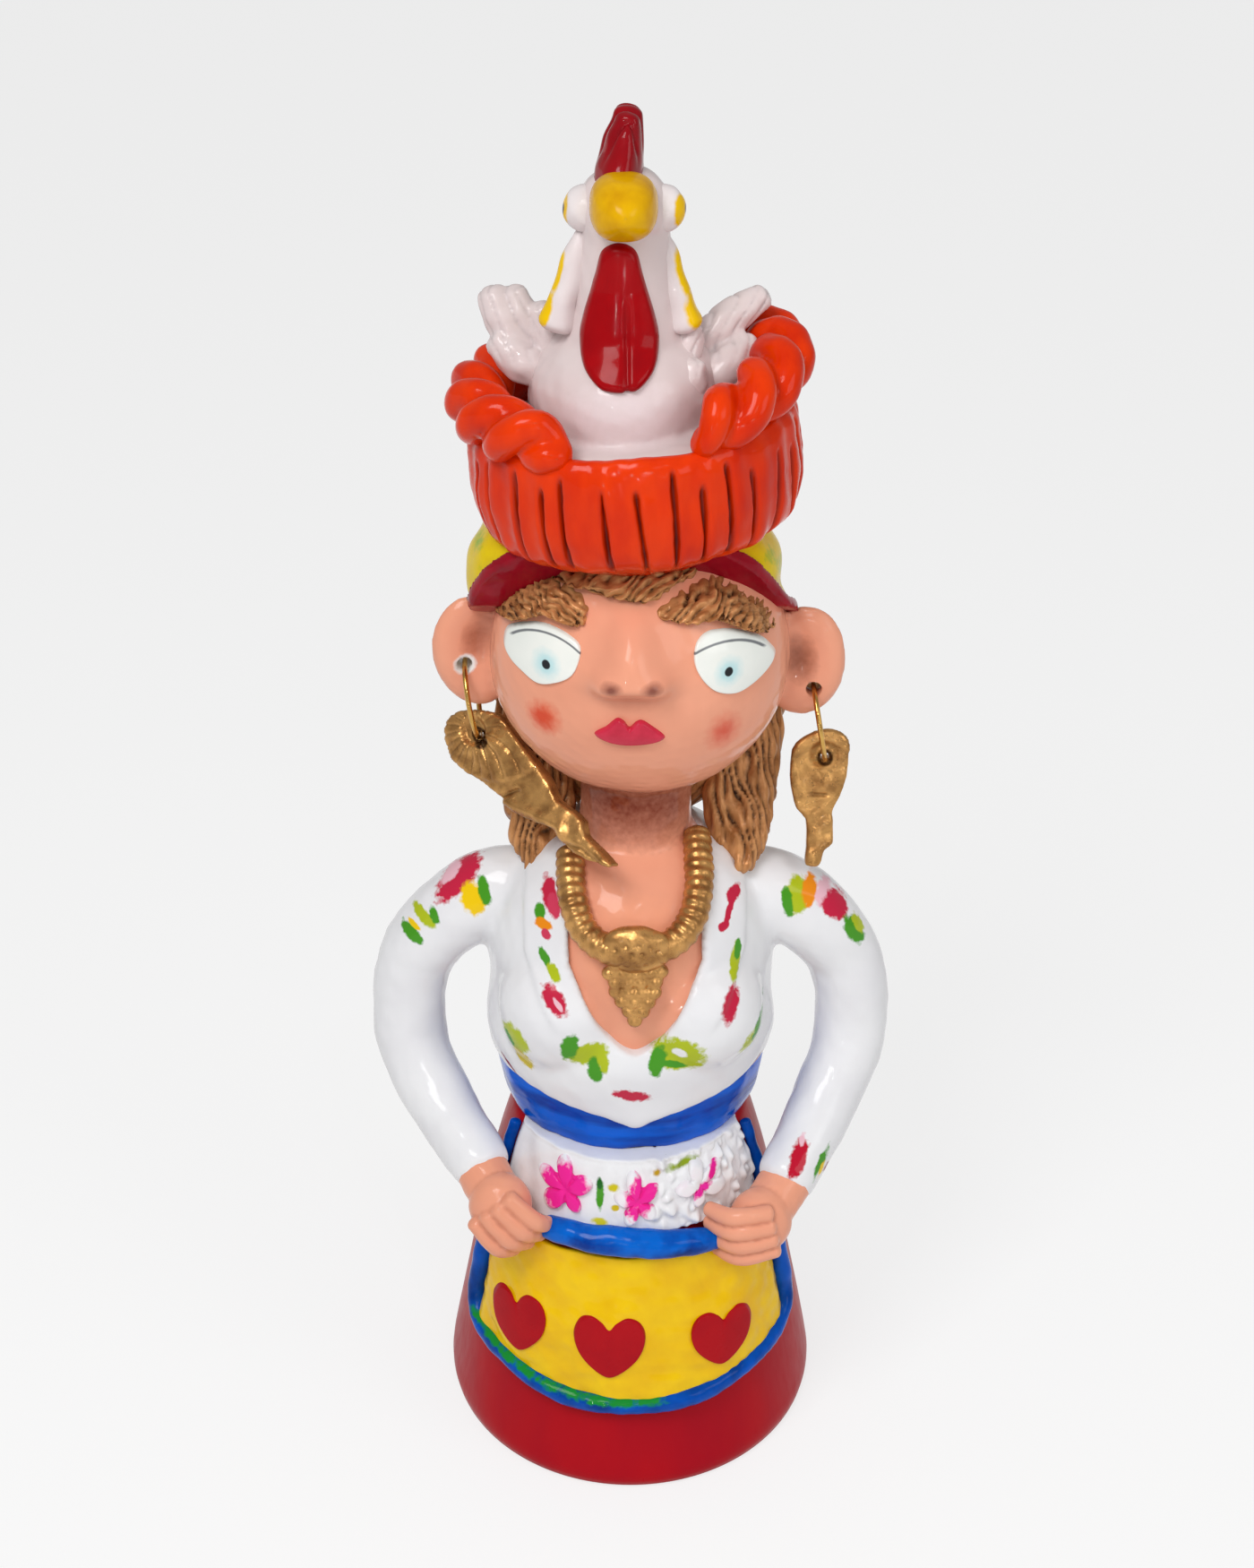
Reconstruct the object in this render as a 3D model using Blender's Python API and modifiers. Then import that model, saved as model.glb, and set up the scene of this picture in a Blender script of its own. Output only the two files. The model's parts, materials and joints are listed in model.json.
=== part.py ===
"""Painted clay figurine of a country woman who carries a hen in a basket on her head.

The pieces are the lumps, coils and slabs of clay that such a figure is put together from,
and the two wire rings that carry its earrings. X runs to the viewer's right, Y away from
the viewer and Z up. The origin is on the floor, on the axis of the skirt. Left and right
are the viewer's.
"""

import math

import bmesh
import bpy
from mathutils import Matrix, Vector

MM = 0.001

# Clearances
GAP = 0.3 * MM
OVERRUN = 2.0 * MM
CUTTER_REACH = 120.0 * MM

# Skirt, a hollow bell that is open underneath
SKIRT_HEIGHT = 62.0 * MM
SKIRT_BASE_RADIUS = 34.0 * MM
SKIRT_TOP_RADIUS = 20.5 * MM
SKIRT_WALL = 5.0 * MM
SKIRT_CROWN = 6.0 * MM
SKIRT_FOOT = 3.0 * MM
SKIRT_DEPTH_RATIO = 1.12
SKIRT_FLARE = 0.77

# Apron, laid on the front of the skirt
APRON_THICKNESS = 1.6 * MM
APRON_BOTTOM = 17.0 * MM
APRON_CORNER_RISE = 6.0 * MM
APRON_HALF_ANGLE = math.radians(66)
APRON_TOP = SKIRT_HEIGHT - 16.5 * MM
BORDER_RADIUS = 1.5 * MM
HEM_RADIUS = 2.6 * MM
HEM_HALF_ANGLE = math.radians(31)
PANEL_HALF_ANGLE = math.radians(57)
HEART_WIDTH = 12.4 * MM
HEART_RELIEF = 0.9 * MM
HEART_PLACES = {
    "left_heart": (math.radians(-40.2), 30.5 * MM),
    "middle_heart": (math.radians(-6.7), 29.0 * MM),
    "right_heart": (math.radians(31.7), 28.5 * MM),
}
FLOWER_RADIUS = 4.4 * MM
FLOWER_RELIEF = 1.2 * MM
FLOWER_PETALS = 5
FLOWER_PLACES = {
    "left_flower": (-11.6 * MM, SKIRT_HEIGHT - 5.2 * MM),
    "middle_flower": (1.2 * MM, SKIRT_HEIGHT - 5.8 * MM),
    "right_flower": (12.6 * MM, SKIRT_HEIGHT - 4.8 * MM),
}

# Torso: the blouse is a shell round the skin-coloured core that carries the neck
TORSO_HEIGHT = 54.0 * MM
TORSO_DEPTH_RATIO = 0.95
WAIST_RADIUS = 20.2 * MM
CHEST_RADIUS = 25.0 * MM
SHOULDER_RADIUS = 19.8 * MM
NECK_ROOT_RADIUS = 12.0 * MM
BLOUSE_WALL = 1.5 * MM
BUST_RADII = Vector((12.5, 11.5, 12.0)) * MM
BUST_SPREAD = 10.5 * MM
BUST_FORWARD = 14.0 * MM
BUST_RISE = 26.0 * MM
WAISTBAND_HEIGHT = 10.0 * MM
WAISTBAND_THICKNESS = 1.6 * MM
NECKLINE_WIDTH = 23.0 * MM
NECKLINE_DEPTH = 32.0 * MM
NECKLINE_CENTRE = 0.8 * MM
PLACKET_WIDTH = 5.0 * MM
PLACKET_RELIEF = 0.8 * MM
PLACKET_SETBACK = 2.2 * MM
NECK_RADIUS = 9.5 * MM
NECK_LENGTH = 9.0 * MM

# Arms and hands
SHOULDER_REACH = 26.0 * MM
SHOULDER_DROP = 13.0 * MM
ELBOW_REACH = 39.6 * MM
ELBOW_HEIGHT = SKIRT_HEIGHT + 13.0 * MM
WRIST_REACH = 26.0 * MM
WRIST_FORWARD = 19.0 * MM
WRIST_HEIGHT = SKIRT_HEIGHT - 4.5 * MM
WRIST_SAG = {-1: 0.8 * MM, 1: 4.0 * MM}
ARM_RADIUS = 6.5 * MM
SHOULDER_SWELL = 1.15
WRIST_TAPER = 0.74
PALM_RADII = Vector((6.2, 5.0, 6.6)) * MM
FINGER_RADII = Vector((6.6, 2.3, 2.0)) * MM
FINGER_PITCH = 3.1 * MM
HAND_TURN = {"left_hand": math.radians(48), "right_hand": math.radians(-14)}

# Head and what is laid on the face
HEAD_RADII = Vector((25.0, 22.0, 24.0)) * MM
HEAD_SHIFT = Vector((1.5, -1.0, 0.0)) * MM
NOSE_RADII = Vector((5.4, 5.2, 6.4)) * MM
NOSE_RISE = 3.9 * MM
EYE_RADII = (6.5 * MM, 4.8 * MM)
EYE_RELIEF = 0.7 * MM
EYE_SPREAD = 15.6 * MM
EYE_RISE = 6.3 * MM
EYE_TILT = math.radians(7)
BROW_RADII = (9.0 * MM, 2.5 * MM)
BROW_RELIEF = 1.5 * MM
BROW_SPREAD = 14.8 * MM
BROW_RISE = 14.3 * MM
BROW_TILT = math.radians(11)
LIPS_WIDTH = 11.2 * MM
LIPS_HEIGHT = 4.9 * MM
LIPS_RELIEF = 1.1 * MM
LIPS_DROP = 4.6 * MM
FRINGE_RELIEF = 1.4 * MM
FRINGE_WIDTH = 5.0 * MM
FRINGE_HALF_SPAN = 9.0 * MM

# Ears and earrings
EAR_RADII = Vector((7.2, 3.6, 10.2)) * MM
EAR_SPREAD = 27.5 * MM
EAR_BACK = 2.5 * MM
EAR_DROP = {"left": 1.5 * MM, "right": 3.5 * MM}
EAR_HOLLOW_RADIUS = 5.0 * MM
EAR_HOLLOW_DEPTH = 1.9 * MM
LOBE_HOLE_RADIUS = 1.6 * MM
LOBE_HOLE_OUT = 1.8 * MM
LOBE_HOLE_RISE = {"left": 8.6 * MM, "right": 6.2 * MM}
RING_RADIUS = 6.9 * MM
RING_WIRE_RADIUS = 0.45 * MM
RING_LEAN = {"left": math.radians(9), "right": math.radians(10)}
PENDANT_THICKNESS = 2.3 * MM
PENDANT_HOLE_RADIUS = 1.25 * MM
PENDANT_SAG = 0.25 * MM
LEFT_PENDANT_TOP = 5.5 * MM
LEFT_PENDANT_LENGTH = 41.0 * MM
LEFT_PENDANT_WIDTH = 12.2 * MM
LEFT_PENDANT_AIM = Vector((20.6, -24.0, -14.6)).normalized()
RIGHT_PENDANT_TOP = 4.5 * MM
RIGHT_PENDANT_LENGTH = 23.4 * MM
RIGHT_PENDANT_WIDTH = 10.0 * MM
RIGHT_PENDANT_AIM = Vector((0, -0.34, -0.94)).normalized()
# Edges of the drops from top to tip, as shares of their length and width: (down, left, right)
LEFT_PENDANT_ROWS = [
    (0.00, -0.20, -0.16),
    (0.03, -0.41, 0.07),
    (0.11, -0.54, 0.32),
    (0.18, -0.53, 0.43),
    (0.28, -0.45, 0.41),
    (0.38, -0.38, 0.39),
    (0.46, -0.34, 0.38),
    (0.54, -0.29, 0.35),
    (0.62, -0.14, 0.27),
    (0.69, 0.00, 0.32),
    (0.77, -0.06, 0.36),
    (0.82, -0.04, 0.25),
    (0.91, 0.07, 0.28),
    (1.00, 0.25, 0.29),
]
RIGHT_PENDANT_ROWS = [
    (0.00, 0.02, 0.12),
    (0.02, -0.19, 0.26),
    (0.07, -0.41, 0.38),
    (0.15, -0.55, 0.41),
    (0.34, -0.59, 0.38),
    (0.48, -0.54, 0.27),
    (0.58, -0.47, 0.15),
    (0.65, -0.31, 0.14),
    (0.83, -0.30, 0.16),
    (0.87, -0.30, 0.01),
    (0.96, -0.32, -0.03),
    (1.00, -0.31, -0.10),
]

# Kerchief and hair
KERCHIEF_THICKNESS = 2.0 * MM
KERCHIEF_EDGE_FRONT = 13.0 * MM
KERCHIEF_EDGE_RISE = 23.2 * MM
KERCHIEF_SLOPE = math.radians(55)
KERCHIEF_EAR_FRONT = 2.5 * MM
KERCHIEF_EAR_RISE = 8.2 * MM
KERCHIEF_NAPE_SLOPE = math.radians(30)
KERCHIEF_BORDER_WIDTH = 2.8 * MM
KERCHIEF_BORDER_LIFT = 0.7 * MM
KERCHIEF_BULGE_RADII = Vector((26.0, 22.5, 24.0)) * MM
KERCHIEF_BULGE_RISE = 10.5 * MM
KERCHIEF_TAIL_WIDTH = 30.0 * MM
KERCHIEF_TAIL_LENGTH = 34.0 * MM
BACK_HAIR_RADII = Vector((20.5, 13.0, 20.0)) * MM
BACK_HAIR_BACK = 12.0 * MM
BACK_HAIR_DROP = 17.0 * MM
LOCK_RADIUS = 4.2 * MM
LOCK_SPREAD = 19.5 * MM

# Necklace
NECKLACE_RADIUS = 1.9 * MM
NECKLACE_HALF_WIDTH = 10.9 * MM
NECKLACE_DROP = 12.4 * MM
NECKLACE_START = {"left": 0.4, "right": 0.12}
MEDALLION_RADII = Vector((6.2, 2.4, 4.3)) * MM
CLUSTER_WIDTH = 11.2 * MM
CLUSTER_LENGTH = 12.0 * MM
CLUSTER_RELIEF = 2.2 * MM

# Basket
BASKET_RADIUS = 26.6 * MM
BASKET_BASE_RADIUS = 11.0 * MM
BASKET_HEIGHT = 24.5 * MM
BASKET_WALL = 4.6 * MM
BASKET_FLOOR = 11.0 * MM
BASKET_SEAT = 6.0 * MM
BASKET_SHIFT = 2.0 * MM
BASKET_ROLL = math.radians(-4.5)
STRAND_RADIUS = 2.45 * MM
ROPE_RISE = {-1: 1.0 * MM, 1: 4.6 * MM}
ROPE_FOOT_ANGLE = math.radians(64)
ROPE_TURNS = 3.25

# Hen
HEN_BODY_RADII = Vector((15.2, 17.0, 12.5)) * MM
HEN_BODY_RISE = 3.0 * MM
HEN_SEAT_DROP = 1.5 * MM
HEN_NECK_ROOT_RADIUS = 10.5 * MM
HEN_NECK_TOP_RADIUS = 6.8 * MM
HEN_NECK_HEIGHT = 29.0 * MM
HEN_FORWARD = 2.5 * MM
HEN_HEAD_RADII = Vector((7.3, 7.8, 7.0)) * MM
HEN_EYE_RADIUS = 3.7 * MM
HEN_BEAK_RADII = Vector((5.2, 6.0, 4.8)) * MM
COMB_LENGTH = 15.0 * MM
COMB_HEIGHT = 12.6 * MM
COMB_THICKNESS = 7.0 * MM
COMB_TAPER = 0.45
BIB_WIDTH = 12.4 * MM
BIB_LENGTH = 22.4 * MM
BIB_RELIEF = 1.7 * MM
LOBE_RADII = Vector((2.5, 3.4, 8.0)) * MM
WING_RADII = Vector((3.4, 7.5, 10.0)) * MM
WING_LEAN = math.radians(32)
TAIL_RADII = Vector((3.2, 5.0, 11.0)) * MM

# Heights that follow from the sizes above
HEM_HEIGHT = APRON_TOP + GAP + HEM_RADIUS
TORSO_BASE = SKIRT_HEIGHT + GAP
TORSO_TOP = TORSO_BASE + TORSO_HEIGHT
HEAD_CENTRE = Vector((HEAD_SHIFT.x, HEAD_SHIFT.y, TORSO_TOP + NECK_LENGTH + HEAD_RADII.z))
HEAD_TOP = HEAD_CENTRE.z + HEAD_RADII.z
BASKET_BASE = Vector((BASKET_SHIFT, 0, HEAD_TOP - BASKET_SEAT))
BASKET_RIM = BASKET_BASE.z + BASKET_HEIGHT
HEN_BODY_CENTRE = Vector((BASKET_BASE.x - 3.0 * MM, 0.5 * MM, BASKET_RIM + HEN_BODY_RISE))
HEN_NECK_AXIS = Vector((HEN_BODY_CENTRE.x, HEN_BODY_CENTRE.y - HEN_FORWARD, HEN_BODY_CENTRE.z))
HEN_HEAD_CENTRE = HEN_NECK_AXIS + Vector((0, 0, HEN_NECK_HEIGHT))

# Paint, as red, green and blue on a screen, with roughness and metal
PAINTS = {
    "skirt_red": ((0.66, 0.03, 0.07), 0.45, 0.0),
    "apron_yellow": ((0.95, 0.79, 0.02), 0.25, 0.0),
    "trim_blue": ((0.02, 0.34, 0.75), 0.25, 0.0),
    "heart_red": ((0.70, 0.06, 0.09), 0.35, 0.0),
    "petal_pink": ((0.95, 0.22, 0.60), 0.3, 0.0),
    "cloth_white": ((0.93, 0.93, 0.94), 0.25, 0.0),
    "skin": ((0.89, 0.60, 0.48), 0.25, 0.0),
    "eye_white": ((0.90, 0.93, 0.92), 0.15, 0.0),
    "lip_red": ((0.78, 0.16, 0.30), 0.2, 0.0),
    "hair_brown": ((0.48, 0.32, 0.19), 0.4, 0.0),
    "kerchief_yellow": ((0.93, 0.83, 0.10), 0.35, 0.0),
    "kerchief_red": ((0.68, 0.09, 0.16), 0.3, 0.0),
    "basket_orange": ((0.93, 0.28, 0.03), 0.25, 0.0),
    "hen_white": ((0.92, 0.91, 0.92), 0.25, 0.0),
    "beak_yellow": ((0.93, 0.77, 0.03), 0.25, 0.0),
    "comb_red": ((0.70, 0.03, 0.08), 0.25, 0.0),
    "gold_paint": ((0.70, 0.53, 0.20), 0.35, 0.7),
    "brass_wire": ((0.80, 0.63, 0.30), 0.25, 1.0),
}


def clear_scene():
    """Removes every object that the file opened with."""
    for obj in list(bpy.data.objects):
        bpy.data.objects.remove(obj)


def collection(name):
    """A new collection in the scene."""
    made = bpy.data.collections.new(name)
    bpy.context.scene.collection.children.link(made)
    return made


def linear(channel):
    """A screen colour channel as light."""
    return channel / 12.92 if channel <= 0.04045 else ((channel + 0.055) / 1.055) ** 2.4


def paint(obj, name):
    """Gives the object its own coat of one of the paints."""
    colour, roughness, metal = PAINTS[name]
    coat = bpy.data.materials.new(f"{obj.name}_{name}")
    coat.use_nodes = True
    shader = coat.node_tree.nodes["Principled BSDF"]
    shader.inputs["Base Color"].default_value = (*map(linear, colour), 1.0)
    shader.inputs["Roughness"].default_value = roughness
    shader.inputs["Metallic"].default_value = metal
    obj.data.materials.clear()
    obj.data.materials.append(coat)


def place(obj, parent=None):
    """Puts an object among the cutters, out of the render, until it is kept as a piece."""
    CUTTERS.objects.link(obj)
    obj.parent = parent
    obj.hide_render = True
    obj.display_type = "WIRE"
    return obj


def keep(obj, coat):
    """Moves an object from the cutters to the pieces and paints it."""
    CUTTERS.objects.unlink(obj)
    PIECES.objects.link(obj)
    obj.hide_render = False
    obj.display_type = "TEXTURED"
    paint(obj, coat)
    if obj.type == "MESH":
        obj.data.shade_smooth()
        obj.data.set_sharp_from_angle(angle=math.radians(40))
    return obj


def combine(obj, other, operation):
    """Joins to, cuts from or limits an object by another."""
    step = obj.modifiers.new(f"{operation.lower()} {other.name}", "BOOLEAN")
    step.operation = operation
    step.object = other
    return obj


def cut(obj, *others):
    """Cuts the others out of an object."""
    for other in others:
        combine(obj, other, "DIFFERENCE")
    return obj


def as_mesh(obj):
    """A mesh in place of a curve, with its caps welded on."""
    bpy.context.view_layer.update()
    name = obj.name
    mesh = bpy.data.meshes.new_from_object(obj.evaluated_get(bpy.context.evaluated_depsgraph_get()))
    shape = bmesh.new()
    shape.from_mesh(mesh)
    bmesh.ops.remove_doubles(shape, verts=shape.verts, dist=0.001 * MM)
    bmesh.ops.recalc_face_normals(shape, faces=shape.faces)
    shape.to_mesh(mesh)
    shape.free()
    parent, world = obj.parent, obj.matrix_world.copy()
    bpy.data.objects.remove(obj)
    made = place(bpy.data.objects.new(name, mesh), parent)
    made.matrix_world = world
    return made


def ellipsoid(name, centre, radii, grow=0.0, turn=(0, 0, 0), segments=14, rings=9):
    """A ball with three radii, each made larger by grow, turned about its centre."""
    shape = bmesh.new()
    bmesh.ops.create_uvsphere(shape, u_segments=segments, v_segments=rings, radius=1.0)
    mesh = bpy.data.meshes.new(name)
    shape.to_mesh(mesh)
    shape.free()
    mesh.transform(Matrix.Diagonal((*(r + grow for r in radii), 1)))
    obj = place(bpy.data.objects.new(name, mesh))
    obj.location = centre
    obj.rotation_euler = turn
    return obj


def cylinder(name, centre, radius, length, axis, segments=14):
    """A capped cylinder of that length with its middle at centre."""
    shape = bmesh.new()
    bmesh.ops.create_cone(
        shape, cap_ends=True, segments=segments, radius1=radius, radius2=radius, depth=length
    )
    mesh = bpy.data.meshes.new(name)
    shape.to_mesh(mesh)
    shape.free()
    obj = place(bpy.data.objects.new(name, mesh))
    obj.location = centre
    obj.rotation_mode = "QUATERNION"
    obj.rotation_quaternion = Vector(axis).to_track_quat("Z", "Y")
    return obj


def half_space(name, point, normal, size=300 * MM):
    """A block with one face through point that fills the side that normal points to."""
    shape = bmesh.new()
    bmesh.ops.create_cube(shape, size=size)
    bmesh.ops.translate(shape, verts=shape.verts, vec=(0, 0, size / 2))
    mesh = bpy.data.meshes.new(name)
    shape.to_mesh(mesh)
    shape.free()
    obj = place(bpy.data.objects.new(name, mesh))
    obj.location = point
    obj.rotation_mode = "QUATERNION"
    obj.rotation_quaternion = Vector(normal).to_track_quat("Z", "Y")
    return obj


def turned(name, profile, depth_ratio=1.0, closed=False, steps=24):
    """A profile of (radius, height) turned about Z, narrower or deeper along Y by the ratio."""
    count = len(profile)
    edges = [(i, i + 1) for i in range(count - 1)] + ([(count - 1, 0)] if closed else [])
    mesh = bpy.data.meshes.new(name)
    mesh.from_pydata([(radius, 0, height) for radius, height in profile], edges, [])
    obj = place(bpy.data.objects.new(name, mesh))
    obj.scale = (1, depth_ratio, 1)
    screw = obj.modifiers.new("turn", "SCREW")
    screw.steps = screw.render_steps = steps
    screw.use_merge_vertices = True
    screw.merge_threshold = 0.01 * MM
    return obj


def smooth_path(points, per_span):
    """Points along a smooth curve through the given ones, of any number of coordinates."""
    path = []
    last = len(points) - 1
    for i in range(last):
        before, start = points[max(i - 1, 0)], points[i]
        end, after = points[i + 1], points[min(i + 2, last)]
        for step in range(per_span):
            t = step / per_span
            path.append(
                tuple(
                    0.5
                    * (
                        2 * b
                        + (c - a) * t
                        + (2 * a - 5 * b + 4 * c - d) * t**2
                        + (3 * b - a - 3 * c + d) * t**3
                    )
                    for a, b, c, d in zip(before, start, end, after)
                )
            )
    path.append(tuple(points[-1]))
    return path


def tube(name, stations, resolution=2, parent=None):
    """A closed tube through (x, y, z, radius) stations, as a mesh."""
    curve = bpy.data.curves.new(name, "CURVE")
    curve.dimensions = "3D"
    curve.bevel_depth = MM
    curve.bevel_resolution = resolution
    curve.use_fill_caps = True
    spline = curve.splines.new("POLY")
    spline.points.add(len(stations) - 1)
    for point, (x, y, z, radius) in zip(spline.points, stations):
        point.co = (x, y, z, 1)
        point.radius = radius / MM
    return as_mesh(place(bpy.data.objects.new(name, curve), parent))


def plate(name, outline, near, far):
    """A flat outline of (x, z) points that stands upright and runs from Y near to Y far."""
    curve = bpy.data.curves.new(name, "CURVE")
    curve.dimensions = "2D"
    curve.fill_mode = "BOTH"
    curve.extrude = (far - near) / 2
    spline = curve.splines.new("POLY")
    spline.points.add(len(outline) - 1)
    spline.use_cyclic_u = True
    for point, (x, z) in zip(spline.points, outline):
        point.co = (x, z, 0, 1)
    obj = place(bpy.data.objects.new(name, curve))
    obj.location = (0, (near + far) / 2, 0)
    obj.rotation_euler = (math.pi / 2, 0, 0)
    return as_mesh(obj)


def oval(centre, radii, tilt=0.0, count=20):
    """An ellipse of (x, z) points, turned by tilt."""
    turns = [2 * math.pi * i / count for i in range(count)]
    across = [(radii[0] * math.cos(t), radii[1] * math.sin(t)) for t in turns]
    return [
        (
            centre[0] + x * math.cos(tilt) - z * math.sin(tilt),
            centre[1] + x * math.sin(tilt) + z * math.cos(tilt),
        )
        for x, z in across
    ]


def relief(name, outline, form, lift, thickness, span=(-CUTTER_REACH, 0)):
    """A slab with that outline that lies on a form, lift away from it, within a span of Y.

    form is a function of a name and of how much larger than the real surface the form is.
    """
    slab = plate(name, outline, *span)
    combine(slab, form(f"{name}_outside", lift + thickness), "INTERSECT")
    return cut(slab, form(f"{name}_seat", lift))


def skirt_radius(height):
    """The skirt's half width at a height."""
    share = min(max((SKIRT_HEIGHT - height) / (SKIRT_HEIGHT - SKIRT_FOOT), 0.0), 1.0)
    return SKIRT_TOP_RADIUS + (SKIRT_BASE_RADIUS - SKIRT_TOP_RADIUS) * share**SKIRT_FLARE


def skirt_point(angle, height, lift):
    """A point lift away from the skirt, at an angle from the front."""
    radius = skirt_radius(height)
    return Vector(
        (
            (radius + lift) * math.sin(angle),
            -(radius * SKIRT_DEPTH_RATIO + lift) * math.cos(angle),
            height,
        )
    )


def skirt_heights(count=7):
    """Heights up the skirt's outer side, from the foot to the waist, closer near the waist."""
    shares = [1 - (1 - i / count) ** 1.6 for i in range(count + 1)]
    return [SKIRT_FOOT + (SKIRT_HEIGHT - SKIRT_FOOT) * share for share in shares]


def skirt_form(name, grow):
    """The skirt's outer shape as a closed solid, grown outwards."""
    outer = [(skirt_radius(z) + grow, z) for z in reversed(skirt_heights())]
    profile = [(0, SKIRT_HEIGHT + grow), *outer, (SKIRT_BASE_RADIUS + grow, 0), (0, 0)]
    # Growth is the same in front as at the sides, so the depth ratio is that of the grown oval.
    deep = (SKIRT_BASE_RADIUS * SKIRT_DEPTH_RATIO + grow) / (SKIRT_BASE_RADIUS + grow)
    return turned(name, profile, deep, steps=32)


def torso_radius(height):
    """The blouse's half width at a height above the torso's base."""
    stations = [
        (0.0, WAIST_RADIUS),
        (0.18, WAIST_RADIUS + 0.45 * (CHEST_RADIUS - WAIST_RADIUS)),
        (0.40, CHEST_RADIUS - 0.3 * MM),
        (0.62, CHEST_RADIUS),
        (0.78, CHEST_RADIUS - 0.35 * (CHEST_RADIUS - SHOULDER_RADIUS)),
        (0.88, SHOULDER_RADIUS),
        (0.95, (SHOULDER_RADIUS + NECK_ROOT_RADIUS) / 2),
        (1.0, NECK_ROOT_RADIUS),
    ]
    share = min(max(height / TORSO_HEIGHT, 0.0), 1.0)
    for (low, low_radius), (high, high_radius) in zip(stations, stations[1:]):
        if share <= high:
            return low_radius + (high_radius - low_radius) * (share - low) / (high - low)
    return NECK_ROOT_RADIUS


TORSO_SHARES = (0.0, 0.18, 0.40, 0.62, 0.78, 0.88, 0.95, 1.0)


def bust(name, side, grow):
    """One side of the bust."""
    centre = (side * BUST_SPREAD, -BUST_FORWARD, TORSO_BASE + BUST_RISE)
    return ellipsoid(name, centre, BUST_RADII, grow)


def torso_form(name, grow):
    """The blouse's outer shape as a closed solid, grown outwards."""
    outer = [
        (torso_radius(share * TORSO_HEIGHT) + grow, TORSO_BASE + share * TORSO_HEIGHT)
        for share in reversed(TORSO_SHARES)
    ]
    profile = [(0, TORSO_TOP + grow), (outer[0][0], TORSO_TOP + grow), *outer[1:], (0, TORSO_BASE)]
    form = turned(name, profile, TORSO_DEPTH_RATIO)
    for side, word in ((-1, "left"), (1, "right")):
        combine(form, bust(f"{name}_{word}_bust", side, grow), "UNION")
    return form


def core_form(name, grow, overrun=0.0):
    """The torso inside the blouse with the neck on it, grown outwards.

    overrun carries the foot and the neck further, for a cutter.
    """
    inset = grow - BLOUSE_WALL - GAP
    sides = [
        (torso_radius(share * TORSO_HEIGHT) + inset, TORSO_BASE + share * TORSO_HEIGHT)
        for share in reversed(TORSO_SHARES)
        if torso_radius(share * TORSO_HEIGHT) + inset > NECK_RADIUS + grow + 1.5 * MM
    ]
    neck_top = HEAD_CENTRE.z - 0.6 * HEAD_RADII.z + overrun
    neck = [(0, neck_top), (NECK_RADIUS + grow, neck_top)]
    neck.append((NECK_RADIUS + grow, sides[0][1] + 3.0 * MM))
    foot = TORSO_BASE - overrun
    profile = [*neck, *sides[:-1], (sides[-1][0], foot), (0, foot)]
    form = turned(name, profile, TORSO_DEPTH_RATIO)
    for side, word in ((-1, "left"), (1, "right")):
        combine(form, bust(f"{name}_{word}_bust", side, inset), "UNION")
    return form


def torso_front(x, height, lift):
    """Y of the front of the blouse at (x, height), lift away from it."""
    radius = torso_radius(height - TORSO_BASE) + lift
    fronts = [-TORSO_DEPTH_RATIO * math.sqrt(max(radius**2 - x**2, 0.0))]
    for side in (-1, 1):
        across = (x - side * BUST_SPREAD) / (BUST_RADII.x + lift)
        above = (height - TORSO_BASE - BUST_RISE) / (BUST_RADII.z + lift)
        left_over = 1 - across**2 - above**2
        if left_over > 0:
            fronts.append(-BUST_FORWARD - (BUST_RADII.y + lift) * math.sqrt(left_over))
    return min(fronts)


def head_form(name, grow):
    """The head's shape, grown outwards."""
    return ellipsoid(name, HEAD_CENTRE, HEAD_RADII, grow, segments=24, rings=14)


def on_face(x, rise):
    """(x, z) on the face from the head's centre."""
    return HEAD_CENTRE.x + x, HEAD_CENTRE.z + rise


def make_skirt():
    """The bell of the skirt, open underneath, and its oval foot."""
    outer = [(skirt_radius(z), z) for z in reversed(skirt_heights())]
    top = SKIRT_HEIGHT - SKIRT_CROWN
    inner = [(skirt_radius(share * top) - SKIRT_WALL, share * top) for share in (0, 0.25, 0.5, 0.75, 1)]
    profile = [(0, SKIRT_HEIGHT), *outer, (SKIRT_BASE_RADIUS, 0), *inner, (0, top)]
    keep(turned("skirt", profile, SKIRT_DEPTH_RATIO, steps=32), "skirt_red")


def apron_bottom(angle):
    """Height of the apron's lower edge at an angle from the front."""
    return APRON_BOTTOM + APRON_CORNER_RISE * (angle / APRON_HALF_ANGLE) ** 2


def apron_sheet(name, half_angle, bottom, top, columns, rows):
    """A sheet laid on the skirt between two heights, the lower one a function of the angle."""
    shape = bmesh.new()
    bmesh.ops.create_grid(shape, x_segments=columns, y_segments=rows, size=0.5)
    for vert in shape.verts:
        angle = 2 * vert.co.x * half_angle
        low = bottom(angle)
        vert.co = skirt_point(angle, low + (top - low) * (vert.co.y + 0.5), GAP)
    mesh = bpy.data.meshes.new(name)
    shape.to_mesh(mesh)
    shape.free()
    obj = place(bpy.data.objects.new(name, mesh))
    wall = obj.modifiers.new("slab", "SOLIDIFY")
    wall.thickness = APRON_THICKNESS
    wall.offset = 1
    return obj


def hem_form(name, grow):
    """The roll of the apron's hem that the hands hold, grown outwards."""
    stations = []
    for i in range(13):
        angle = HEM_HALF_ANGLE * (i / 6 - 1)
        middle = skirt_point(angle, HEM_HEIGHT, HEM_RADIUS + 2 * GAP)
        stations.append((*middle, HEM_RADIUS + grow))
    return tube(name, stations)


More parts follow.
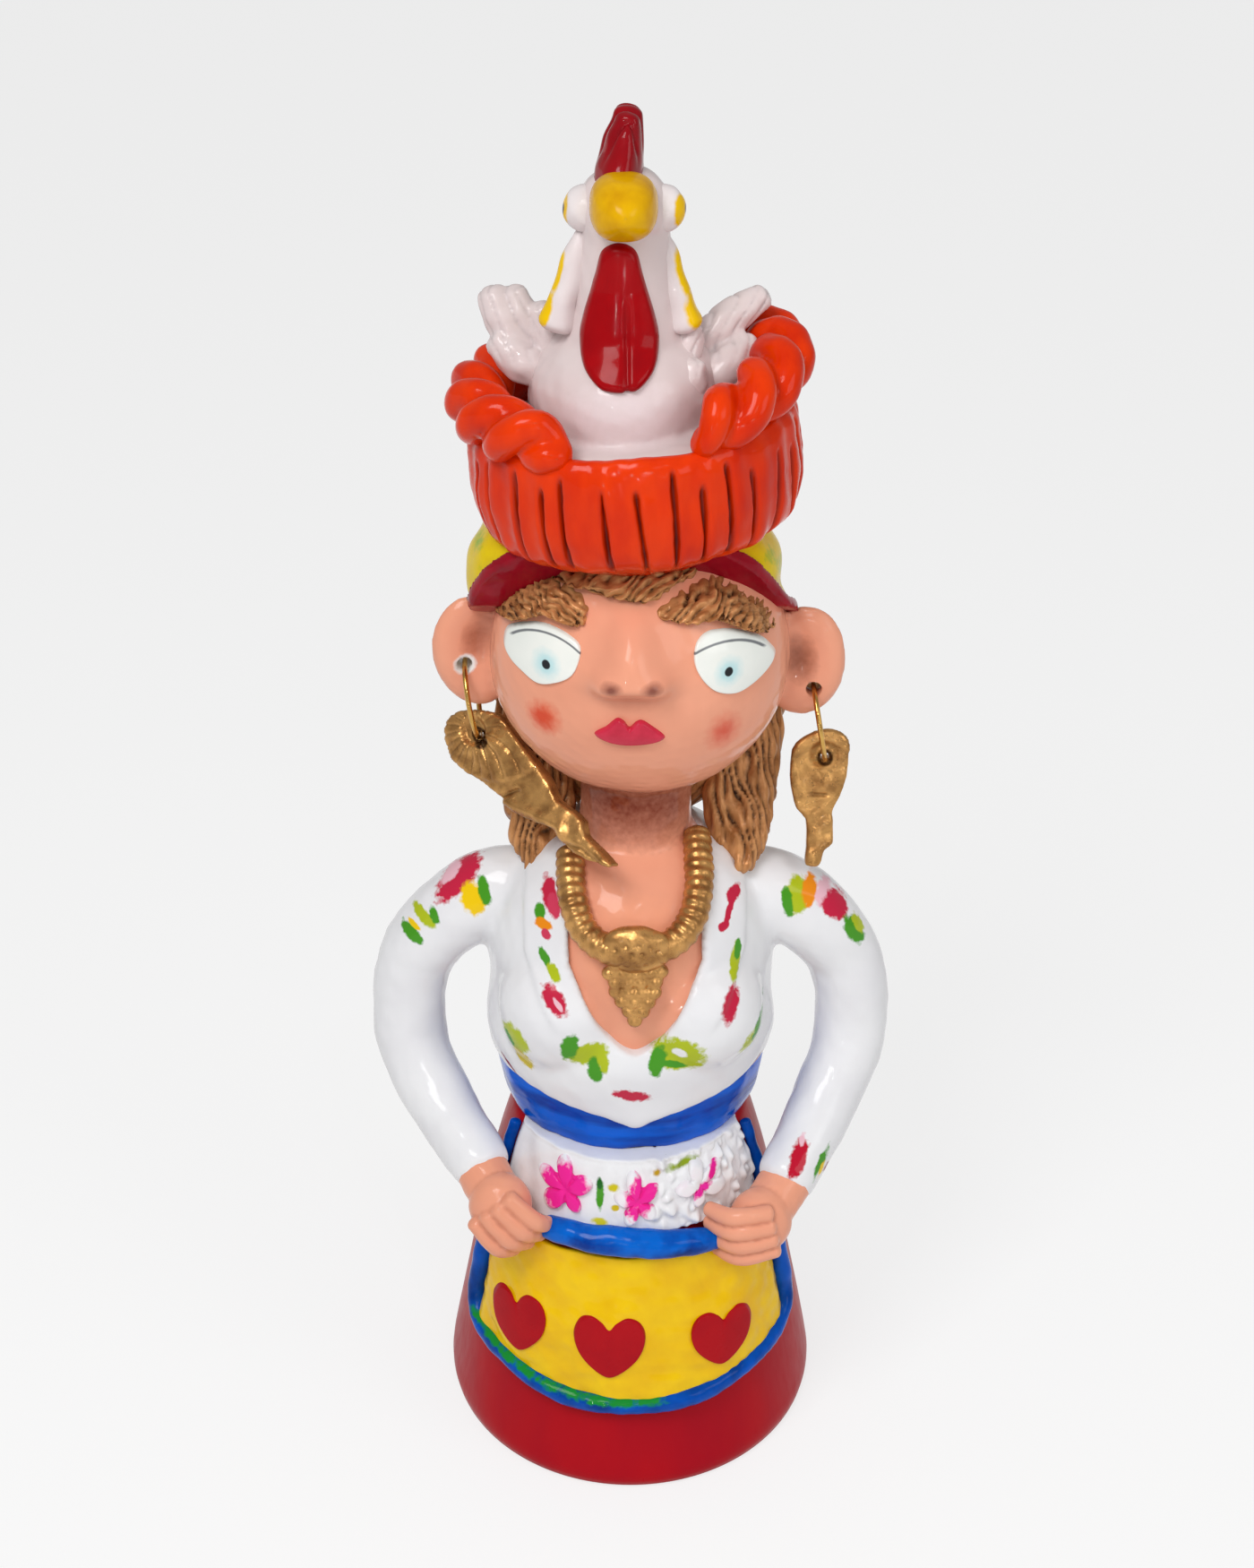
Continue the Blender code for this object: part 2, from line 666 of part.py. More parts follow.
def make_apron():
    """The yellow apron, its white waist panel and the blue border and hem."""
    edge = BORDER_RADIUS + GAP
    inner_angle = APRON_HALF_ANGLE - 2 * edge / skirt_radius(APRON_TOP)
    sheet = apron_sheet(
        "apron", inner_angle, lambda a: apron_bottom(a) + 1.6 * edge, APRON_TOP, 16, 4
    )
    keep(sheet, "apron_yellow")
    panel_bottom = HEM_HEIGHT + HEM_RADIUS + GAP
    panel_top = SKIRT_HEIGHT - GAP
    panel = apron_sheet("waist_panel", PANEL_HALF_ANGLE, lambda a: panel_bottom, panel_top, 14, 2)
    keep(panel, "cloth_white")
    keep(hem_form("apron_hem", 0.0), "trim_blue")
    waist = SKIRT_HEIGHT - BORDER_RADIUS - GAP
    corner = APRON_BOTTOM + APRON_CORNER_RISE
    sides = [waist - (waist - corner) * share for share in (0, 0.25, 0.5, 0.75, 0.92)]
    route = [(-APRON_HALF_ANGLE, z) for z in sides]
    route += [(APRON_HALF_ANGLE * s, apron_bottom(APRON_HALF_ANGLE * s)) for s in (-0.9, -0.6, -0.3, 0)]
    route += [(-angle, z) for angle, z in reversed(route[:-1])]
    stations = [
        (*skirt_point(angle, z, BORDER_RADIUS + 2 * GAP), BORDER_RADIUS)
        for angle, z in smooth_path(route, 2)
    ]
    keep(tube("apron_border", stations, resolution=1), "trim_blue")


def heart(centre, width):
    """A heart of (x, z) points round its middle."""
    unit = width / 32
    points = []
    for i in range(24):
        t = 2 * math.pi * i / 24
        x = 16 * math.sin(t) ** 3
        z = 13 * math.cos(t) - 5 * math.cos(2 * t) - 2 * math.cos(3 * t) - math.cos(4 * t)
        points.append((centre[0] + unit * x, centre[1] + unit * z))
    return points


def rosette(centre, radius, petals):
    """A flower's outline of (x, z) points."""
    count = 8 * petals
    points = []
    for i in range(count):
        t = 2 * math.pi * i / count
        reach = radius * (0.78 + 0.22 * math.cos(petals * t))
        points.append((centre[0] + reach * math.sin(t), centre[1] + reach * math.cos(t)))
    return points


def make_apron_ornaments():
    """Three hearts on the apron and three flowers on the waist panel."""
    lift = 2 * GAP + APRON_THICKNESS
    for name, (angle, height) in HEART_PLACES.items():
        centre = (skirt_radius(height) * math.sin(angle), height)
        keep(relief(name, heart(centre, HEART_WIDTH), skirt_form, lift, HEART_RELIEF), "heart_red")
    for name, centre in FLOWER_PLACES.items():
        outline = rosette(centre, FLOWER_RADIUS, FLOWER_PETALS)
        keep(relief(name, outline, skirt_form, lift, FLOWER_RELIEF), "petal_pink")


def neckline_half_width(rise):
    """Half the neckline's width at a height above its point."""
    return NECKLINE_WIDTH / 2 * min(1.0, max(rise, 0.0) / (0.5 * NECKLINE_DEPTH)) ** 0.6


def make_torso():
    """The torso core with the neck, the blouse round it, its plackets and the waistband."""
    core = core_form("neck_and_chest", 0.0)
    keep(cut(core, head_form("neck_and_chest_head_seat", GAP)), "skin")
    blouse = torso_form("blouse", 0.0)
    cut(blouse, core_form("blouse_inside", GAP, OVERRUN))
    point = TORSO_TOP - NECKLINE_DEPTH
    rises = [0.0, 0.06, 0.15, 0.3, 0.5, 1.1]
    edge = [(neckline_half_width(s * NECKLINE_DEPTH), point + s * NECKLINE_DEPTH) for s in rises]
    outline = [(NECKLINE_CENTRE - x, z) for x, z in reversed(edge[1:])]
    outline += [(NECKLINE_CENTRE + x, z) for x, z in edge]
    cut(blouse, plate("neckline", outline, -CUTTER_REACH, 0))
    keep(blouse, "cloth_white")
    for side, word in ((-1, "left"), (1, "right")):
        strip = (0.2, 0.35, 0.5, 0.68, 0.84)
        inner = [
            (
                NECKLINE_CENTRE + side * (neckline_half_width(s * NECKLINE_DEPTH) + PLACKET_SETBACK),
                point + s * NECKLINE_DEPTH,
            )
            for s in strip
        ]
        outer = [(x + side * PLACKET_WIDTH, z) for x, z in reversed(inner)]
        placket = relief(f"{word}_placket", inner + outer, torso_form, GAP, PLACKET_RELIEF)
        keep(placket, "cloth_white")
    heights = [WAISTBAND_HEIGHT * s for s in (1.0, 0.66, 0.33, 0.0)]
    inner = [(torso_radius(h) + GAP, TORSO_BASE + h) for h in reversed(heights)]
    outer = [(torso_radius(h) + GAP + WAISTBAND_THICKNESS, TORSO_BASE + h) for h in heights]
    band = turned("waistband", outer + inner, TORSO_DEPTH_RATIO, closed=True)
    keep(band, "trim_blue")


def arm_stations(side):
    """(x, y, z, radius) stations down an arm, from inside the shoulder to the wrist."""
    shoulder = TORSO_TOP - SHOULDER_DROP
    elbow_out = ELBOW_REACH
    sag = WRIST_SAG[side]
    wrist_out, wrist = WRIST_REACH + 0.3 * sag, WRIST_HEIGHT - sag
    forearm = 0.5 * (ELBOW_HEIGHT + wrist) - 2 * MM
    rows = [
        (0.5 * SHOULDER_REACH, 0, shoulder + 0.5 * MM, ARM_RADIUS),
        (0.92 * SHOULDER_REACH, 0.5 * MM, shoulder - 0.5 * MM, ARM_RADIUS * SHOULDER_SWELL),
        (0.5 * (SHOULDER_REACH + elbow_out), 1 * MM, shoulder - 7 * MM, ARM_RADIUS * 1.1),
        (elbow_out - 1.2 * MM, 2 * MM, 0.5 * (shoulder + ELBOW_HEIGHT) - 2 * MM, ARM_RADIUS * 1.03),
        (elbow_out, 0.5 * MM, ELBOW_HEIGHT - 2 * MM, ARM_RADIUS),
        (0.6 * elbow_out + 0.4 * wrist_out, -7 * MM, forearm, ARM_RADIUS * 0.93),
        (wrist_out, -WRIST_FORWARD, wrist, ARM_RADIUS * WRIST_TAPER),
    ]
    return [(side * x, y, z, radius) for x, y, z, radius in rows]


def make_arms():
    """The sleeves, with the hands that hold the apron's hem."""
    lift = APRON_THICKNESS + 3 * GAP
    for side, word in ((-1, "left"), (1, "right")):
        stations = smooth_path(arm_stations(side), 4)
        arm = tube(f"{word}_sleeve", stations)
        cut(arm, torso_form(f"{word}_sleeve_seat", GAP))
        keep(arm, "cloth_white")
        name = f"{word}_hand"
        wrist = Vector(stations[-1][:3])
        along = (wrist - Vector(stations[-2][:3])).normalized()
        centre = wrist + along * (PALM_RADII.x * 0.72) + Vector((0, -2.2 * MM, -1.5 * MM))
        turn = side * HAND_TURN[name] if word == "left" else HAND_TURN[name]
        hand = ellipsoid(name, centre, PALM_RADII, segments=12, rings=8)
        reach = Vector((-side * math.cos(turn), 0, -math.sin(abs(turn))))
        across = Vector((reach.z, 0, -reach.x)) * -side
        for finger in range(4):
            shift = across * FINGER_PITCH * (finger - 1.5)
            middle = centre + reach * (0.62 * PALM_RADII.x) + shift + Vector((0, -2.4 * MM, 0))
            digit = ellipsoid(f"{name}_finger_{finger}", middle, FINGER_RADII, segments=8, rings=6)
            digit.rotation_euler = (0, -math.atan2(reach.z, reach.x), 0)
            combine(hand, digit, "UNION")
        cut(hand, skirt_form(f"{name}_seat", lift), hem_form(f"{name}_grip", GAP))
        sleeve_end = half_space(f"{name}_wrist", wrist + along * GAP, -along, 40 * MM)
        cut(hand, sleeve_end)
        keep(hand, "skin")


def lips_outline(centre):
    """A mouth with a bow in the upper lip, as (x, z) points."""
    half = LIPS_WIDTH / 2
    upper = [(0.0, 0.62), (0.3, 1.0), (0.62, 0.55), (1.0, 0.0)]
    lower = [(0.7, -0.62), (0.35, -0.95), (0.0, -1.0)]
    right = [(x * half, z * LIPS_HEIGHT / 2) for x, z in upper + lower]
    left = [(-x, z) for x, z in reversed(right[1:-1])]
    return [(centre[0] + x, centre[1] + z) for x, z in right + left]


def make_head():
    """The head with its nose, eyes, brows and lips."""
    keep(head_form("head", 0.0), "skin")
    nose_x, nose_z = on_face(-HEAD_SHIFT.x, NOSE_RISE)
    front = HEAD_CENTRE.y - HEAD_RADII.y + 1.6 * MM
    nose_at = (nose_x, front, nose_z)
    nose = ellipsoid("nose", nose_at, NOSE_RADII, segments=16, rings=10)
    keep(cut(nose, head_form("nose_seat", GAP)), "skin")
    for side, word in ((-1, "left"), (1, "right")):
        eye = oval(on_face(side * EYE_SPREAD, EYE_RISE), EYE_RADII, -side * EYE_TILT)
        keep(relief(f"{word}_eye", eye, head_form, GAP, EYE_RELIEF), "eye_white")
        brow = oval(on_face(side * BROW_SPREAD, BROW_RISE), BROW_RADII, side * BROW_TILT, 16)
        brow = relief(f"{word}_brow", brow, head_form, GAP, BROW_RELIEF)
        keep(keep_in_front(brow, KERCHIEF_BORDER_WIDTH / 2 + GAP / 2), "hair_brown")
    lips = lips_outline(on_face(-HEAD_SHIFT.x, -LIPS_DROP))
    lips = relief("lips", lips, head_form, GAP, LIPS_RELIEF)
    keep(cut(lips, ellipsoid("lips_nose", nose_at, NOSE_RADII, GAP, segments=16, rings=10)), "lip_red")


def ear_centre(word):
    """The middle of an ear."""
    side = -1 if word == "left" else 1
    out = Vector((side * EAR_SPREAD, EAR_BACK - HEAD_SHIFT.y, -EAR_DROP[word]))
    return HEAD_CENTRE + out


def lobe_hole(word):
    """The middle of the hole through an ear's lobe, which runs along Y."""
    side = -1 if word == "left" else 1
    return ear_centre(word) + Vector((side * LOBE_HOLE_OUT, 0, LOBE_HOLE_RISE[word] - EAR_RADII.z))


def make_ears():
    """The two ears, hollowed in front and pierced for the earrings."""
    for side, word in ((-1, "left"), (1, "right")):
        centre = ear_centre(word)
        ear = ellipsoid(f"{word}_ear", centre, EAR_RADII)
        cut(ear, head_form(f"{word}_ear_seat", GAP))
        covered = kerchief_form(f"{word}_ear_kerchief", KERCHIEF_BORDER_LIFT + GAP)
        cut(ear, keep_behind(covered, KERCHIEF_BORDER_WIDTH / 2 + GAP / 2))
        front = -EAR_RADII.y - EAR_HOLLOW_RADIUS + EAR_HOLLOW_DEPTH
        hollow = centre + Vector((side * 1.0 * MM, front, 2.5 * MM))
        radii = (EAR_HOLLOW_RADIUS,) * 3
        cut(ear, ellipsoid(f"{word}_ear_hollow", hollow, radii, segments=12, rings=8))
        cut(ear, cylinder(f"{word}_lobe_hole", lobe_hole(word), LOBE_HOLE_RADIUS, 30 * MM, (0, 1, 0)))
        keep(ear, "skin")


def ring_down(word):
    """The direction in which an earring's ring hangs from its lobe."""
    lean = RING_LEAN[word]
    return Vector((math.sin(lean), 0, -math.cos(lean)))


def pendant(name, rows, top, length, width):
    """A flat earring drop with its hole at the origin and its length along -Z."""
    edges = smooth_path(rows, 2)
    outline = [(right * width, top - down * length) for down, left, right in edges]
    outline += [(left * width, top - down * length) for down, left, right in reversed(edges)]
    drop = plate(name, outline, -PENDANT_THICKNESS / 2, PENDANT_THICKNESS / 2)
    drop.data.transform(drop.matrix_world)
    drop.matrix_world = Matrix.Identity(4)
    return drop


def pendant_turn(aim):
    """The rotation that points a drop's length along aim and its face to the viewer."""
    face = Vector((0, -1, 0))
    face = (face - aim * face.dot(aim)).normalized()
    side = face.cross(aim)
    return Matrix((side, -face, -aim)).transposed()


def pivot(name, point):
    """An empty on the axis that a piece swings about."""
    empty = bpy.data.objects.new(name, None)
    CUTTERS.objects.link(empty)
    empty.location = point
    return empty


def make_earrings():
    """A wire ring through each lobe and the drop that hangs on it."""
    left = (LEFT_PENDANT_ROWS, LEFT_PENDANT_TOP, LEFT_PENDANT_LENGTH, LEFT_PENDANT_WIDTH)
    right = (RIGHT_PENDANT_ROWS, RIGHT_PENDANT_TOP, RIGHT_PENDANT_LENGTH, RIGHT_PENDANT_WIDTH)
    for word, form, aim in (("left", left, LEFT_PENDANT_AIM), ("right", right, RIGHT_PENDANT_AIM)):
        down = ring_down(word)
        bpy.ops.mesh.primitive_torus_add(
            major_radius=RING_RADIUS,
            minor_radius=RING_WIRE_RADIUS,
            major_segments=28,
            minor_segments=6,
        )
        ring = bpy.context.object
        ring.users_collection[0].objects.unlink(ring)
        ring.name = f"{word}_earring_ring"
        place(ring)
        ring.rotation_mode = "QUATERNION"
        ring.rotation_quaternion = down.cross(Vector((0, 1, 0))).to_track_quat("Z", "Y")
        ring.location = down * RING_RADIUS
        ring.parent = pivot(f"{word}_ring_pivot", lobe_hole(word))
        keep(ring, "brass_wire")
        drop = pendant(f"{word}_earring_drop", *form)
        drop.data.transform(Matrix.Translation((0, 0, -PENDANT_SAG)))
        hang = lobe_hole(word) + down * 2 * RING_RADIUS
        middle = hang + aim * PENDANT_SAG
        cut(drop, cylinder(f"{word}_drop_hole", middle, PENDANT_HOLE_RADIUS, 20 * MM, (0, 1, 0)))
        hook = pivot(f"{word}_drop_pivot", hang)
        hook.rotation_mode = "QUATERNION"
        hook.rotation_quaternion = pendant_turn(aim).to_quaternion()
        drop.parent = hook
        keep(drop, "gold_paint")


def kerchief_edges(shift):
    """(point, normal) of the edge before the ears and of the edge behind them, moved outwards by shift."""
    front = HEAD_CENTRE + Vector((0, -KERCHIEF_EDGE_FRONT, KERCHIEF_EDGE_RISE))
    ear = HEAD_CENTRE + Vector((0, -KERCHIEF_EAR_FRONT, KERCHIEF_EAR_RISE))
    planes = []
    for point, slope in ((front, KERCHIEF_SLOPE), (ear, KERCHIEF_NAPE_SLOPE)):
        normal = Vector((0, -math.sin(slope), -math.cos(slope)))
        planes.append((point + normal * shift, normal))
    return planes


def kerchief_form(name, grow):
    """The kerchief's outer shape as a closed solid, fuller than the head over the temples."""
    form = head_form(name, GAP + KERCHIEF_THICKNESS + grow)
    centre = HEAD_CENTRE + Vector((0, -HEAD_SHIFT.y + 1.5 * MM, KERCHIEF_BULGE_RISE))
    bulge = ellipsoid(f"{name}_bulge", centre, KERCHIEF_BULGE_RADII, grow, segments=24, rings=14)
    return combine(form, bulge, "UNION")


def keep_behind(obj, shift):
    """Cuts away what is outside the kerchief's two edges moved outwards by shift."""
    for number, (point, normal) in enumerate(kerchief_edges(shift)):
        cut(obj, half_space(f"{obj.name}_front_{number}", point, normal))
    return obj


def keep_in_front(obj, shift):
    """Cuts away what is behind the kerchief's front edge moved outwards by shift."""
    point, normal = kerchief_edges(shift)[0]
    return cut(obj, half_space(f"{obj.name}_rear", point, -normal))


def back_hair_form(name, grow):
    """The mass of hair at the nape, grown outwards."""
    centre = HEAD_CENTRE + Vector((0, BACK_HAIR_BACK, -BACK_HAIR_DROP))
    return ellipsoid(name, centre, BACK_HAIR_RADII, grow)


def make_kerchief():
    """The kerchief over the head, its border and the tail that falls on the nape."""
    half = KERCHIEF_BORDER_WIDTH / 2
    cloth = keep_behind(kerchief_form("kerchief", 0.0), -half - GAP / 2)
    border = keep_behind(kerchief_form("kerchief_border", KERCHIEF_BORDER_LIFT), half - GAP / 2)
    inside = kerchief_form("kerchief_border_inside", KERCHIEF_BORDER_LIFT + OVERRUN)
    cut(border, keep_behind(inside, -half + GAP / 2))
    for piece, coat in ((cloth, "kerchief_yellow"), (border, "kerchief_red")):
        cut(piece, head_form(f"{piece.name}_head", GAP), basket_form(f"{piece.name}_basket", GAP, False))
        keep(piece, coat)
    top = HEAD_CENTRE.z + 2 * MM
    half = KERCHIEF_TAIL_WIDTH / 2
    x = HEAD_CENTRE.x
    outline = [(x - half, top), (x + half, top), (x + 1.5 * MM, top - KERCHIEF_TAIL_LENGTH)]
    outline.append((x - 1.5 * MM, top - KERCHIEF_TAIL_LENGTH))
    behind = (HEAD_CENTRE.y + BACK_HAIR_BACK, CUTTER_REACH)
    tail = relief("kerchief_tail", outline, back_hair_form, GAP, KERCHIEF_THICKNESS, behind)
    cut(tail, kerchief_form("kerchief_tail_head", KERCHIEF_BORDER_LIFT + GAP))
    cut(tail, torso_form("kerchief_tail_back", GAP))
    keep(tail, "kerchief_yellow")


def lock_stations(word):
    """(x, y, z, radius) stations down a lock of hair, from behind the ear to the shoulder."""
    side = -1 if word == "left" else 1
    rows = [
        (LOCK_SPREAD + 2 * MM, 10 * MM, -11 * MM, 0.7),
        (LOCK_SPREAD + 1 * MM, 8.5 * MM, -19 * MM, 0.95),
        (LOCK_SPREAD - 0.5 * MM, 4.5 * MM, -28 * MM, 1.0),
        (LOCK_SPREAD - 1 * MM, -1.5 * MM, -35 * MM, 0.75),
        (LOCK_SPREAD - 1.5 * MM, -5.5 * MM, -39 * MM, 0.35),
    ]
    return [
        (HEAD_CENTRE.x + side * x, y, HEAD_CENTRE.z + z, LOCK_RADIUS * swell) for x, y, z, swell in rows
    ]


def make_hair():
    """The hair at the nape, a lock over each shoulder and the fringe under the kerchief."""
    back = back_hair_form("back_hair", 0.0)
    cut(back, kerchief_form("back_hair_head", KERCHIEF_BORDER_LIFT + GAP))
    cut(back, core_form("back_hair_neck", GAP, OVERRUN), torso_form("back_hair_shoulders", GAP))
    keep(back, "hair_brown")
    for word in ("left", "right"):
        lock = tube(f"{word}_lock", smooth_path(lock_stations(word), 4))
        cut(lock, head_form(f"{word}_lock_head", GAP), back_hair_form(f"{word}_lock_back", GAP))
        cut(lock, ellipsoid(f"{word}_lock_ear", ear_centre(word), EAR_RADII, GAP))
        cut(lock, torso_form(f"{word}_lock_shoulder", 2 * GAP + PLACKET_RELIEF))
        keep(lock, "hair_brown")
    fringe = cut(head_form("fringe", GAP + FRINGE_RELIEF), head_form("fringe_inside", GAP))
    start = KERCHIEF_BORDER_WIDTH / 2 + GAP / 2
    keep_in_front(fringe, start)
    keep_behind(fringe, start + FRINGE_WIDTH)
    cut(fringe, half_space("fringe_nape", HEAD_CENTRE, (0, 1, 0)), basket_form("fringe_basket", GAP, False))
    for side, word in ((-1, "left"), (1, "right")):
        edge = HEAD_CENTRE + Vector((side * FRINGE_HALF_SPAN, 0, 0))
        cut(fringe, half_space(f"fringe_{word}_end", edge, (side, 0, 0)))
        radii = tuple(r + GAP for r in BROW_RADII)
        brow = oval(on_face(side * BROW_SPREAD, BROW_RISE), radii, side * BROW_TILT, 16)
        cut(fringe, plate(f"fringe_{word}_brow", brow, -CUTTER_REACH, HEAD_CENTRE.y))
    keep(fringe, "hair_brown")


def make_necklace():
    """The gold necklace in two halves, its medallion and the cluster that hangs from it."""
    top = TORSO_TOP + 0.5 * MM
    middle = Vector((NECKLINE_CENTRE, 0, top - NECKLACE_DROP + 0.6 * MM))
    middle.y = torso_front(middle.x, middle.z, GAP + 0.5 * MEDALLION_RADII.y)
    clear = (MEDALLION_RADII.x, 2 * MEDALLION_RADII.y, MEDALLION_RADII.z)
    for side, word in ((-1, "left"), (1, "right")):
        stations = []
        corners = [(1.0, NECKLACE_START[word]), (0.98, 0.5), (0.78, 0.8), (0.3, 1.0), (0.0, 1.02)]
        for across, drop in smooth_path(corners, 3):
            x = NECKLINE_CENTRE + side * across * NECKLACE_HALF_WIDTH
            z = top - drop * NECKLACE_DROP
            stations.append((x, torso_front(x, z, GAP + 0.75 * NECKLACE_RADIUS), z, NECKLACE_RADIUS))
        name = f"{word}_necklace"
        chain = tube(name, stations)
        cut(chain, torso_form(f"{name}_seat", GAP), head_form(f"{name}_head", GAP))
        cut(chain, ellipsoid(f"{name}_medallion", middle, clear, GAP))
        keep(chain, "gold_paint")
    medallion = ellipsoid("medallion", middle, MEDALLION_RADII)
    keep(cut(medallion, torso_form("medallion_seat", GAP)), "gold_paint")
    half = CLUSTER_WIDTH / 2
    shares = [(0.55, 0.0), (1.0, 0.12), (0.9, 0.38), (0.55, 0.72), (0.2, 0.97), (-0.2, 0.97)]
    shares += [(-0.55, 0.72), (-0.9, 0.38), (-1.0, 0.12), (-0.55, 0.0)]
    hang = middle.z - 0.62 * MEDALLION_RADII.z
    outline = [(NECKLINE_CENTRE + x * half, hang - d * CLUSTER_LENGTH) for x, d in shares]
    cluster = relief("cluster", outline, torso_form, GAP, CLUSTER_RELIEF)
    cut(cluster, ellipsoid("cluster_medallion", middle, MEDALLION_RADII, GAP))
    keep(cluster, "gold_paint")


def basket_form(name, grow, hollow=True):
    """The basket's bowl, with its walls thicker by grow on every side, or its outside alone."""
    high = BASKET_HEIGHT + grow
    outside = [
        (BASKET_RADIUS - BASKET_WALL / 2, high),
        (BASKET_RADIUS - 0.05 * BASKET_WALL + grow, 0.95 * BASKET_HEIGHT),
        (BASKET_RADIUS + grow, 0.62 * BASKET_HEIGHT),
        (BASKET_RADIUS - 0.6 * MM + grow, 0.42 * BASKET_HEIGHT),
        (BASKET_RADIUS - 2.4 * MM + 0.7 * grow, 0.27 * BASKET_HEIGHT - 0.7 * grow),
        (0.5 * (BASKET_RADIUS + BASKET_BASE_RADIUS), 0.15 * BASKET_HEIGHT - grow),
        (BASKET_BASE_RADIUS, -grow),
        (0, -grow),
    ]
    inner = BASKET_RADIUS - BASKET_WALL - grow
    inside = [(0, BASKET_FLOOR + grow), (inner - 3 * MM, BASKET_FLOOR + grow)]
    inside += [(inner, BASKET_FLOOR + 4 * MM), (inner, 0.95 * BASKET_HEIGHT)]
    if not hollow:
        inside = [(0, high)]
    bowl = turned(name, inside + outside, steps=28)
    bowl.parent = BASKET_TILT
    return bowl


def rope_path(side):
    """Points along the middle of a basket handle, seen from the middle of the basket's base."""
    across = BASKET_RADIUS - BASKET_WALL / 2
    foot = BASKET_HEIGHT + STRAND_RADIUS
    rows = []
    for share in (-1.0, -0.7, -0.3, 0.0, 0.3, 0.7, 1.0):
        angle = ROPE_FOOT_ANGLE * share
        lift = ROPE_RISE[side] * math.cos(share * math.pi / 2) ** 0.8
        rows.append((side * across * math.cos(angle), across * math.sin(angle), foot + lift))
    return [Vector(point) for point in smooth_path(rows, 10)]


def strand_stations(side, phase):
    """(x, y, z, radius) stations of one of the two strands twisted into a handle."""
    path = rope_path(side)
    stations = []
    for i, middle in enumerate(path):
        along = (path[min(i + 1, len(path) - 1)] - path[max(i - 1, 0)]).normalized()
        out = along.cross(Vector((0, 0, 1))).normalized()
        up = out.cross(along)
        angle = 2 * math.pi * ROPE_TURNS * i / (len(path) - 1) + phase
        offset = (out * math.cos(angle) + up * math.sin(angle)) * (STRAND_RADIUS + GAP)
        stations.append((*(middle + offset), STRAND_RADIUS))
    return stations[::2]


def make_basket():
    """The basket on the kerchief and its two handles, each twisted from two strands."""
    bowl = basket_form("basket", 0.0)
    keep(cut(bowl, head_form("basket_seat", GAP)), "basket_orange")
    for side, word in ((-1, "left"), (1, "right")):
        for phase, which in ((0.0, "first"), (math.pi, "second")):
            name = f"{word}_handle_{which}_strand"
            strand = tube(name, strand_stations(side, phase), resolution=1)
            strand.parent = BASKET_TILT
            cut(strand, basket_form(f"{name}_rim", GAP))
            keep(strand, "basket_orange")


def rope_envelope(name, side):
    """A plain tube round a whole handle, for clearing what is next to it."""
    reach = 2 * STRAND_RADIUS + 2 * GAP
    envelope = tube(name, [(*point, reach) for point in rope_path(side)[::5]])
    envelope.parent = BASKET_TILT
    return envelope


def hen_form(name, grow):
    """The hen's body, neck and head, grown outwards."""
    form = ellipsoid(name, HEN_BODY_CENTRE, HEN_BODY_RADII, grow)
    low, high = HEN_BODY_RADII.z * 0.2, HEN_NECK_HEIGHT
    root, tip = HEN_NECK_ROOT_RADIUS, HEN_NECK_TOP_RADIUS
    sides = [
        (tip + (root - tip) * swell + grow, low + (high - low) * rise)
        for swell, rise in ((0.0, 1.0), (0.2, 0.6), (0.6, 0.3), (1.0, 0.0))
    ]
    neck = turned(f"{name}_neck", [(0, high), *sides, (0, low)], steps=16)
    neck.location = HEN_NECK_AXIS
    combine(form, neck, "UNION")
    return combine(form, ellipsoid(f"{name}_head", HEN_HEAD_CENTRE, HEN_HEAD_RADII, grow), "UNION")


def hen_seat(name):
    """The broad underside of the hen that fills the basket; the basket trims it to its own inside."""
    radius = BASKET_RADIUS - BASKET_WALL / 2
    top = BASKET_HEIGHT - HEN_SEAT_DROP
    low = 0.9 * BASKET_FLOOR
    seat = turned(name, [(0, top), (radius, top), (radius, low), (0, low)], steps=28)
    seat.parent = BASKET_TILT
    return seat


def comb_outline():
    """The comb's side as (y, z) points from the middle of the hen's head: four teeth on a low root."""
    half, root = COMB_LENGTH / 2, 0.35 * HEN_HEAD_RADII.z
    top = HEN_HEAD_RADII.z + COMB_HEIGHT - 3.2 * MM
    rows = [(-1.0, 0.0), (-0.85, 0.74), (-0.52, 0.96), (-0.36, 0.86), (-0.05, 1.0), (0.1, 0.84)]
    rows += [(0.42, 0.88), (0.55, 0.66), (0.88, 0.62), (1.0, 0.3), (0.8, 0.0)]
    return [(y * half, root + (top - root) * z) for y, z in rows]


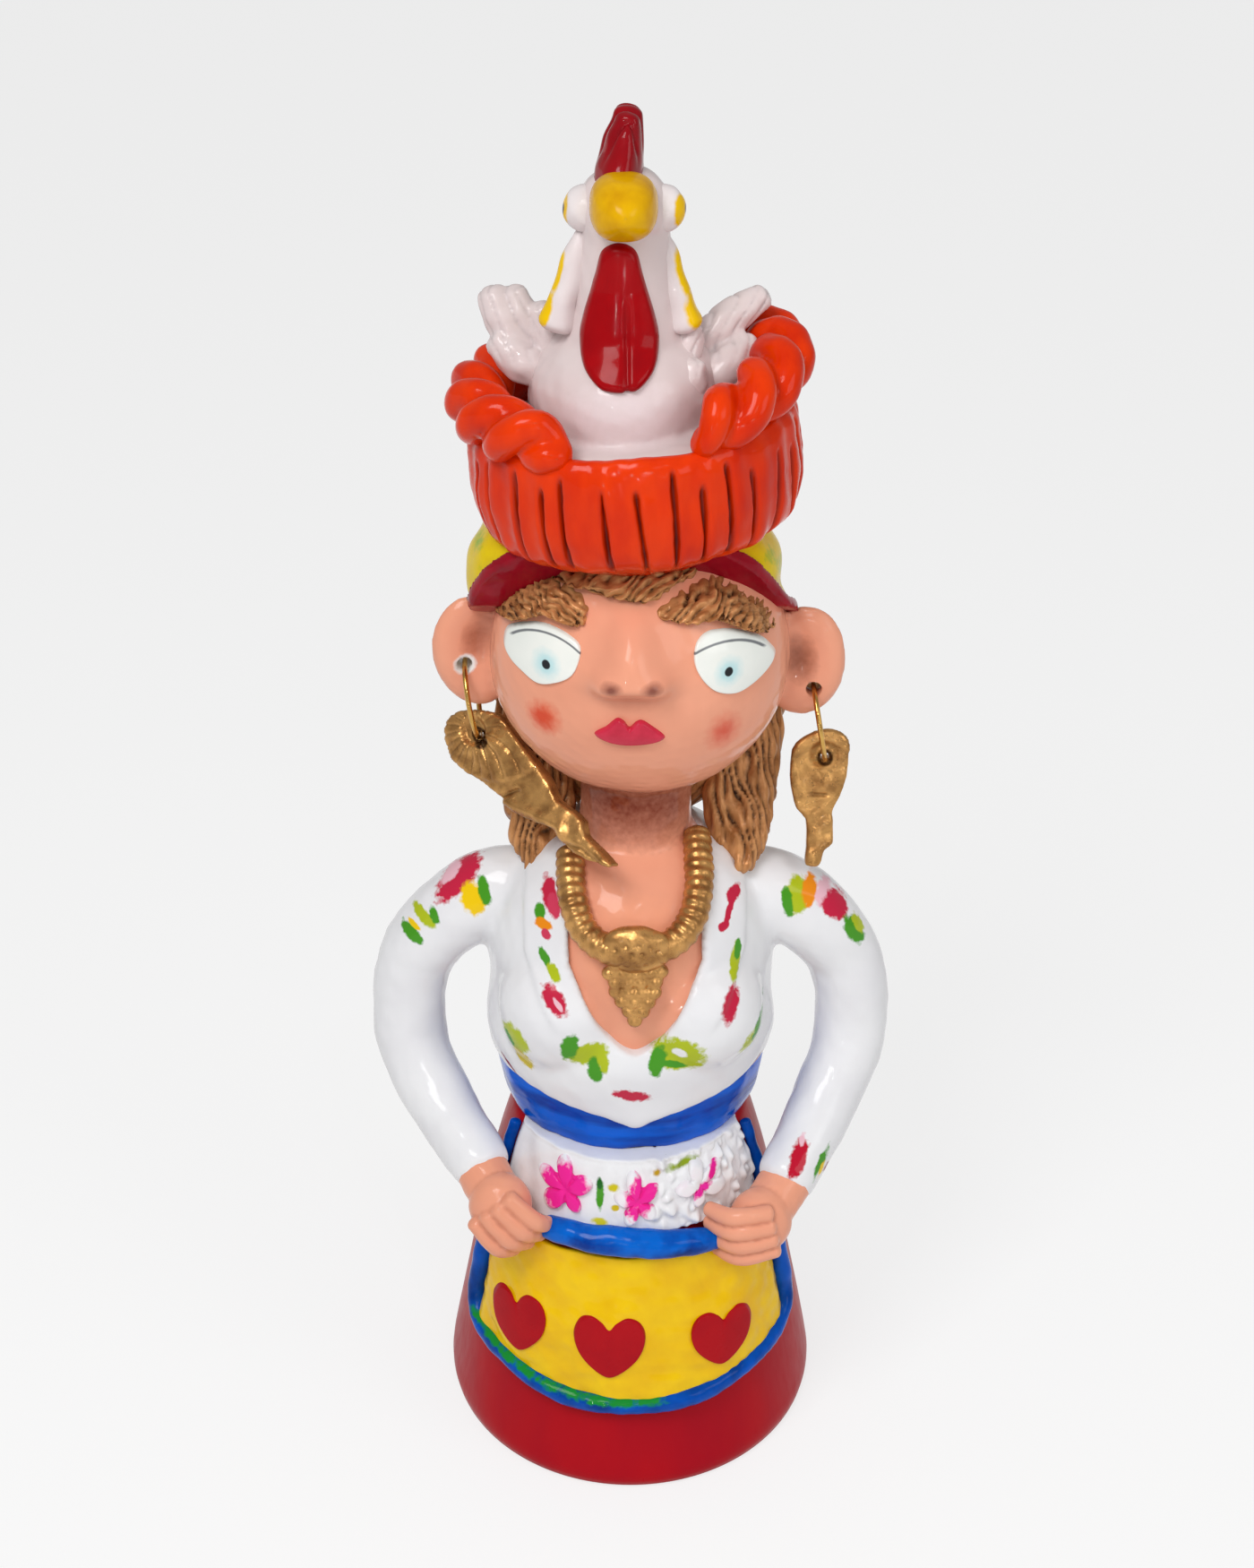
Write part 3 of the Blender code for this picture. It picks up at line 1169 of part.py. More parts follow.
def make_hen():
    """The hen that sits in the basket."""
    body = combine(hen_form("hen_body", 0.0), hen_seat("hen_body_seat"), "UNION")
    cut(body, basket_form("hen_body_basket", GAP))
    keep(body, "hen_white")
    eye_radii = (HEN_EYE_RADIUS,) * 3
    eye_out = HEN_HEAD_RADII.x - 0.42 * HEN_EYE_RADIUS
    beak_at = HEN_HEAD_CENTRE + Vector((-0.5 * MM, -HEN_HEAD_RADII.y - 0.8 * MM, 2.2 * MM))
    beak = ellipsoid("hen_beak", beak_at, HEN_BEAK_RADII, segments=16, rings=10)
    cut(beak, hen_form("hen_beak_seat", GAP))
    comb = plate("hen_comb", comb_outline(), -COMB_THICKNESS / 2, COMB_THICKNESS / 2)
    for vertex in comb.data.vertices:
        vertex.co.z *= 1 - COMB_TAPER * vertex.co.y / (HEN_HEAD_RADII.z + COMB_HEIGHT)
    comb.rotation_euler = (math.pi / 2, 0, math.pi / 2)
    comb.location = HEN_HEAD_CENTRE + Vector((0.8 * MM, 0, 0))
    cut(comb, hen_form("hen_comb_seat", GAP), ellipsoid("hen_comb_beak", beak_at, HEN_BEAK_RADII, GAP))
    keep(comb, "comb_red")
    for side, word in ((-1, "left"), (1, "right")):
        eye_at = HEN_HEAD_CENTRE + Vector((side * eye_out, -1.0 * MM, 0))
        eye = ellipsoid(f"hen_{word}_eye", eye_at, eye_radii, segments=14, rings=9)
        cut(eye, hen_form(f"hen_{word}_eye_seat", GAP))
        keep(eye, "hen_white")
        cut(beak, ellipsoid(f"hen_beak_{word}_eye", eye_at, eye_radii, GAP))
        lobe_out = side * (HEN_NECK_TOP_RADIUS + 2.0 * MM)
        lobe_at = HEN_NECK_AXIS + Vector((lobe_out, -1.0 * MM, 0.65 * HEN_NECK_HEIGHT))
        lobe = ellipsoid(f"hen_{word}_lobe", lobe_at, LOBE_RADII, turn=(0, -side * math.radians(10), 0))
        cut(lobe, hen_form(f"hen_{word}_lobe_seat", GAP))
        cut(lobe, ellipsoid(f"hen_{word}_lobe_eye", eye_at, eye_radii, GAP))
        keep(lobe, "hen_white")
        wing_at = HEN_BODY_CENTRE + Vector((side * (HEN_BODY_RADII.x + 0.6 * MM), 4.0 * MM, 7.0 * MM))
        wing = ellipsoid(f"hen_{word}_wing", wing_at, WING_RADII, turn=(0, side * WING_LEAN, 0))
        cut(wing, hen_form(f"hen_{word}_wing_body", GAP), basket_form(f"hen_{word}_wing_basket", GAP))
        cut(wing, rope_envelope(f"hen_{word}_wing_handle", side))
        keep(wing, "hen_white")
    keep(beak, "beak_yellow")
    top = HEN_HEAD_CENTRE.z - 3.0 * MM
    bottom = top - BIB_LENGTH
    half = BIB_WIDTH / 2
    rows = [(0.0, 0.0), (0.42, 0.06), (0.6, 0.22), (0.88, 0.5), (1.0, 0.72), (0.82, 0.9), (0.4, 0.99)]
    right = [(x * half, top + (bottom - top) * s) for x, s in rows]
    outline = [(HEN_NECK_AXIS.x + x, z) for x, z in right]
    outline += [(HEN_NECK_AXIS.x - x, z) for x, z in reversed(right[1:])]
    bib = relief("hen_bib", outline, hen_form, GAP, BIB_RELIEF)
    cut(bib, basket_form("hen_bib_basket", GAP))
    keep(bib, "comb_red")
    tail_at = HEN_BODY_CENTRE + Vector((0, HEN_BODY_RADII.y - 3.0 * MM, 0.75 * HEN_BODY_RADII.z))
    tail = ellipsoid("hen_tail", tail_at, TAIL_RADII, turn=(math.radians(-22), 0, 0))
    cut(tail, hen_form("hen_tail_body", GAP), basket_form("hen_tail_basket", GAP))
    keep(tail, "hen_white")


clear_scene()
PIECES = collection("clay_woman_figurine")
CUTTERS = collection("cutters")
BASKET_TILT = bpy.data.objects.new("basket_tilt", None)
CUTTERS.objects.link(BASKET_TILT)
BASKET_TILT.location = BASKET_BASE
BASKET_TILT.rotation_euler = (0, BASKET_ROLL, 0)
make_skirt()
make_apron()
make_apron_ornaments()
make_torso()
make_arms()
make_head()
make_ears()
make_earrings()
make_kerchief()
make_hair()
make_necklace()
make_basket()
make_hen()
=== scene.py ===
"""Looks of a painted clay figurine: a country woman who carries a hen in a basket on her head.

Every piece is hand-made clay under paint and varnish, and the earrings hang on bent wire.
Sizes in the classes are millimetres in the part's own frame: X to the viewer's right,
Y away from the viewer, Z up. Left and right are the viewer's.
"""

from __future__ import annotations

import json
import logging
import math
from dataclasses import dataclass
from enum import Enum
from typing import Callable, Optional, Sequence, TypeVar, Union

import bpy
import numpy as np
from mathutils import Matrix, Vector

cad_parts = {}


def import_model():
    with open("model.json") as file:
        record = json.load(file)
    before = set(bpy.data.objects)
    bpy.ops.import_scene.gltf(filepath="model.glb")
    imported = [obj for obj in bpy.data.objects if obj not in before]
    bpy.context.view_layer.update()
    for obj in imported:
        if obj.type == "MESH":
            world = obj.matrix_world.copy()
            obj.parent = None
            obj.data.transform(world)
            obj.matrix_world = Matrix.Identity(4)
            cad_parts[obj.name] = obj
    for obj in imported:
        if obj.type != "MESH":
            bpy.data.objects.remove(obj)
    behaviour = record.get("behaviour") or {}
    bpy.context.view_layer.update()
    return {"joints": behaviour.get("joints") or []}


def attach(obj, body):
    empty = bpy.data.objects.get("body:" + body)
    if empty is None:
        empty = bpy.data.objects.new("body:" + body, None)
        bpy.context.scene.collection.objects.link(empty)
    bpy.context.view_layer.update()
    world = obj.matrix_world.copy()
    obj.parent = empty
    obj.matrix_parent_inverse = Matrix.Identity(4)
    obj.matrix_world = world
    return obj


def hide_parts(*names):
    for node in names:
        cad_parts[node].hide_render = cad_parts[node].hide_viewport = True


LOG = logging.getLogger("figurine")
MM = 0.001
SEAM = 0.001
PIERCING = 16.0
PAINT_SHINE = 0.06
VARNISH_ROUGHNESS = 0.05
BRUSH_DEPTH = 0.35

Array = np.ndarray
Amount = Union[float, Array]
Piece = bpy.types.Object
Colour = tuple[float, float, float]
Point = tuple[float, float, float]
Flat = tuple[float, float]
Station = tuple[float, float, float, float]
Surface = Callable[[Array, Array, Amount], Array]
Placer = Callable[[Array, Array], Array]
Mover = Callable[[Array, Array], Array]
Kind = TypeVar("Kind")


class Side(Enum):
    """A side of the figure, as the viewer sees it."""

    LEFT = -1
    RIGHT = 1

    @property
    def word(self) -> str:
        """The side's name in lower case."""
        return self.name.lower()

    def of(self, pair: tuple[Kind, Kind]) -> Kind:
        """The left or the right one of a pair."""
        return pair[self is Side.RIGHT]


class Body(Enum):
    """The bodies of the part that pieces ride on."""

    FIGURE = "figure"
    LEFT_RING = "left_ring"
    LEFT_DROP = "left_drop"
    RIGHT_RING = "right_ring"
    RIGHT_DROP = "right_drop"


def ramp(low: float, high: float, value: Array) -> Array:
    """A smooth step of value from 0 at low to 1 at high."""
    share = np.clip((value - low) / (high - low), 0.0, 1.0)
    return share * share * (3.0 - 2.0 * share)


def uneven(points: Array, pitch: float, seed: int) -> Array:
    """Smooth unevenness of a hand-pressed surface.

    Args:
        points: places in millimetres.
        pitch: rough distance between swellings.
        seed: which of many surfaces.

    Returns:
        A number from about -1 to 1 at each place.
    """
    rng = np.random.default_rng(seed)
    total = np.zeros(len(points))
    for _ in range(7):
        way = rng.normal(size=3)
        way *= 2.0 * math.pi / pitch / np.linalg.norm(way) * rng.uniform(0.6, 1.4)
        total += np.sin(points @ way + rng.uniform(0.0, 2.0 * math.pi))
    return total / 3.5


def bell(value: Array) -> Array:
    """A smooth bump that is 1 at 0 and fades out past 1."""
    return np.exp(-(value**2))


def spline(points: Array, place: Array, closed: bool) -> Array:
    """A smooth curve through points.

    Args:
        points: the rows that the curve goes through.
        place: where on the curve, from 0 to 1.
        closed: whether the last point joins the first.

    Returns:
        A row for each place.
    """
    rows = np.asarray(points, float)
    count = len(rows)
    spans = count if closed else count - 1
    at = np.clip(place, 0.0, 1.0) * spans
    index = np.minimum(at.astype(int), spans - 1)
    share = (at - index)[:, None]

    def row(shift: int) -> Array:
        """The rows that lie shift places on."""
        moved = index + shift
        return rows[moved % count] if closed else rows[np.clip(moved, 0, count - 1)]

    before, here, after, beyond = row(-1), row(0), row(1), row(2)
    return 0.5 * (
        2 * here
        + (after - before) * share
        + (2 * before - 5 * here + 4 * after - beyond) * share**2
        + (3 * here - before - 3 * after + beyond) * share**3
    )


def by_length(profile: Sequence[Flat], place: Array) -> Array:
    """Points along a profile at even shares of its length.

    Args:
        profile: the profile's corners.
        place: shares from 0 to 1.

    Returns:
        A row for each share.
    """
    rows = np.asarray(profile, float)
    run = np.concatenate([[0.0], np.cumsum(np.linalg.norm(np.diff(rows, axis=0), axis=1))])
    return np.stack([np.interp(place * run[-1], run, column) for column in rows.T], axis=1)


class Clay:
    """Lumps, coils and slabs, put together with Blender's own tools. Sizes are millimetres."""

    @staticmethod
    def pick(obj: Piece) -> None:
        """Makes obj the one selected and active object, in object mode."""
        if bpy.context.object is not None and bpy.context.object.mode != "OBJECT":
            bpy.ops.object.mode_set(mode="OBJECT")
        bpy.ops.object.select_all(action="DESELECT")
        obj.hide_set(False)
        obj.select_set(True)
        bpy.context.view_layer.objects.active = obj

    @classmethod
    def edit(cls, obj: Piece) -> None:
        """Opens obj in edit mode with everything selected."""
        cls.pick(obj)
        bpy.ops.object.mode_set(mode="EDIT")
        bpy.ops.mesh.select_all(action="SELECT")

    @classmethod
    def close(cls, obj: Piece) -> Piece:
        """Merges what meets along seams and poles, turns every face outwards, and returns obj."""
        cls.edit(obj)
        bpy.ops.mesh.remove_doubles(threshold=SEAM * MM)
        bpy.ops.mesh.normals_make_consistent(inside=False)
        bpy.ops.object.mode_set(mode="OBJECT")
        return obj

    @staticmethod
    def fix() -> Piece:
        """Applies the active object's place, turn and scale to its mesh, and returns it."""
        bpy.ops.object.transform_apply(location=True, rotation=True, scale=True)
        return bpy.context.object

    @classmethod
    def ball(
        cls, centre: Sequence[float], radii: Sequence[float], turn: Point = (0, 0, 0), fine: int = 48
    ) -> Piece:
        """A pressed ball of clay.

        Args:
            centre: its middle.
            radii: half its size along each axis.
            turn: how it is turned, in degrees.
            fine: segments round it.

        Returns:
            The ball.
        """
        bpy.ops.mesh.primitive_uv_sphere_add(
            segments=fine,
            ring_count=max(fine * 2 // 3, 8),
            radius=1.0,
            location=[c * MM for c in centre],
            rotation=[math.radians(a) for a in turn],
            scale=[r * MM for r in radii],
        )
        return cls.fix()

    @classmethod
    def rod(cls, centre: Point, radius: float, length: float, turn: Point = (90, 0, 0)) -> Piece:
        """A plain rod, for piercing.

        Args:
            centre: its middle.
            radius: half its thickness.
            length: how long it is.
            turn: how it is turned from upright, in degrees.

        Returns:
            The rod.
        """
        bpy.ops.mesh.primitive_cylinder_add(
            vertices=40,
            radius=radius * MM,
            depth=length * MM,
            location=[c * MM for c in centre],
            rotation=[math.radians(a) for a in turn],
        )
        return cls.fix()

    @classmethod
    def prism(cls, outline: Sequence[Flat], near: float, far: float) -> Piece:
        """A slab of one outline seen from the front.

        Args:
            outline: its corners as (x, z).
            near: its front, along Y.
            far: its back.

        Returns:
            The slab.
        """
        bpy.ops.mesh.primitive_circle_add(vertices=len(outline), radius=1.0, fill_type="NGON")
        obj = bpy.context.object
        for vertex, (x, z) in zip(obj.data.vertices, outline):
            vertex.co = Vector((x, near, z)) * MM
        cls.edit(obj)
        bpy.ops.mesh.extrude_region_move(TRANSFORM_OT_translate={"value": (0, (far - near) * MM, 0)})
        bpy.ops.object.mode_set(mode="OBJECT")
        return cls.close(obj)

    @classmethod
    def sheet(cls, columns: int, rows: int, place: Placer) -> Piece:
        """A rolled sheet that is laid or wrapped into shape.

        Args:
            columns: how finely it is divided one way.
            rows: how finely it is divided the other way.
            place: gives the points for shares of the way across and along.

        Returns:
            The shaped sheet, its seams and poles closed.
        """
        bpy.ops.mesh.primitive_grid_add(x_subdivisions=columns, y_subdivisions=rows, size=1.0)
        obj = bpy.context.object
        flat = cls.points(obj) * MM + 0.5
        cls.put(obj, place(flat[:, 0], flat[:, 1]))
        return cls.close(obj)

    @classmethod
    def work(cls, obj: Piece, kind: str, **settings: object) -> Piece:
        """Applies one modifier to a piece.

        Args:
            obj: the piece.
            kind: the modifier's type.
            settings: its own settings.

        Returns:
            The piece.
        """
        cls.pick(obj)
        modifier = obj.modifiers.new(kind, kind)
        for key, value in settings.items():
            setattr(modifier, key, value)
        bpy.ops.object.modifier_apply(modifier=kind)
        return obj

    @classmethod
    def wall(cls, obj: Piece, thickness: float) -> Piece:
        """Thickens a laid sheet inwards to a slab, and returns it."""
        return cls.work(obj, "SOLIDIFY", thickness=thickness * MM, offset=-1.0)

    @classmethod
    def coil(cls, stations: Sequence[Station], sides: int, rows: int, rib: Flat = (0, 1)) -> Piece:
        """A rolled coil of clay with rounded ends.

        Args:
            stations: (x, y, z, radius) down its middle.
            sides: how finely it is divided round.
            rows: how finely it is divided along.
            rib: depth of ribs as a share of the radius, and their pitch.

        Returns:
            The coil.
        """
        fine = np.linspace(0.0, 1.0, 400)
        path = spline(np.asarray(stations), fine, closed=False)
        tangent = np.gradient(path[:, :3], axis=0)
        tangent /= np.linalg.norm(tangent, axis=1)[:, None]
        run = np.concatenate([[0.0], np.cumsum(np.linalg.norm(np.diff(path[:, :3], axis=0), axis=1))])
        side = np.zeros((len(fine), 3))
        start = np.cross(tangent[0], (0.0, 0.0, 1.0))
        if np.linalg.norm(start) < 0.1:
            start = np.cross(tangent[0], (1.0, 0.0, 0.0))
        side[0] = start / np.linalg.norm(start)
        for i in range(1, len(fine)):
            turned = side[i - 1] - tangent[i] * (side[i - 1] @ tangent[i])
            side[i] = turned / np.linalg.norm(turned)
        other = np.cross(tangent, side)
        cap = 8.0 / rows

        def place(u: Array, v: Array) -> Array:
            """Points round the path, closed by a half ball at either end."""
            share = np.clip((v - cap) / (1.0 - 2.0 * cap), 0.0, 1.0)
            at = share * run[-1]

            def read(table: Array) -> Array:
                """A table of the path at each place along it."""
                return np.stack([np.interp(at, run, column) for column in table.T], axis=1)

            line, way, out, up = read(path), read(tangent), read(side), read(other)
            radius = line[:, 3] * (1.0 + rib[0] * np.cos(2.0 * math.pi * at / rib[1]))
            begin = np.clip(v / cap, 0.0, 1.0) * math.pi / 2
            end = np.clip((1.0 - v) / cap, 0.0, 1.0) * math.pi / 2
            wide = radius * np.sin(begin) * np.sin(end)
            push = radius * 0.6 * (np.cos(end) - np.cos(begin))
            angle = 2.0 * math.pi * u
            ring = out * np.cos(angle)[:, None] + up * np.sin(angle)[:, None]
            return line[:, :3] + way * push[:, None] + ring * wide[:, None]

        return cls.sheet(sides, rows, place)

    @classmethod
    def pillow(
        cls,
        outline: Sequence[Flat],
        surface: Surface,
        height: float,
        base: float = 0.0,
        sunk: float = 0.6,
        dome: float = 0.25,
        edge: float = 0.08,
    ) -> Piece:
        """A flat lump pressed on a surface, with rounded edges.

        Args:
            outline: points round it as (x, z).
            surface: gives y for x, z and lift.
            height: how far it stands up.
            base: lift of what it is pressed on.
            sunk: how deep its rim is pressed in.
            dome: extra height of the middle, as a share of height.
            edge: width of the rounded edge, as a share of the way to the middle.

        Returns:
            The lump.
        """
        middle = np.asarray(outline, float).mean(axis=0)

        def place(u: Array, v: Array) -> Array:
            """Points on rings from the rim to the middle."""
            rim = spline(np.asarray(outline), u, closed=True)
            up = np.clip(v / 0.3, 0.0, 1.0)
            rounded = 1.0 - edge * (1.0 - np.cos(up * math.pi / 2))
            share = np.where(v < 0.3, rounded, (1.0 - edge) * (1.0 - v) / 0.7)
            lift = base - sunk + (height + sunk) * np.sin(up * math.pi / 2)
            lift = lift + np.where(v < 0.3, 0.0, height * dome * (1.0 - share**2))
            flat = middle + (rim - middle) * share[:, None]
            return np.stack([flat[:, 0], surface(flat[:, 0], flat[:, 1], lift), flat[:, 1]], axis=1)

        return cls.sheet(120, 36, place)

    @classmethod
    def knead(cls, lumps: Sequence[Piece], grain: float, rounds: int) -> Piece:
        """Works lumps into one piece and smooths it like a wet finger.

        Args:
            lumps: what is worked together, each overlapping the next.
            grain: size of the finest detail that is kept.
            rounds: how much it is smoothed.

        Returns:
            The first lump, with the others in it.
        """
        cls.pick(lumps[0])
        for lump in lumps:
            lump.select_set(True)
        bpy.ops.object.join()
        obj = cls.work(bpy.context.object, "REMESH", mode="VOXEL", voxel_size=grain * MM)
        return cls.work(obj, "SMOOTH", factor=0.5, iterations=rounds)

    @classmethod
    def trim(cls, obj: Piece, cutter: Piece) -> Piece:
        """Cuts cutter's shape out of obj, removes cutter, and returns obj."""
        cls.work(obj, "BOOLEAN", object=cutter, operation="DIFFERENCE", solver="EXACT")
        bpy.data.objects.remove(cutter)
        return obj

    @classmethod
    def slice(cls, obj: Piece, point: Point, normal: Point) -> Piece:
        """Cuts obj with a wire and keeps what lies behind.

        Args:
            obj: the piece.
            point: a point on the cut.
            normal: the way of what is taken off.

        Returns:
            The piece.
        """
        cls.edit(obj)
        bpy.ops.mesh.bisect(
            plane_co=[c * MM for c in point], plane_no=normal, use_fill=True, clear_outer=True, threshold=1e-7
        )
        bpy.ops.object.mode_set(mode="OBJECT")
        return obj

    @classmethod
    def cast(cls, node: str) -> Piece:
        """A copy of a solid of the part, as one closed mesh."""
        source = bpy.data.objects[node]
        obj = bpy.data.objects.new(f"{node}_cast", source.data.copy())
        bpy.context.scene.collection.objects.link(obj)
        obj.data.materials.clear()
        return cls.close(obj)

    @staticmethod
    def points(obj: Piece) -> Array:
        """The places of obj's vertices, a row each."""
        flat = np.empty(len(obj.data.vertices) * 3)
        obj.data.vertices.foreach_get("co", flat)
        return flat.reshape(-1, 3) / MM

    @staticmethod
    def put(obj: Piece, points: Array) -> None:
        """Moves obj's vertices to points."""
        obj.data.vertices.foreach_set("co", (points * MM).ravel())
        obj.data.update()

    @staticmethod
    def normals(obj: Piece) -> Array:
        """The way each of obj's vertices faces."""
        flat = np.empty(len(obj.data.vertices) * 3)
        obj.data.vertex_normals.foreach_get("vector", flat)
        return flat.reshape(-1, 3)

    @classmethod
    def sculpt(cls, obj: Piece, depth: Mover) -> Piece:
        """Presses obj's surface in or out.

        Args:
            obj: the piece.
            depth: gives how far out each point goes, from its place and the way it faces.

        Returns:
            The piece.
        """
        points, normals = cls.points(obj), cls.normals(obj)
        cls.put(obj, points + normals * depth(points, normals)[:, None])
        return obj

    @classmethod
    def dimple(cls, obj: Piece, *marks: tuple[float, float, int]) -> Piece:
        """Leaves the hand's marks on obj, each a depth, a pitch and a seed, and returns it."""
        return cls.sculpt(obj, lambda p, n: sum(depth * uneven(p, *mark) for depth, *mark in marks))

    @classmethod
    def mark(
        cls,
        obj: Piece,
        values: Optional[Array] = None,
        gain: float = 6.0,
        extra_shade: Amount = 0.0,
    ) -> Piece:
        """Keeps how hollow the surface is at each point, for the shade that is painted into the hollows.

        Args:
            obj: the piece.
            values: the numbers to keep, or None to measure them.
            gain: how strongly a measured hollow counts.
            extra_shade: painted shade added on top of the measured hollows.

        Returns:
            The piece.
        """
        if values is None:
            points, normals = cls.points(obj), cls.normals(obj)
            ends = np.empty(len(obj.data.edges) * 2, int)
            obj.data.edges.foreach_get("vertices", ends)
            ends = ends.reshape(-1, 2)
            count = np.bincount(ends.ravel(), minlength=len(points)) + 1e-9

            def around(rows: Array) -> Array:
                """The mean of each point's neighbours."""
                total = np.zeros_like(rows)
                np.add.at(total, ends[:, 0], rows[ends[:, 1]])
                np.add.at(total, ends[:, 1], rows[ends[:, 0]])
                return (total.T / count).T

            values = np.einsum("ij,ij->i", around(points) - points, normals) * gain
            for _ in range(2):
                values = 0.5 * values + 0.5 * around(values)
        layer = obj.data.attributes.get("hollow") or obj.data.attributes.new("hollow", "FLOAT", "POINT")
        layer.data.foreach_set("value", np.clip(values + extra_shade, 0.0, 1.0).astype(np.float32))
        return obj


class Wire:
    """A shader socket that plain arithmetic can be done with."""

    def __init__(self, board: "Board", socket: bpy.types.NodeSocket) -> None:
        """Keeps the socket and the board that it is on."""
        self.board = board
        self.socket = socket

    def _math(self, operation: str, other: "Wire | float", swapped: bool = False) -> "Wire":
        """The result of a Math node on this value and another, or the other way round if swapped."""
        pair = (other, self) if swapped else (self, other)
        return self.board.node("ShaderNodeMath", {"operation": operation}, {0: pair[0], 1: pair[1]})

    def __add__(self, other: "Wire | float") -> "Wire":
        """The sum."""
        return self._math("ADD", other)

    __radd__ = __add__

    def __sub__(self, other: "Wire | float") -> "Wire":
        """The difference."""
        return self._math("SUBTRACT", other)

    def __rsub__(self, other: float) -> "Wire":
        """The difference, the other way round."""
        return self._math("SUBTRACT", other, swapped=True)

    def __mul__(self, other: "Wire | float") -> "Wire":
        """The product."""
        return self._math("MULTIPLY", other)

    __rmul__ = __mul__

    def __truediv__(self, other: "Wire | float") -> "Wire":
        """The quotient."""
        return self._math("DIVIDE", other)

    def __abs__(self) -> "Wire":
        """The size without the sign."""
        return self._math("ABSOLUTE", 0.0)

    def clamp(self) -> "Wire":
        """The value held between 0 and 1."""
        return self.board.node("ShaderNodeClamp", {}, {"Value": self})


class Board:
    """The node tree of one material."""

    def __init__(self, name: str) -> None:
        """Starts a material with a surface shader and its output."""
        self.material = bpy.data.materials.new(name)
        self.material.use_nodes = True
        self.tree = self.material.node_tree
        self.tree.nodes.clear()
        self.surface = self.tree.nodes.new("ShaderNodeBsdfPrincipled")
        output = self.tree.nodes.new("ShaderNodeOutputMaterial")
        self.tree.links.new(self.surface.outputs[0], output.inputs["Surface"])
        self.place = self.node("ShaderNodeTexCoord", {}, {}, "Object")

    def node(self, kind: str, settings: dict, sockets: dict, output: int | str = 0) -> Wire:
        """Adds a node.

        Args:
            kind: its type.
            settings: its own settings, which are set first.
            sockets: values or links of its inputs.
            output: the output that is wanted.

        Returns:
            That output.
        """
        made = self.tree.nodes.new(kind)
        for key, value in settings.items():
            setattr(made, key, value)
        for key, value in sockets.items():
            if isinstance(value, Wire):
                self.tree.links.new(value.socket, made.inputs[key])
            else:
                made.inputs[key].default_value = value
        return Wire(self, made.outputs[output])

    def feed(self, socket: str, value: Wire | float | Colour) -> None:
        """Sets or links an input of the surface shader."""
        if isinstance(value, Wire):
            self.tree.links.new(value.socket, self.surface.inputs[socket])
        else:
            self.surface.inputs[socket].default_value = value

    @staticmethod
    def colour(value: Colour) -> tuple[float, float, float, float]:
        """A written colour of 0 to 255 as the linear one that shaders use."""
        shares = [c / 255 for c in value]
        return (*[s / 12.92 if s <= 0.04045 else ((s + 0.055) / 1.055) ** 2.4 for s in shares], 1.0)

    def mix(self, factor: Wire | float, first: Wire | Colour, second: Wire | Colour) -> Wire:
        """Two colours mixed, with factor as the share of the second."""
        pair = [c if isinstance(c, Wire) else self.colour(c) for c in (first, second)]
        return self.node("ShaderNodeMix", {"data_type": "RGBA"}, {0: factor, 6: pair[0], 7: pair[1]}, 2)

    def noise(
        self, pitch: float, detail: float = 3.0, stretch: Point = (1, 1, 1), turn: Point = (0, 0, 0)
    ) -> Wire:
        """Cloudy noise.

        Args:
            pitch: distance between its clouds.
            detail: how fine it goes.
            stretch: how far it is drawn out along each axis.
            turn: how that is turned, in degrees.

        Returns:
            A value about 0.5.
        """
        moved = self.node(
            "ShaderNodeMapping",
            {"vector_type": "TEXTURE"},
            {"Vector": self.place, "Rotation": [math.radians(a) for a in turn], "Scale": stretch},
        )
        sockets = {"Vector": moved, "Scale": 1.0 / (pitch * MM), "Detail": detail}
        return self.node("ShaderNodeTexNoise", {}, sockets)


@dataclass(frozen=True)
class Daub:
    """One touch of a brush, as an oval in space with a ragged edge."""

    colour: Colour
    centre: Point
    radii: Point
    lean: float = 0.0
    ragged: float = 0.9
    soft: float = 0.25
    strength: float = 1.0
    line: float = 0.0
    above: float = -1.0

    def cover(self, board: Board, edge: Wire) -> Wire:
        """How much the daub covers.

        Args:
            board: the material's board.
            edge: noise that frays the edge.

        Returns:
            A value from 0 to 1.
        """
        moved = board.node(
            "ShaderNodeMapping",
            {"vector_type": "TEXTURE"},
            {
                "Vector": board.place,
                "Location": [c * MM for c in self.centre],
                "Rotation": (0.0, math.radians(self.lean), 0.0),
                "Scale": [r * MM for r in self.radii],
            },
        )
        reach = board.node("ShaderNodeVectorMath", {"operation": "LENGTH"}, {0: moved}, "Value")
        if self.line:
            reach = abs(reach - 1.0) / self.line
        cover = ((1.0 - reach + (edge - 0.5) * self.ragged) / self.soft).clamp()
        if self.above > 0:
            height = board.node("ShaderNodeSeparateXYZ", {}, {0: board.place}, "Z")
            cover = cover * ((height / MM - self.above) / 0.5).clamp()
        return cover * self.strength


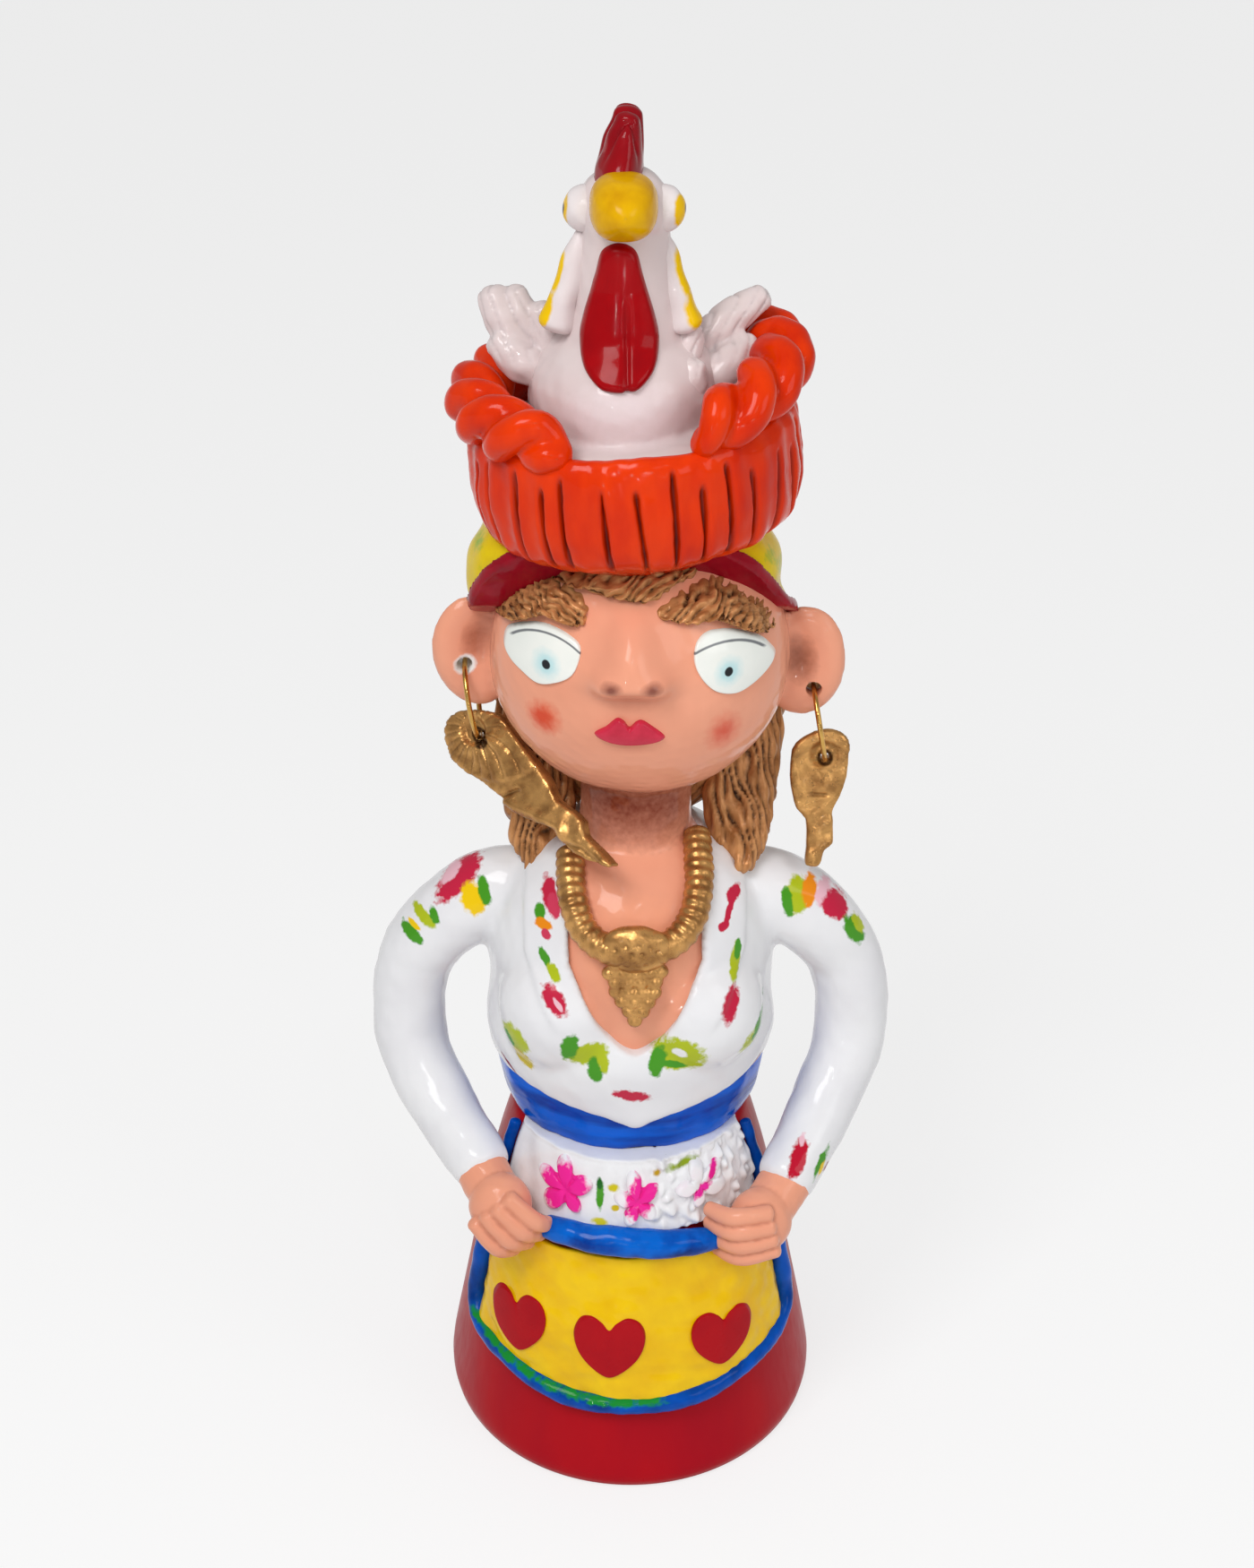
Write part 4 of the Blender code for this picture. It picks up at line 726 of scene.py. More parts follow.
@dataclass(frozen=True)
class Paint:
    """Brushed paint on clay under varnish."""

    name: str
    colour: Colour
    drift: Colour
    patch: float = 9.0
    amount: float = 0.7
    # dark colour painted into the hollows as shade
    recess: Optional[Colour] = None
    rough: float = 0.2
    coat: float = 0.1
    metal: float = 0.0
    relief: float = 0.12
    grain: float = 1.6
    stretch: Point = (1.0, 1.0, 1.0)
    turn: Point = (0.0, 0.0, 0.0)
    daubs: tuple[Daub, ...] = ()

    def material(self) -> bpy.types.Material:
        """Makes the material, or finds the one that was made."""
        made = bpy.data.materials.get(f"painted_{self.name}")
        if made is not None:
            return made
        board = Board(f"painted_{self.name}")
        cloud = board.noise(self.patch, 3.0, self.stretch, self.turn)
        fine = board.noise(self.grain, 4.0, self.stretch, self.turn)
        tint = board.mix(((cloud - 0.38) * 4.0 * self.amount).clamp(), self.colour, self.drift)
        # painted shade: the hollow shade colour is mixed in where the surface is hollow
        if self.recess:
            hollow = board.node("ShaderNodeAttribute", {"attribute_name": "hollow"}, {}, "Fac")
            tint = board.mix((hollow * (0.7 + fine * 0.6)).clamp(), tint, self.recess)
        if self.daubs:
            edge = board.noise(1.1, 3.0)
            for daub in self.daubs:
                tint = board.mix(daub.cover(board, edge), tint, daub.colour)
        board.feed("Base Color", tint)
        board.feed("Roughness", (fine - 0.5) * 0.25 + self.rough)
        board.feed("Metallic", self.metal)
        board.feed("Specular IOR Level", PAINT_SHINE)
        board.feed("Coat Weight", self.coat)
        board.feed("Coat Roughness", VARNISH_ROUGHNESS)
        sockets = {"Strength": self.relief, "Distance": BRUSH_DEPTH * MM, "Height": fine + cloud}
        board.feed("Normal", board.node("ShaderNodeBump", {}, sockets))
        return board.material

    def dress(
        self, obj: Piece, name: str, slot: str, nodes: Sequence[str], body: Body = Body.FIGURE
    ) -> None:
        """Paints a piece and ties it to the part.

        Args:
            obj: the piece.
            name: what it is called.
            slot: the record's material slot; not used.
            nodes: the solids that it stands for.
            body: what it rides on.
        """
        Clay.pick(obj)
        bpy.ops.object.shade_smooth()
        obj.name = name
        obj.data.name = name
        obj.data.materials.clear()
        obj.data.materials.append(self.material())
        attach(obj, body.value)
        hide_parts(*nodes)
        LOG.info("%s: %d faces on %s", name, len(obj.data.polygons), body.value)


RED = (196, 34, 66)
LEAF = (70, 150, 32)
LIME = (176, 190, 30)
YELLOW = (240, 200, 10)
ORANGE = (236, 140, 20)
PINK = (238, 40, 150)
WHITE = (236, 236, 238)
BLUSH = (206, 60, 90)
PALE = (234, 186, 198)
STRAW = (206, 184, 20)
DUSK = (140, 36, 60)
SKIN = (238, 164, 134)


@dataclass
class SkirtForm:
    """The bell of the skirt, which the apron and its ornaments lie on."""

    height: float = 62.0
    base_radius: float = 34.0
    top_radius: float = 20.5
    wall: float = 5.0
    crown: float = 6.0
    foot: float = 3.0
    depth: float = 1.12
    flare: float = 0.77

    def radius(self, height: Array | float) -> Array:
        """The half width at a height."""
        share = np.clip((self.height - np.asarray(height, float)) / (self.height - self.foot), 0.0, 1.0)
        return self.top_radius + (self.base_radius - self.top_radius) * share**self.flare

    def point(self, angle: Array, height: Array, lift: Amount) -> Array:
        """Points at an angle from the front, a height and a lift.

        Args:
            angle: from the front, in radians.
            height: above the floor.
            lift: away from the skirt.

        Returns:
            The points, a row each.
        """
        radius = self.radius(height)
        across = (radius + lift) * np.sin(angle)
        forward = (radius * self.depth + lift) * np.cos(angle)
        return np.stack([across, -forward, height + 0.0 * across], axis=1)

    def front(self, x: Array, z: Array, lift: Amount) -> Array:
        """How far forward the skirt's front is.

        Args:
            x: places across.
            z: heights.
            lift: away from the skirt.

        Returns:
            The y of each place.
        """
        radius = self.radius(z)
        share = np.clip(1.0 - (x / (radius + lift)) ** 2, 0.0, 1.0)
        return -(radius * self.depth + lift) * np.sqrt(share)


@dataclass
class Skirt:
    """The red skirt, hollow underneath."""

    form: SkirtForm

    def build(self) -> None:
        """Turns the bell and paints it."""
        form = self.form
        outer = [(float(form.radius(z)), z) for z in np.linspace(form.height - 0.8, form.foot, 40)]
        base = form.base_radius
        foot = [
            (base, 1.4), (base - 0.3, 0.5), (base - 1.0, 0.05), (base - 2.0, 0.0),
            (base - form.wall + 1.2, 0.0), (base - form.wall + 0.3, 0.5),
        ]
        top = form.height - form.crown
        inner = [(float(form.radius(z)) - form.wall, z) for z in np.linspace(1.6, top - 1.5, 24)]
        start = [(0.0, form.height), (form.top_radius - 0.9, form.height)]
        profile = [*start, *outer, *foot, *inner, (0.6 * form.top_radius, top), (0.0, top)]

        def place(u: Array, v: Array) -> Array:
            """The profile turned round an oval."""
            line = by_length(profile, v)
            angle = 2.0 * math.pi * u
            return np.stack(
                [line[:, 0] * np.sin(angle), -line[:, 0] * np.cos(angle) * form.depth, line[:, 1]], axis=1
            )

        obj = Clay.sheet(180, 130, place)

        def press(p: Array, n: Array) -> Array:
            """The marks of hands, on the upright side alone."""
            return 0.22 * uneven(p, 26.0, 3) * ramp(1.5, 6.0, p[:, 2]) * (1 - n[:, 2] ** 2)

        Clay.sculpt(obj, press)
        paint = Paint(
            "skirt_red", (178, 12, 26), (160, 8, 30), 14.0, 0.6,
            rough=0.34, coat=0.04, relief=0.1, stretch=(1, 1, 3),
        )
        paint.dress(obj, "skirt_bell", "skirt_red", ["skirt"])


@dataclass
class Apron:
    """The yellow apron with its border, hem, flowered waist panel and hearts."""

    form: SkirtForm
    thickness: float = 1.6
    bottom: float = 18.0
    corner_rise: float = 5.4
    half_angle: float = math.radians(66)
    top: float = 45.8
    border_radius: float = 1.75
    hem_radius: float = 2.65
    hem_height: float = 49.2
    hem_half_angle: float = math.radians(32)
    panel_half_angle: float = math.radians(64)
    panel_bottom: float = 50.2
    panel_height: float = 12.3
    panel_fold: float = 0.86
    cloth_wall: float = 1.5
    panel_wall: float = 1.4
    heart_width: float = 12.4
    hearts: tuple[tuple[str, float, float, float, float], ...] = (
        ("left_heart", -40.0, 29.7, 12.0, 0.89),
        ("middle_heart", -6.9, 30.0, 1.0, 0.94),
        ("right_heart", 31.4, 28.7, -8.0, 0.84),
    )
    flowers: tuple[tuple[str, float, float, float], ...] = (
        ("left_flower", -11.6, 56.8, 5.2),
        ("middle_flower", 1.2, 56.2, 4.7),
        ("right_flower", 12.6, 57.2, 4.6),
    )

    def low(self, angle: Array | float) -> Array:
        """Height of the lower edge at an angle from the front."""
        return self.bottom + self.corner_rise * (angle / self.half_angle) ** 2

    def build(self) -> None:
        """Builds the apron from the cloth outwards."""
        self._cloth()
        self._border()
        self._hem()
        self._panel()
        self._hearts()
        self._flowers()

    def _cloth(self) -> None:
        """The yellow sheet, which swells under the hearts."""
        form = self.form

        def place(u: Array, v: Array) -> Array:
            """The sheet laid on the skirt."""
            angle = (2 * u - 1) * (self.half_angle - 0.03)
            low = self.low(angle) + 0.6
            height = low + (self.top - low) * v
            flat = form.point(angle, height, 0.0)
            lift = 0.2 + self.thickness * ramp(0, 0.05, np.minimum(u, 1 - u)) ** 0.5
            lift += 0.25 * uneven(flat, 9.0, 5) + 0.1 * uneven(flat, 3.0, 6)
            for _, around, z, *_ in self.hearts:
                far = np.hypot((angle - math.radians(around)) * form.radius(z) * 1.05, flat[:, 2] - z)
                lift += 0.6 * np.exp(-((far / 7.4) ** 4))
            return form.point(angle, height, lift)

        obj = Clay.wall(Clay.sheet(170, 80, place), self.cloth_wall)
        paint = Paint(
            "apron_yellow", (244, 200, 3), (228, 172, 2), 7.0, 0.55, coat=0.34, relief=0.2, grain=2.2
        )
        paint.dress(obj, "apron_cloth", "apron_yellow", ["apron"])

    def _border(self) -> None:
        """The blue roll round the apron's sides and bottom, with green where it met the yellow."""
        corner = self.bottom + self.corner_rise
        waist = self.form.height - 1.2
        sides = [waist - (waist - corner) * share for share in (0, 0.2, 0.4, 0.6, 0.8, 0.93)]
        route = [(-self.half_angle, z) for z in sides]
        for share in (-0.92, -0.75, -0.5, -0.25, 0):
            angle = self.half_angle * share
            route.append((angle, float(self.low(angle))))
        route += [(-angle, z) for angle, z in reversed(route[:-1])]
        flat = np.asarray(route)
        points = self.form.point(flat[:, 0], flat[:, 1], self.border_radius - 0.45)
        thinner = 1.0 - 0.4 * ramp(44.0, 54.0, points[:, 2])
        swell = self.border_radius * (1.0 + 0.12 * uneven(points, 13.0, 8)) * thinner
        obj = Clay.coil(np.column_stack([points, swell]), 20, 420)
        Clay.dimple(obj, (0.14, 7.0, 9), (0.05, 2.6, 10))
        around = np.radians(np.linspace(-58, 6, 9))
        spots = self.form.point(around, self.low(around) + 1.3, 1.6)
        green = (24, 140, 52)
        daubs = [Daub(green, tuple(c), (3.4, 4.0, 0.9), 16 - 2 * i, 1.4, 0.5) for i, c in enumerate(spots)]
        daubs += [
            Daub((10, 110, 110), (-28.0, -6.5, 30.0), (2.2, 4.0, 8.0), 0, 1.0, 0.8, 0.7),
            Daub((12, 60, 90), (27.6, -10.0, 26.0), (1.6, 3.5, 6.0), 0, 1.0, 0.6, 0.7),
        ]
        paint = Paint(
            "trim_blue_border", (0, 84, 190), (0, 52, 128), 6.0, 0.8,
            rough=0.18, coat=0.14, relief=0.2, daubs=tuple(daubs),
        )
        paint.dress(obj, "apron_border_roll", "trim_blue", ["apron_border"])

    def _hem(self) -> None:
        """The blue roll that the hands hold."""
        shares = np.linspace(-1.0, 1.0, 13)
        height = self.hem_height - 1.1 * shares - 1.2 * shares**2
        points = self.form.point(shares * self.hem_half_angle, height, self.hem_radius - 0.2)
        swell = self.hem_radius * (1.0 - 0.22 * shares**2)
        obj = Clay.coil(np.column_stack([points, swell]), 28, 140)
        Clay.dimple(obj, (0.16, 7.0, 12), (0.05, 2.5, 13))
        daubs = (
            Daub((0, 40, 130), (-8.0, -32.0, 49.5), (4.0, 5.0, 2.0), 0, 1.2, 0.8, 0.8),
            Daub((0, 38, 110), (10.0, -31.0, 47.5), (4.5, 5.0, 1.6), 0, 1.2, 0.8, 0.8),
            Daub((20, 80, 90), (4.0, -32.0, 45.6), (8.0, 5.0, 0.9), 0, 1.0, 0.8, 0.6),
        )
        paint = Paint(
            "trim_blue_hem", (0, 100, 205), (0, 68, 165), 4.0, 0.8,
            rough=0.16, coat=0.17, relief=0.2, daubs=daubs,
        )
        paint.dress(obj, "apron_hem_roll", "trim_blue", ["apron_hem"])

    def _panel(self) -> None:
        """The white panel under the waistband, rough with pressed flowers on the right."""
        form = self.form

        def place(u: Array, v: Array) -> Array:
            """The panel laid on the skirt."""
            angle = (2 * u - 1) * self.panel_half_angle
            height = self.panel_bottom + self.panel_height * np.minimum(v / self.panel_fold, 1.0)
            flat = form.point(angle, height, 0.0)
            right = ramp(-6.0, 8.0, flat[:, 0])
            chips = np.abs(uneven(flat, 4.6, 15)) * np.abs(uneven(flat, 3.1, 16))
            lift = 1.7 + 0.2 * uneven(flat, 5.0, 14) + right * (1.5 * np.minimum(chips, 0.9) - 0.3)
            tucked = np.clip((v - self.panel_fold) / (1 - self.panel_fold), 0, 1)
            lift = lift * ramp(-0.02, 0.05, np.minimum(u, 1 - u)) - 4.4 * tucked
            return form.point(angle, height, lift)

        obj = Clay.wall(Clay.sheet(190, 60, place), self.panel_wall)
        Clay.mark(obj, gain=3.0)
        daubs = (
            Daub(LEAF, (-5.3, -26.6, 56.6), (0.8, 4.0, 3.2), 4, 0.9, 0.3),
            Daub((30, 100, 30), (-5.4, -26.6, 58.6), (0.7, 4.0, 1.2), 0, 0.9, 0.4),
            Daub((205, 190, 20), (-3.0, -26.4, 58.2), (1.2, 4.0, 0.8), 0, 1.0, 0.4),
            Daub((205, 180, 20), (-2.6, -27.6, 54.9), (0.9, 4.0, 0.7), 0, 1.0, 0.4),
            Daub((215, 205, 40), (-5.4, -28.2, 52.0), (1.6, 4.0, 0.8), 0, 1.0, 0.4),
            Daub((140, 160, 30), (8.6, -22.0, 60.9), (4.2, 4.0, 0.9), -9, 1.0, 0.5),
            Daub((190, 150, 30), (4.6, -24.5, 60.4), (0.9, 4.0, 0.8), 0, 1.0, 0.5),
        )
        # grey painted shade in the panel's chips and hollows
        paint = Paint(
            "panel_white", WHITE, (226, 224, 226), 5.0, 0.5, (150, 146, 150),
            rough=0.16, coat=0.4, relief=0.2, daubs=daubs,
        )
        paint.dress(obj, "waist_panel_cloth", "cloth_white", ["waist_panel"])

    def _hearts(self) -> None:
        """Three flat hearts."""
        paint = Paint("heart_red", (176, 18, 28), (160, 14, 28), 6.0, 0.6, rough=0.3, coat=0.06, relief=0.1)
        half = [
            (0.0, 0.27), (0.1, 0.38), (0.26, 0.45), (0.41, 0.38), (0.5, 0.2), (0.5, 0.0), (0.42, -0.2),
            (0.26, -0.38),
        ]
        shape = [*half, (0.07, -0.51), *[(-x, z) for x, z in reversed([*half[1:], (0.07, -0.51)])]]
        for name, around, z, lean, tall in self.hearts:
            turn = math.radians(lean)
            outline = []
            for across, up in np.asarray(shape) * self.heart_width * (1.0, tall):
                along = across * math.cos(turn) - up * math.sin(turn)
                rise = across * math.sin(turn) + up * math.cos(turn)
                angle = math.radians(around) + along / (1.06 * float(self.form.radius(z + rise)))
                outline.append((float(self.form.radius(z + rise) + 2.6) * math.sin(angle), z + rise))
            obj = Clay.pillow(outline, self.form.front, 0.42, base=2.35, sunk=1.2, dome=0.5, edge=0.05)
            paint.dress(obj, f"{name}_relief", "heart_red", [name])

    def _flowers(self) -> None:
        """Three pressed flowers, painted pink all over, in part, and in a few strokes."""
        painted = (
            (Daub(PINK, (-11.6, -25.0, 56.8), (5.2, 9.0, 5.4), 0, 0.7, 0.3),),
            (
                Daub(PINK, (2.0, -27.0, 57.4), (2.9, 9.0, 5.6), 24, 1.2, 0.35),
                Daub(PINK, (-1.4, -27.0, 54.6), (1.9, 9.0, 0.9), -35, 1.2, 0.35),
            ),
            (
                Daub((226, 30, 140), (14.4, -24.0, 58.9), (0.8, 9.0, 2.6), 16, 1.0, 0.4),
                Daub((226, 40, 150), (12.4, -25.0, 56.4), (2.2, 9.0, 1.0), -34, 1.2, 0.4),
                Daub((226, 40, 150), (9.9, -25.0, 54.6), (0.9, 9.0, 0.9), 0, 1.2, 0.4),
            ),
        )
        for number, (name, x, z, size) in enumerate(self.flowers):
            outline = []
            for t in np.linspace(0, 2 * math.pi, 48, endpoint=False):
                petal = 0.8 + 0.2 * math.cos(5 * t + number)
                reach = size * petal * (1 + 0.1 * math.sin(2 * t + 2 * number))
                outline.append((x + reach * math.sin(t), z + reach * math.cos(t)))
            obj = Clay.pillow(outline, self.form.front, 0.9, base=1.8, sunk=1.0, dome=0.3, edge=0.2)

            def petals(p: Array, n: Array, x: float = x, z: float = z, turn: int = number) -> Array:
                """Grooves between the petals and a dent in the middle."""
                angle = np.arctan2(p[:, 0] - x, p[:, 2] - z)
                far = np.hypot(p[:, 0] - x, p[:, 2] - z)
                groove = bell(np.abs(np.cos(2.5 * angle + turn / 2)) / 0.3)
                return -0.55 * groove * ramp(0.4, 1.6, far) - 0.5 * bell(far / 0.9)

            Clay.mark(Clay.sculpt(obj, petals), gain=4.0)
            # colour of the painted shade in the petals' grooves: dark pink on the pink flower, grey on the
            # others
            recess = (190, 60, 130) if number == 0 else (170, 160, 168)
            paint = Paint(
                f"petal_pink_{number}", WHITE, (240, 225, 234), 3.0, 0.5, recess,
                rough=0.18, coat=0.14, relief=0.2, daubs=painted[number],
            )
            paint.dress(obj, f"{name}_relief", "petal_pink", [name])


@dataclass
class TorsoForm:
    """The body above the waist, which the blouse and the necklace lie on."""

    base: float = 62.3
    height: float = 54.0
    depth: float = 0.95
    shares: tuple[float, ...] = (0.0, 0.18, 0.40, 0.62, 0.78, 0.88, 0.95, 1.0)
    radii: tuple[float, ...] = (20.2, 22.36, 24.7, 25.0, 23.18, 19.8, 15.9, 12.0)
    bust: Point = (12.5, 11.5, 12.0)
    bust_spread: float = 10.5
    bust_forward: float = 14.0
    bust_height: float = 88.3
    neck_centre: float = 0.8
    neck_width: float = 23.0
    neck_depth: float = 32.0

    @property
    def top(self) -> float:
        """Height of the shoulders' top."""
        return self.base + self.height

    def radius(self, height: Array) -> Array:
        """The half width at a height above the floor."""
        fine = np.linspace(0, 1, 200)
        rows = spline(np.column_stack([self.shares, self.radii]), fine, closed=False)
        return np.interp((height - self.base) / self.height, rows[:, 0], rows[:, 1])

    def front(self, x: Array, z: Array, lift: Amount) -> Array:
        """How far forward the chest is.

        Args:
            x: places across.
            z: heights.
            lift: away from the chest.

        Returns:
            The y of each place.
        """
        radius = self.radius(z) + lift
        trunk = -self.depth * radius * np.sqrt(np.clip(1 - (x / radius) ** 2, 0.0, 1.0))
        wide, deep, tall = (r + lift for r in self.bust)
        rest = 1 - ((np.abs(x) - self.bust_spread) / wide) ** 2 - ((z - self.bust_height) / tall) ** 2
        swell = np.where(rest > 0, -self.bust_forward - deep * np.sqrt(np.clip(rest, 0, 1)), 0.0)
        return np.minimum(trunk, swell)

    def trunk(self, grow: float, lip: float = 0.0) -> Piece:
        """The trunk as a closed lump.

        Args:
            grow: how much it is grown outwards.
            lip: how far the bodice hangs out over the waistband in front.

        Returns:
            The lump.
        """
        side = [(1.0, z) for z in np.linspace(self.base, self.top, 60)]
        profile = [(0.0, self.base), *side, (0.0, self.top)]

        def place(u: Array, v: Array) -> Array:
            """The side turned round an oval."""
            line = by_length([(r * 20, z) for r, z in profile], v)
            angle = 2 * math.pi * u
            radius = line[:, 0] / 20 * (self.radius(line[:, 1]) + grow)
            x, y = np.sin(angle), -np.cos(angle)
            edge = 66.9 + 3.0 * (1 - np.exp(-np.abs(radius * x - 0.6) / 3.4)) + 0.06 * np.abs(radius * x)
            edge = edge + 0.0062 * (radius * x) ** 2
            out = lip * ramp(edge - 0.6, edge + 0.5, line[:, 1]) * (1 - ramp(79, 90, line[:, 1]))
            radius = radius + out * ramp(-0.05, 0.35, -y) * (line[:, 0] > 1)
            return np.stack([radius * x, radius * y * self.depth, line[:, 1]], axis=1)

        return Clay.sheet(120, 120, place)

    def breasts(self, grow: float) -> list[Piece]:
        """The two rounds of the bust, grown outwards."""
        radii = [r + grow for r in self.bust]
        places = [(s.value * self.bust_spread, -self.bust_forward, self.bust_height) for s in Side]
        return [Clay.ball(place, radii) for place in places]

    def neckline(self, rise: Array) -> Array:
        """Half the neckline's width at a height above its point."""
        return self.neck_width / 2 * np.minimum(1.0, np.maximum(rise, 0.0) / (0.5 * self.neck_depth)) ** 0.6


# Colour, place, width, height and lean of each brush stroke on the blouse
BLOUSE_STROKES: tuple[tuple[Colour, Point, float, float, float], ...] = (
    (RED, (-29.8, -2.3, 106.7), 1.7, 5.4, 44),
    (PALE, (-31.0, -3.0, 107.2), 0.5, 2.6, 44),
    (YELLOW, (-27.0, -5.6, 104.5), 2.2, 2.7, -18),
    (LEAF, (-25.2, -5.2, 106.0), 1.0, 2.6, -14),
    (LIME, (-36.0, -4.0, 99.9), 2.6, 1.1, 30),
    (LEAF, (-34.1, -4.7, 100.6), 0.8, 1.5, -20),
    (LEAF, (-38.2, -3.9, 96.4), 2.3, 1.1, 28),
    (YELLOW, (-38.0, -3.9, 98.0), 1.2, 0.5, 20),
    (RED, (-13.7, -14.4, 110.3), 1.3, 2.7, -14),
    (BLUSH, (-12.9, -15.8, 108.9), 1.1, 1.6, -8),
    (LEAF, (-15.3, -15.4, 107.5), 0.9, 1.2, 20),
    (ORANGE, (-14.7, -16.8, 106.0), 1.4, 0.9, 0),
    (BLUSH, (-14.2, -18.2, 104.6), 0.8, 0.8, 0),
    (LEAF, (-14.6, -19.2, 101.0), 0.8, 1.5, -30),
    (LIME, (-12.9, -20.9, 98.9), 0.9, 1.6, -30),
    (RED, (-12.8, -24.1, 95.1), 1.5, 2.9, -40),
    (PALE, (-12.2, -24.4, 94.5), 0.4, 1.3, -40),
    (RED, (17.5, -11.6, 108.9), 1.2, 1.0, 0),
    (RED, (16.6, -14.0, 107.0), 0.6, 2.4, 22),
    (RED, (15.7, -16.0, 105.4), 0.9, 0.8, 0),
    (LIME, (17.7, -17.0, 99.0), 0.9, 3.0, 6),
    (LEAF, (18.2, -16.6, 100.6), 0.6, 1.8, 6),
    (RED, (16.9, -22.0, 93.2), 1.4, 3.0, 12),
    (LIME, (28.7, -5.2, 104.8), 2.2, 3.0, 0),
    (LEAF, (27.1, -6.0, 103.9), 0.9, 2.7, -8),
    (ORANGE, (31.0, -3.6, 104.9), 1.3, 2.3, 0),
    (PALE, (33.4, -2.2, 103.9), 1.5, 2.0, 40),
    (RED, (35.6, -2.8, 101.6), 2.6, 1.8, 38),
    (LEAF, (39.1, -3.3, 96.7), 1.2, 3.0, -32),
    (LIME, (39.9, -3.0, 97.3), 0.6, 1.9, -32),
    (LIME, (-19.7, -20.0, 85.4), 2.3, 3.2, -22),
    (STRAW, (-18.4, -18.0, 80.8), 1.4, 2.8, -28),
    (LEAF, (-20.8, -19.0, 84.6), 0.6, 1.8, -22),
    (LIME, (-7.5, -24.6, 84.9), 3.4, 2.3, -12),
    (LEAF, (-10.4, -25.6, 86.6), 1.5, 2.9, 10),
    (LEAF, (-6.0, -23.0, 81.6), 1.3, 2.6, -8),
    (LIME, (-4.7, -23.4, 83.4), 0.9, 2.2, -8),
    (LIME, (8.2, -24.6, 84.8), 4.4, 3.5, 18),
    (LEAF, (4.6, -23.0, 83.4), 1.4, 3.0, 14),
    (LEAF, (7.4, -24.0, 82.6), 2.2, 0.7, 14),
    (WHITE, (8.4, -24.6, 85.3), 1.4, 0.9, 26),
    ((50, 140, 60), (21.6, -14.0, 87.4), 2.6, 1.0, -40),
    (LIME, (20.2, -17.0, 84.4), 1.8, 3.0, 24),
    (LEAF, (21.6, -15.5, 86.0), 0.9, 2.5, 24),
    (RED, (0.2, -22.5, 76.2), 3.2, 1.3, 10),
    (DUSK, (-20.6, -11.0, 75.0), 0.35, 3.2, -40),
    (DUSK, (21.6, -11.0, 74.4), 0.35, 2.4, 40),
    ((190, 16, 46), (29.6, -20.0, 59.6), 1.3, 3.2, 30),
    (PALE, (30.4, -20.0, 61.8), 0.5, 0.9, 30),
    (LEAF, (33.2, -15.4, 57.0), 1.0, 3.2, 34),
    (YELLOW, (33.6, -15.0, 56.2), 0.6, 1.6, 34),
    (DUSK, (34.8, -13.0, 55.4), 0.8, 1.2, 20),
)


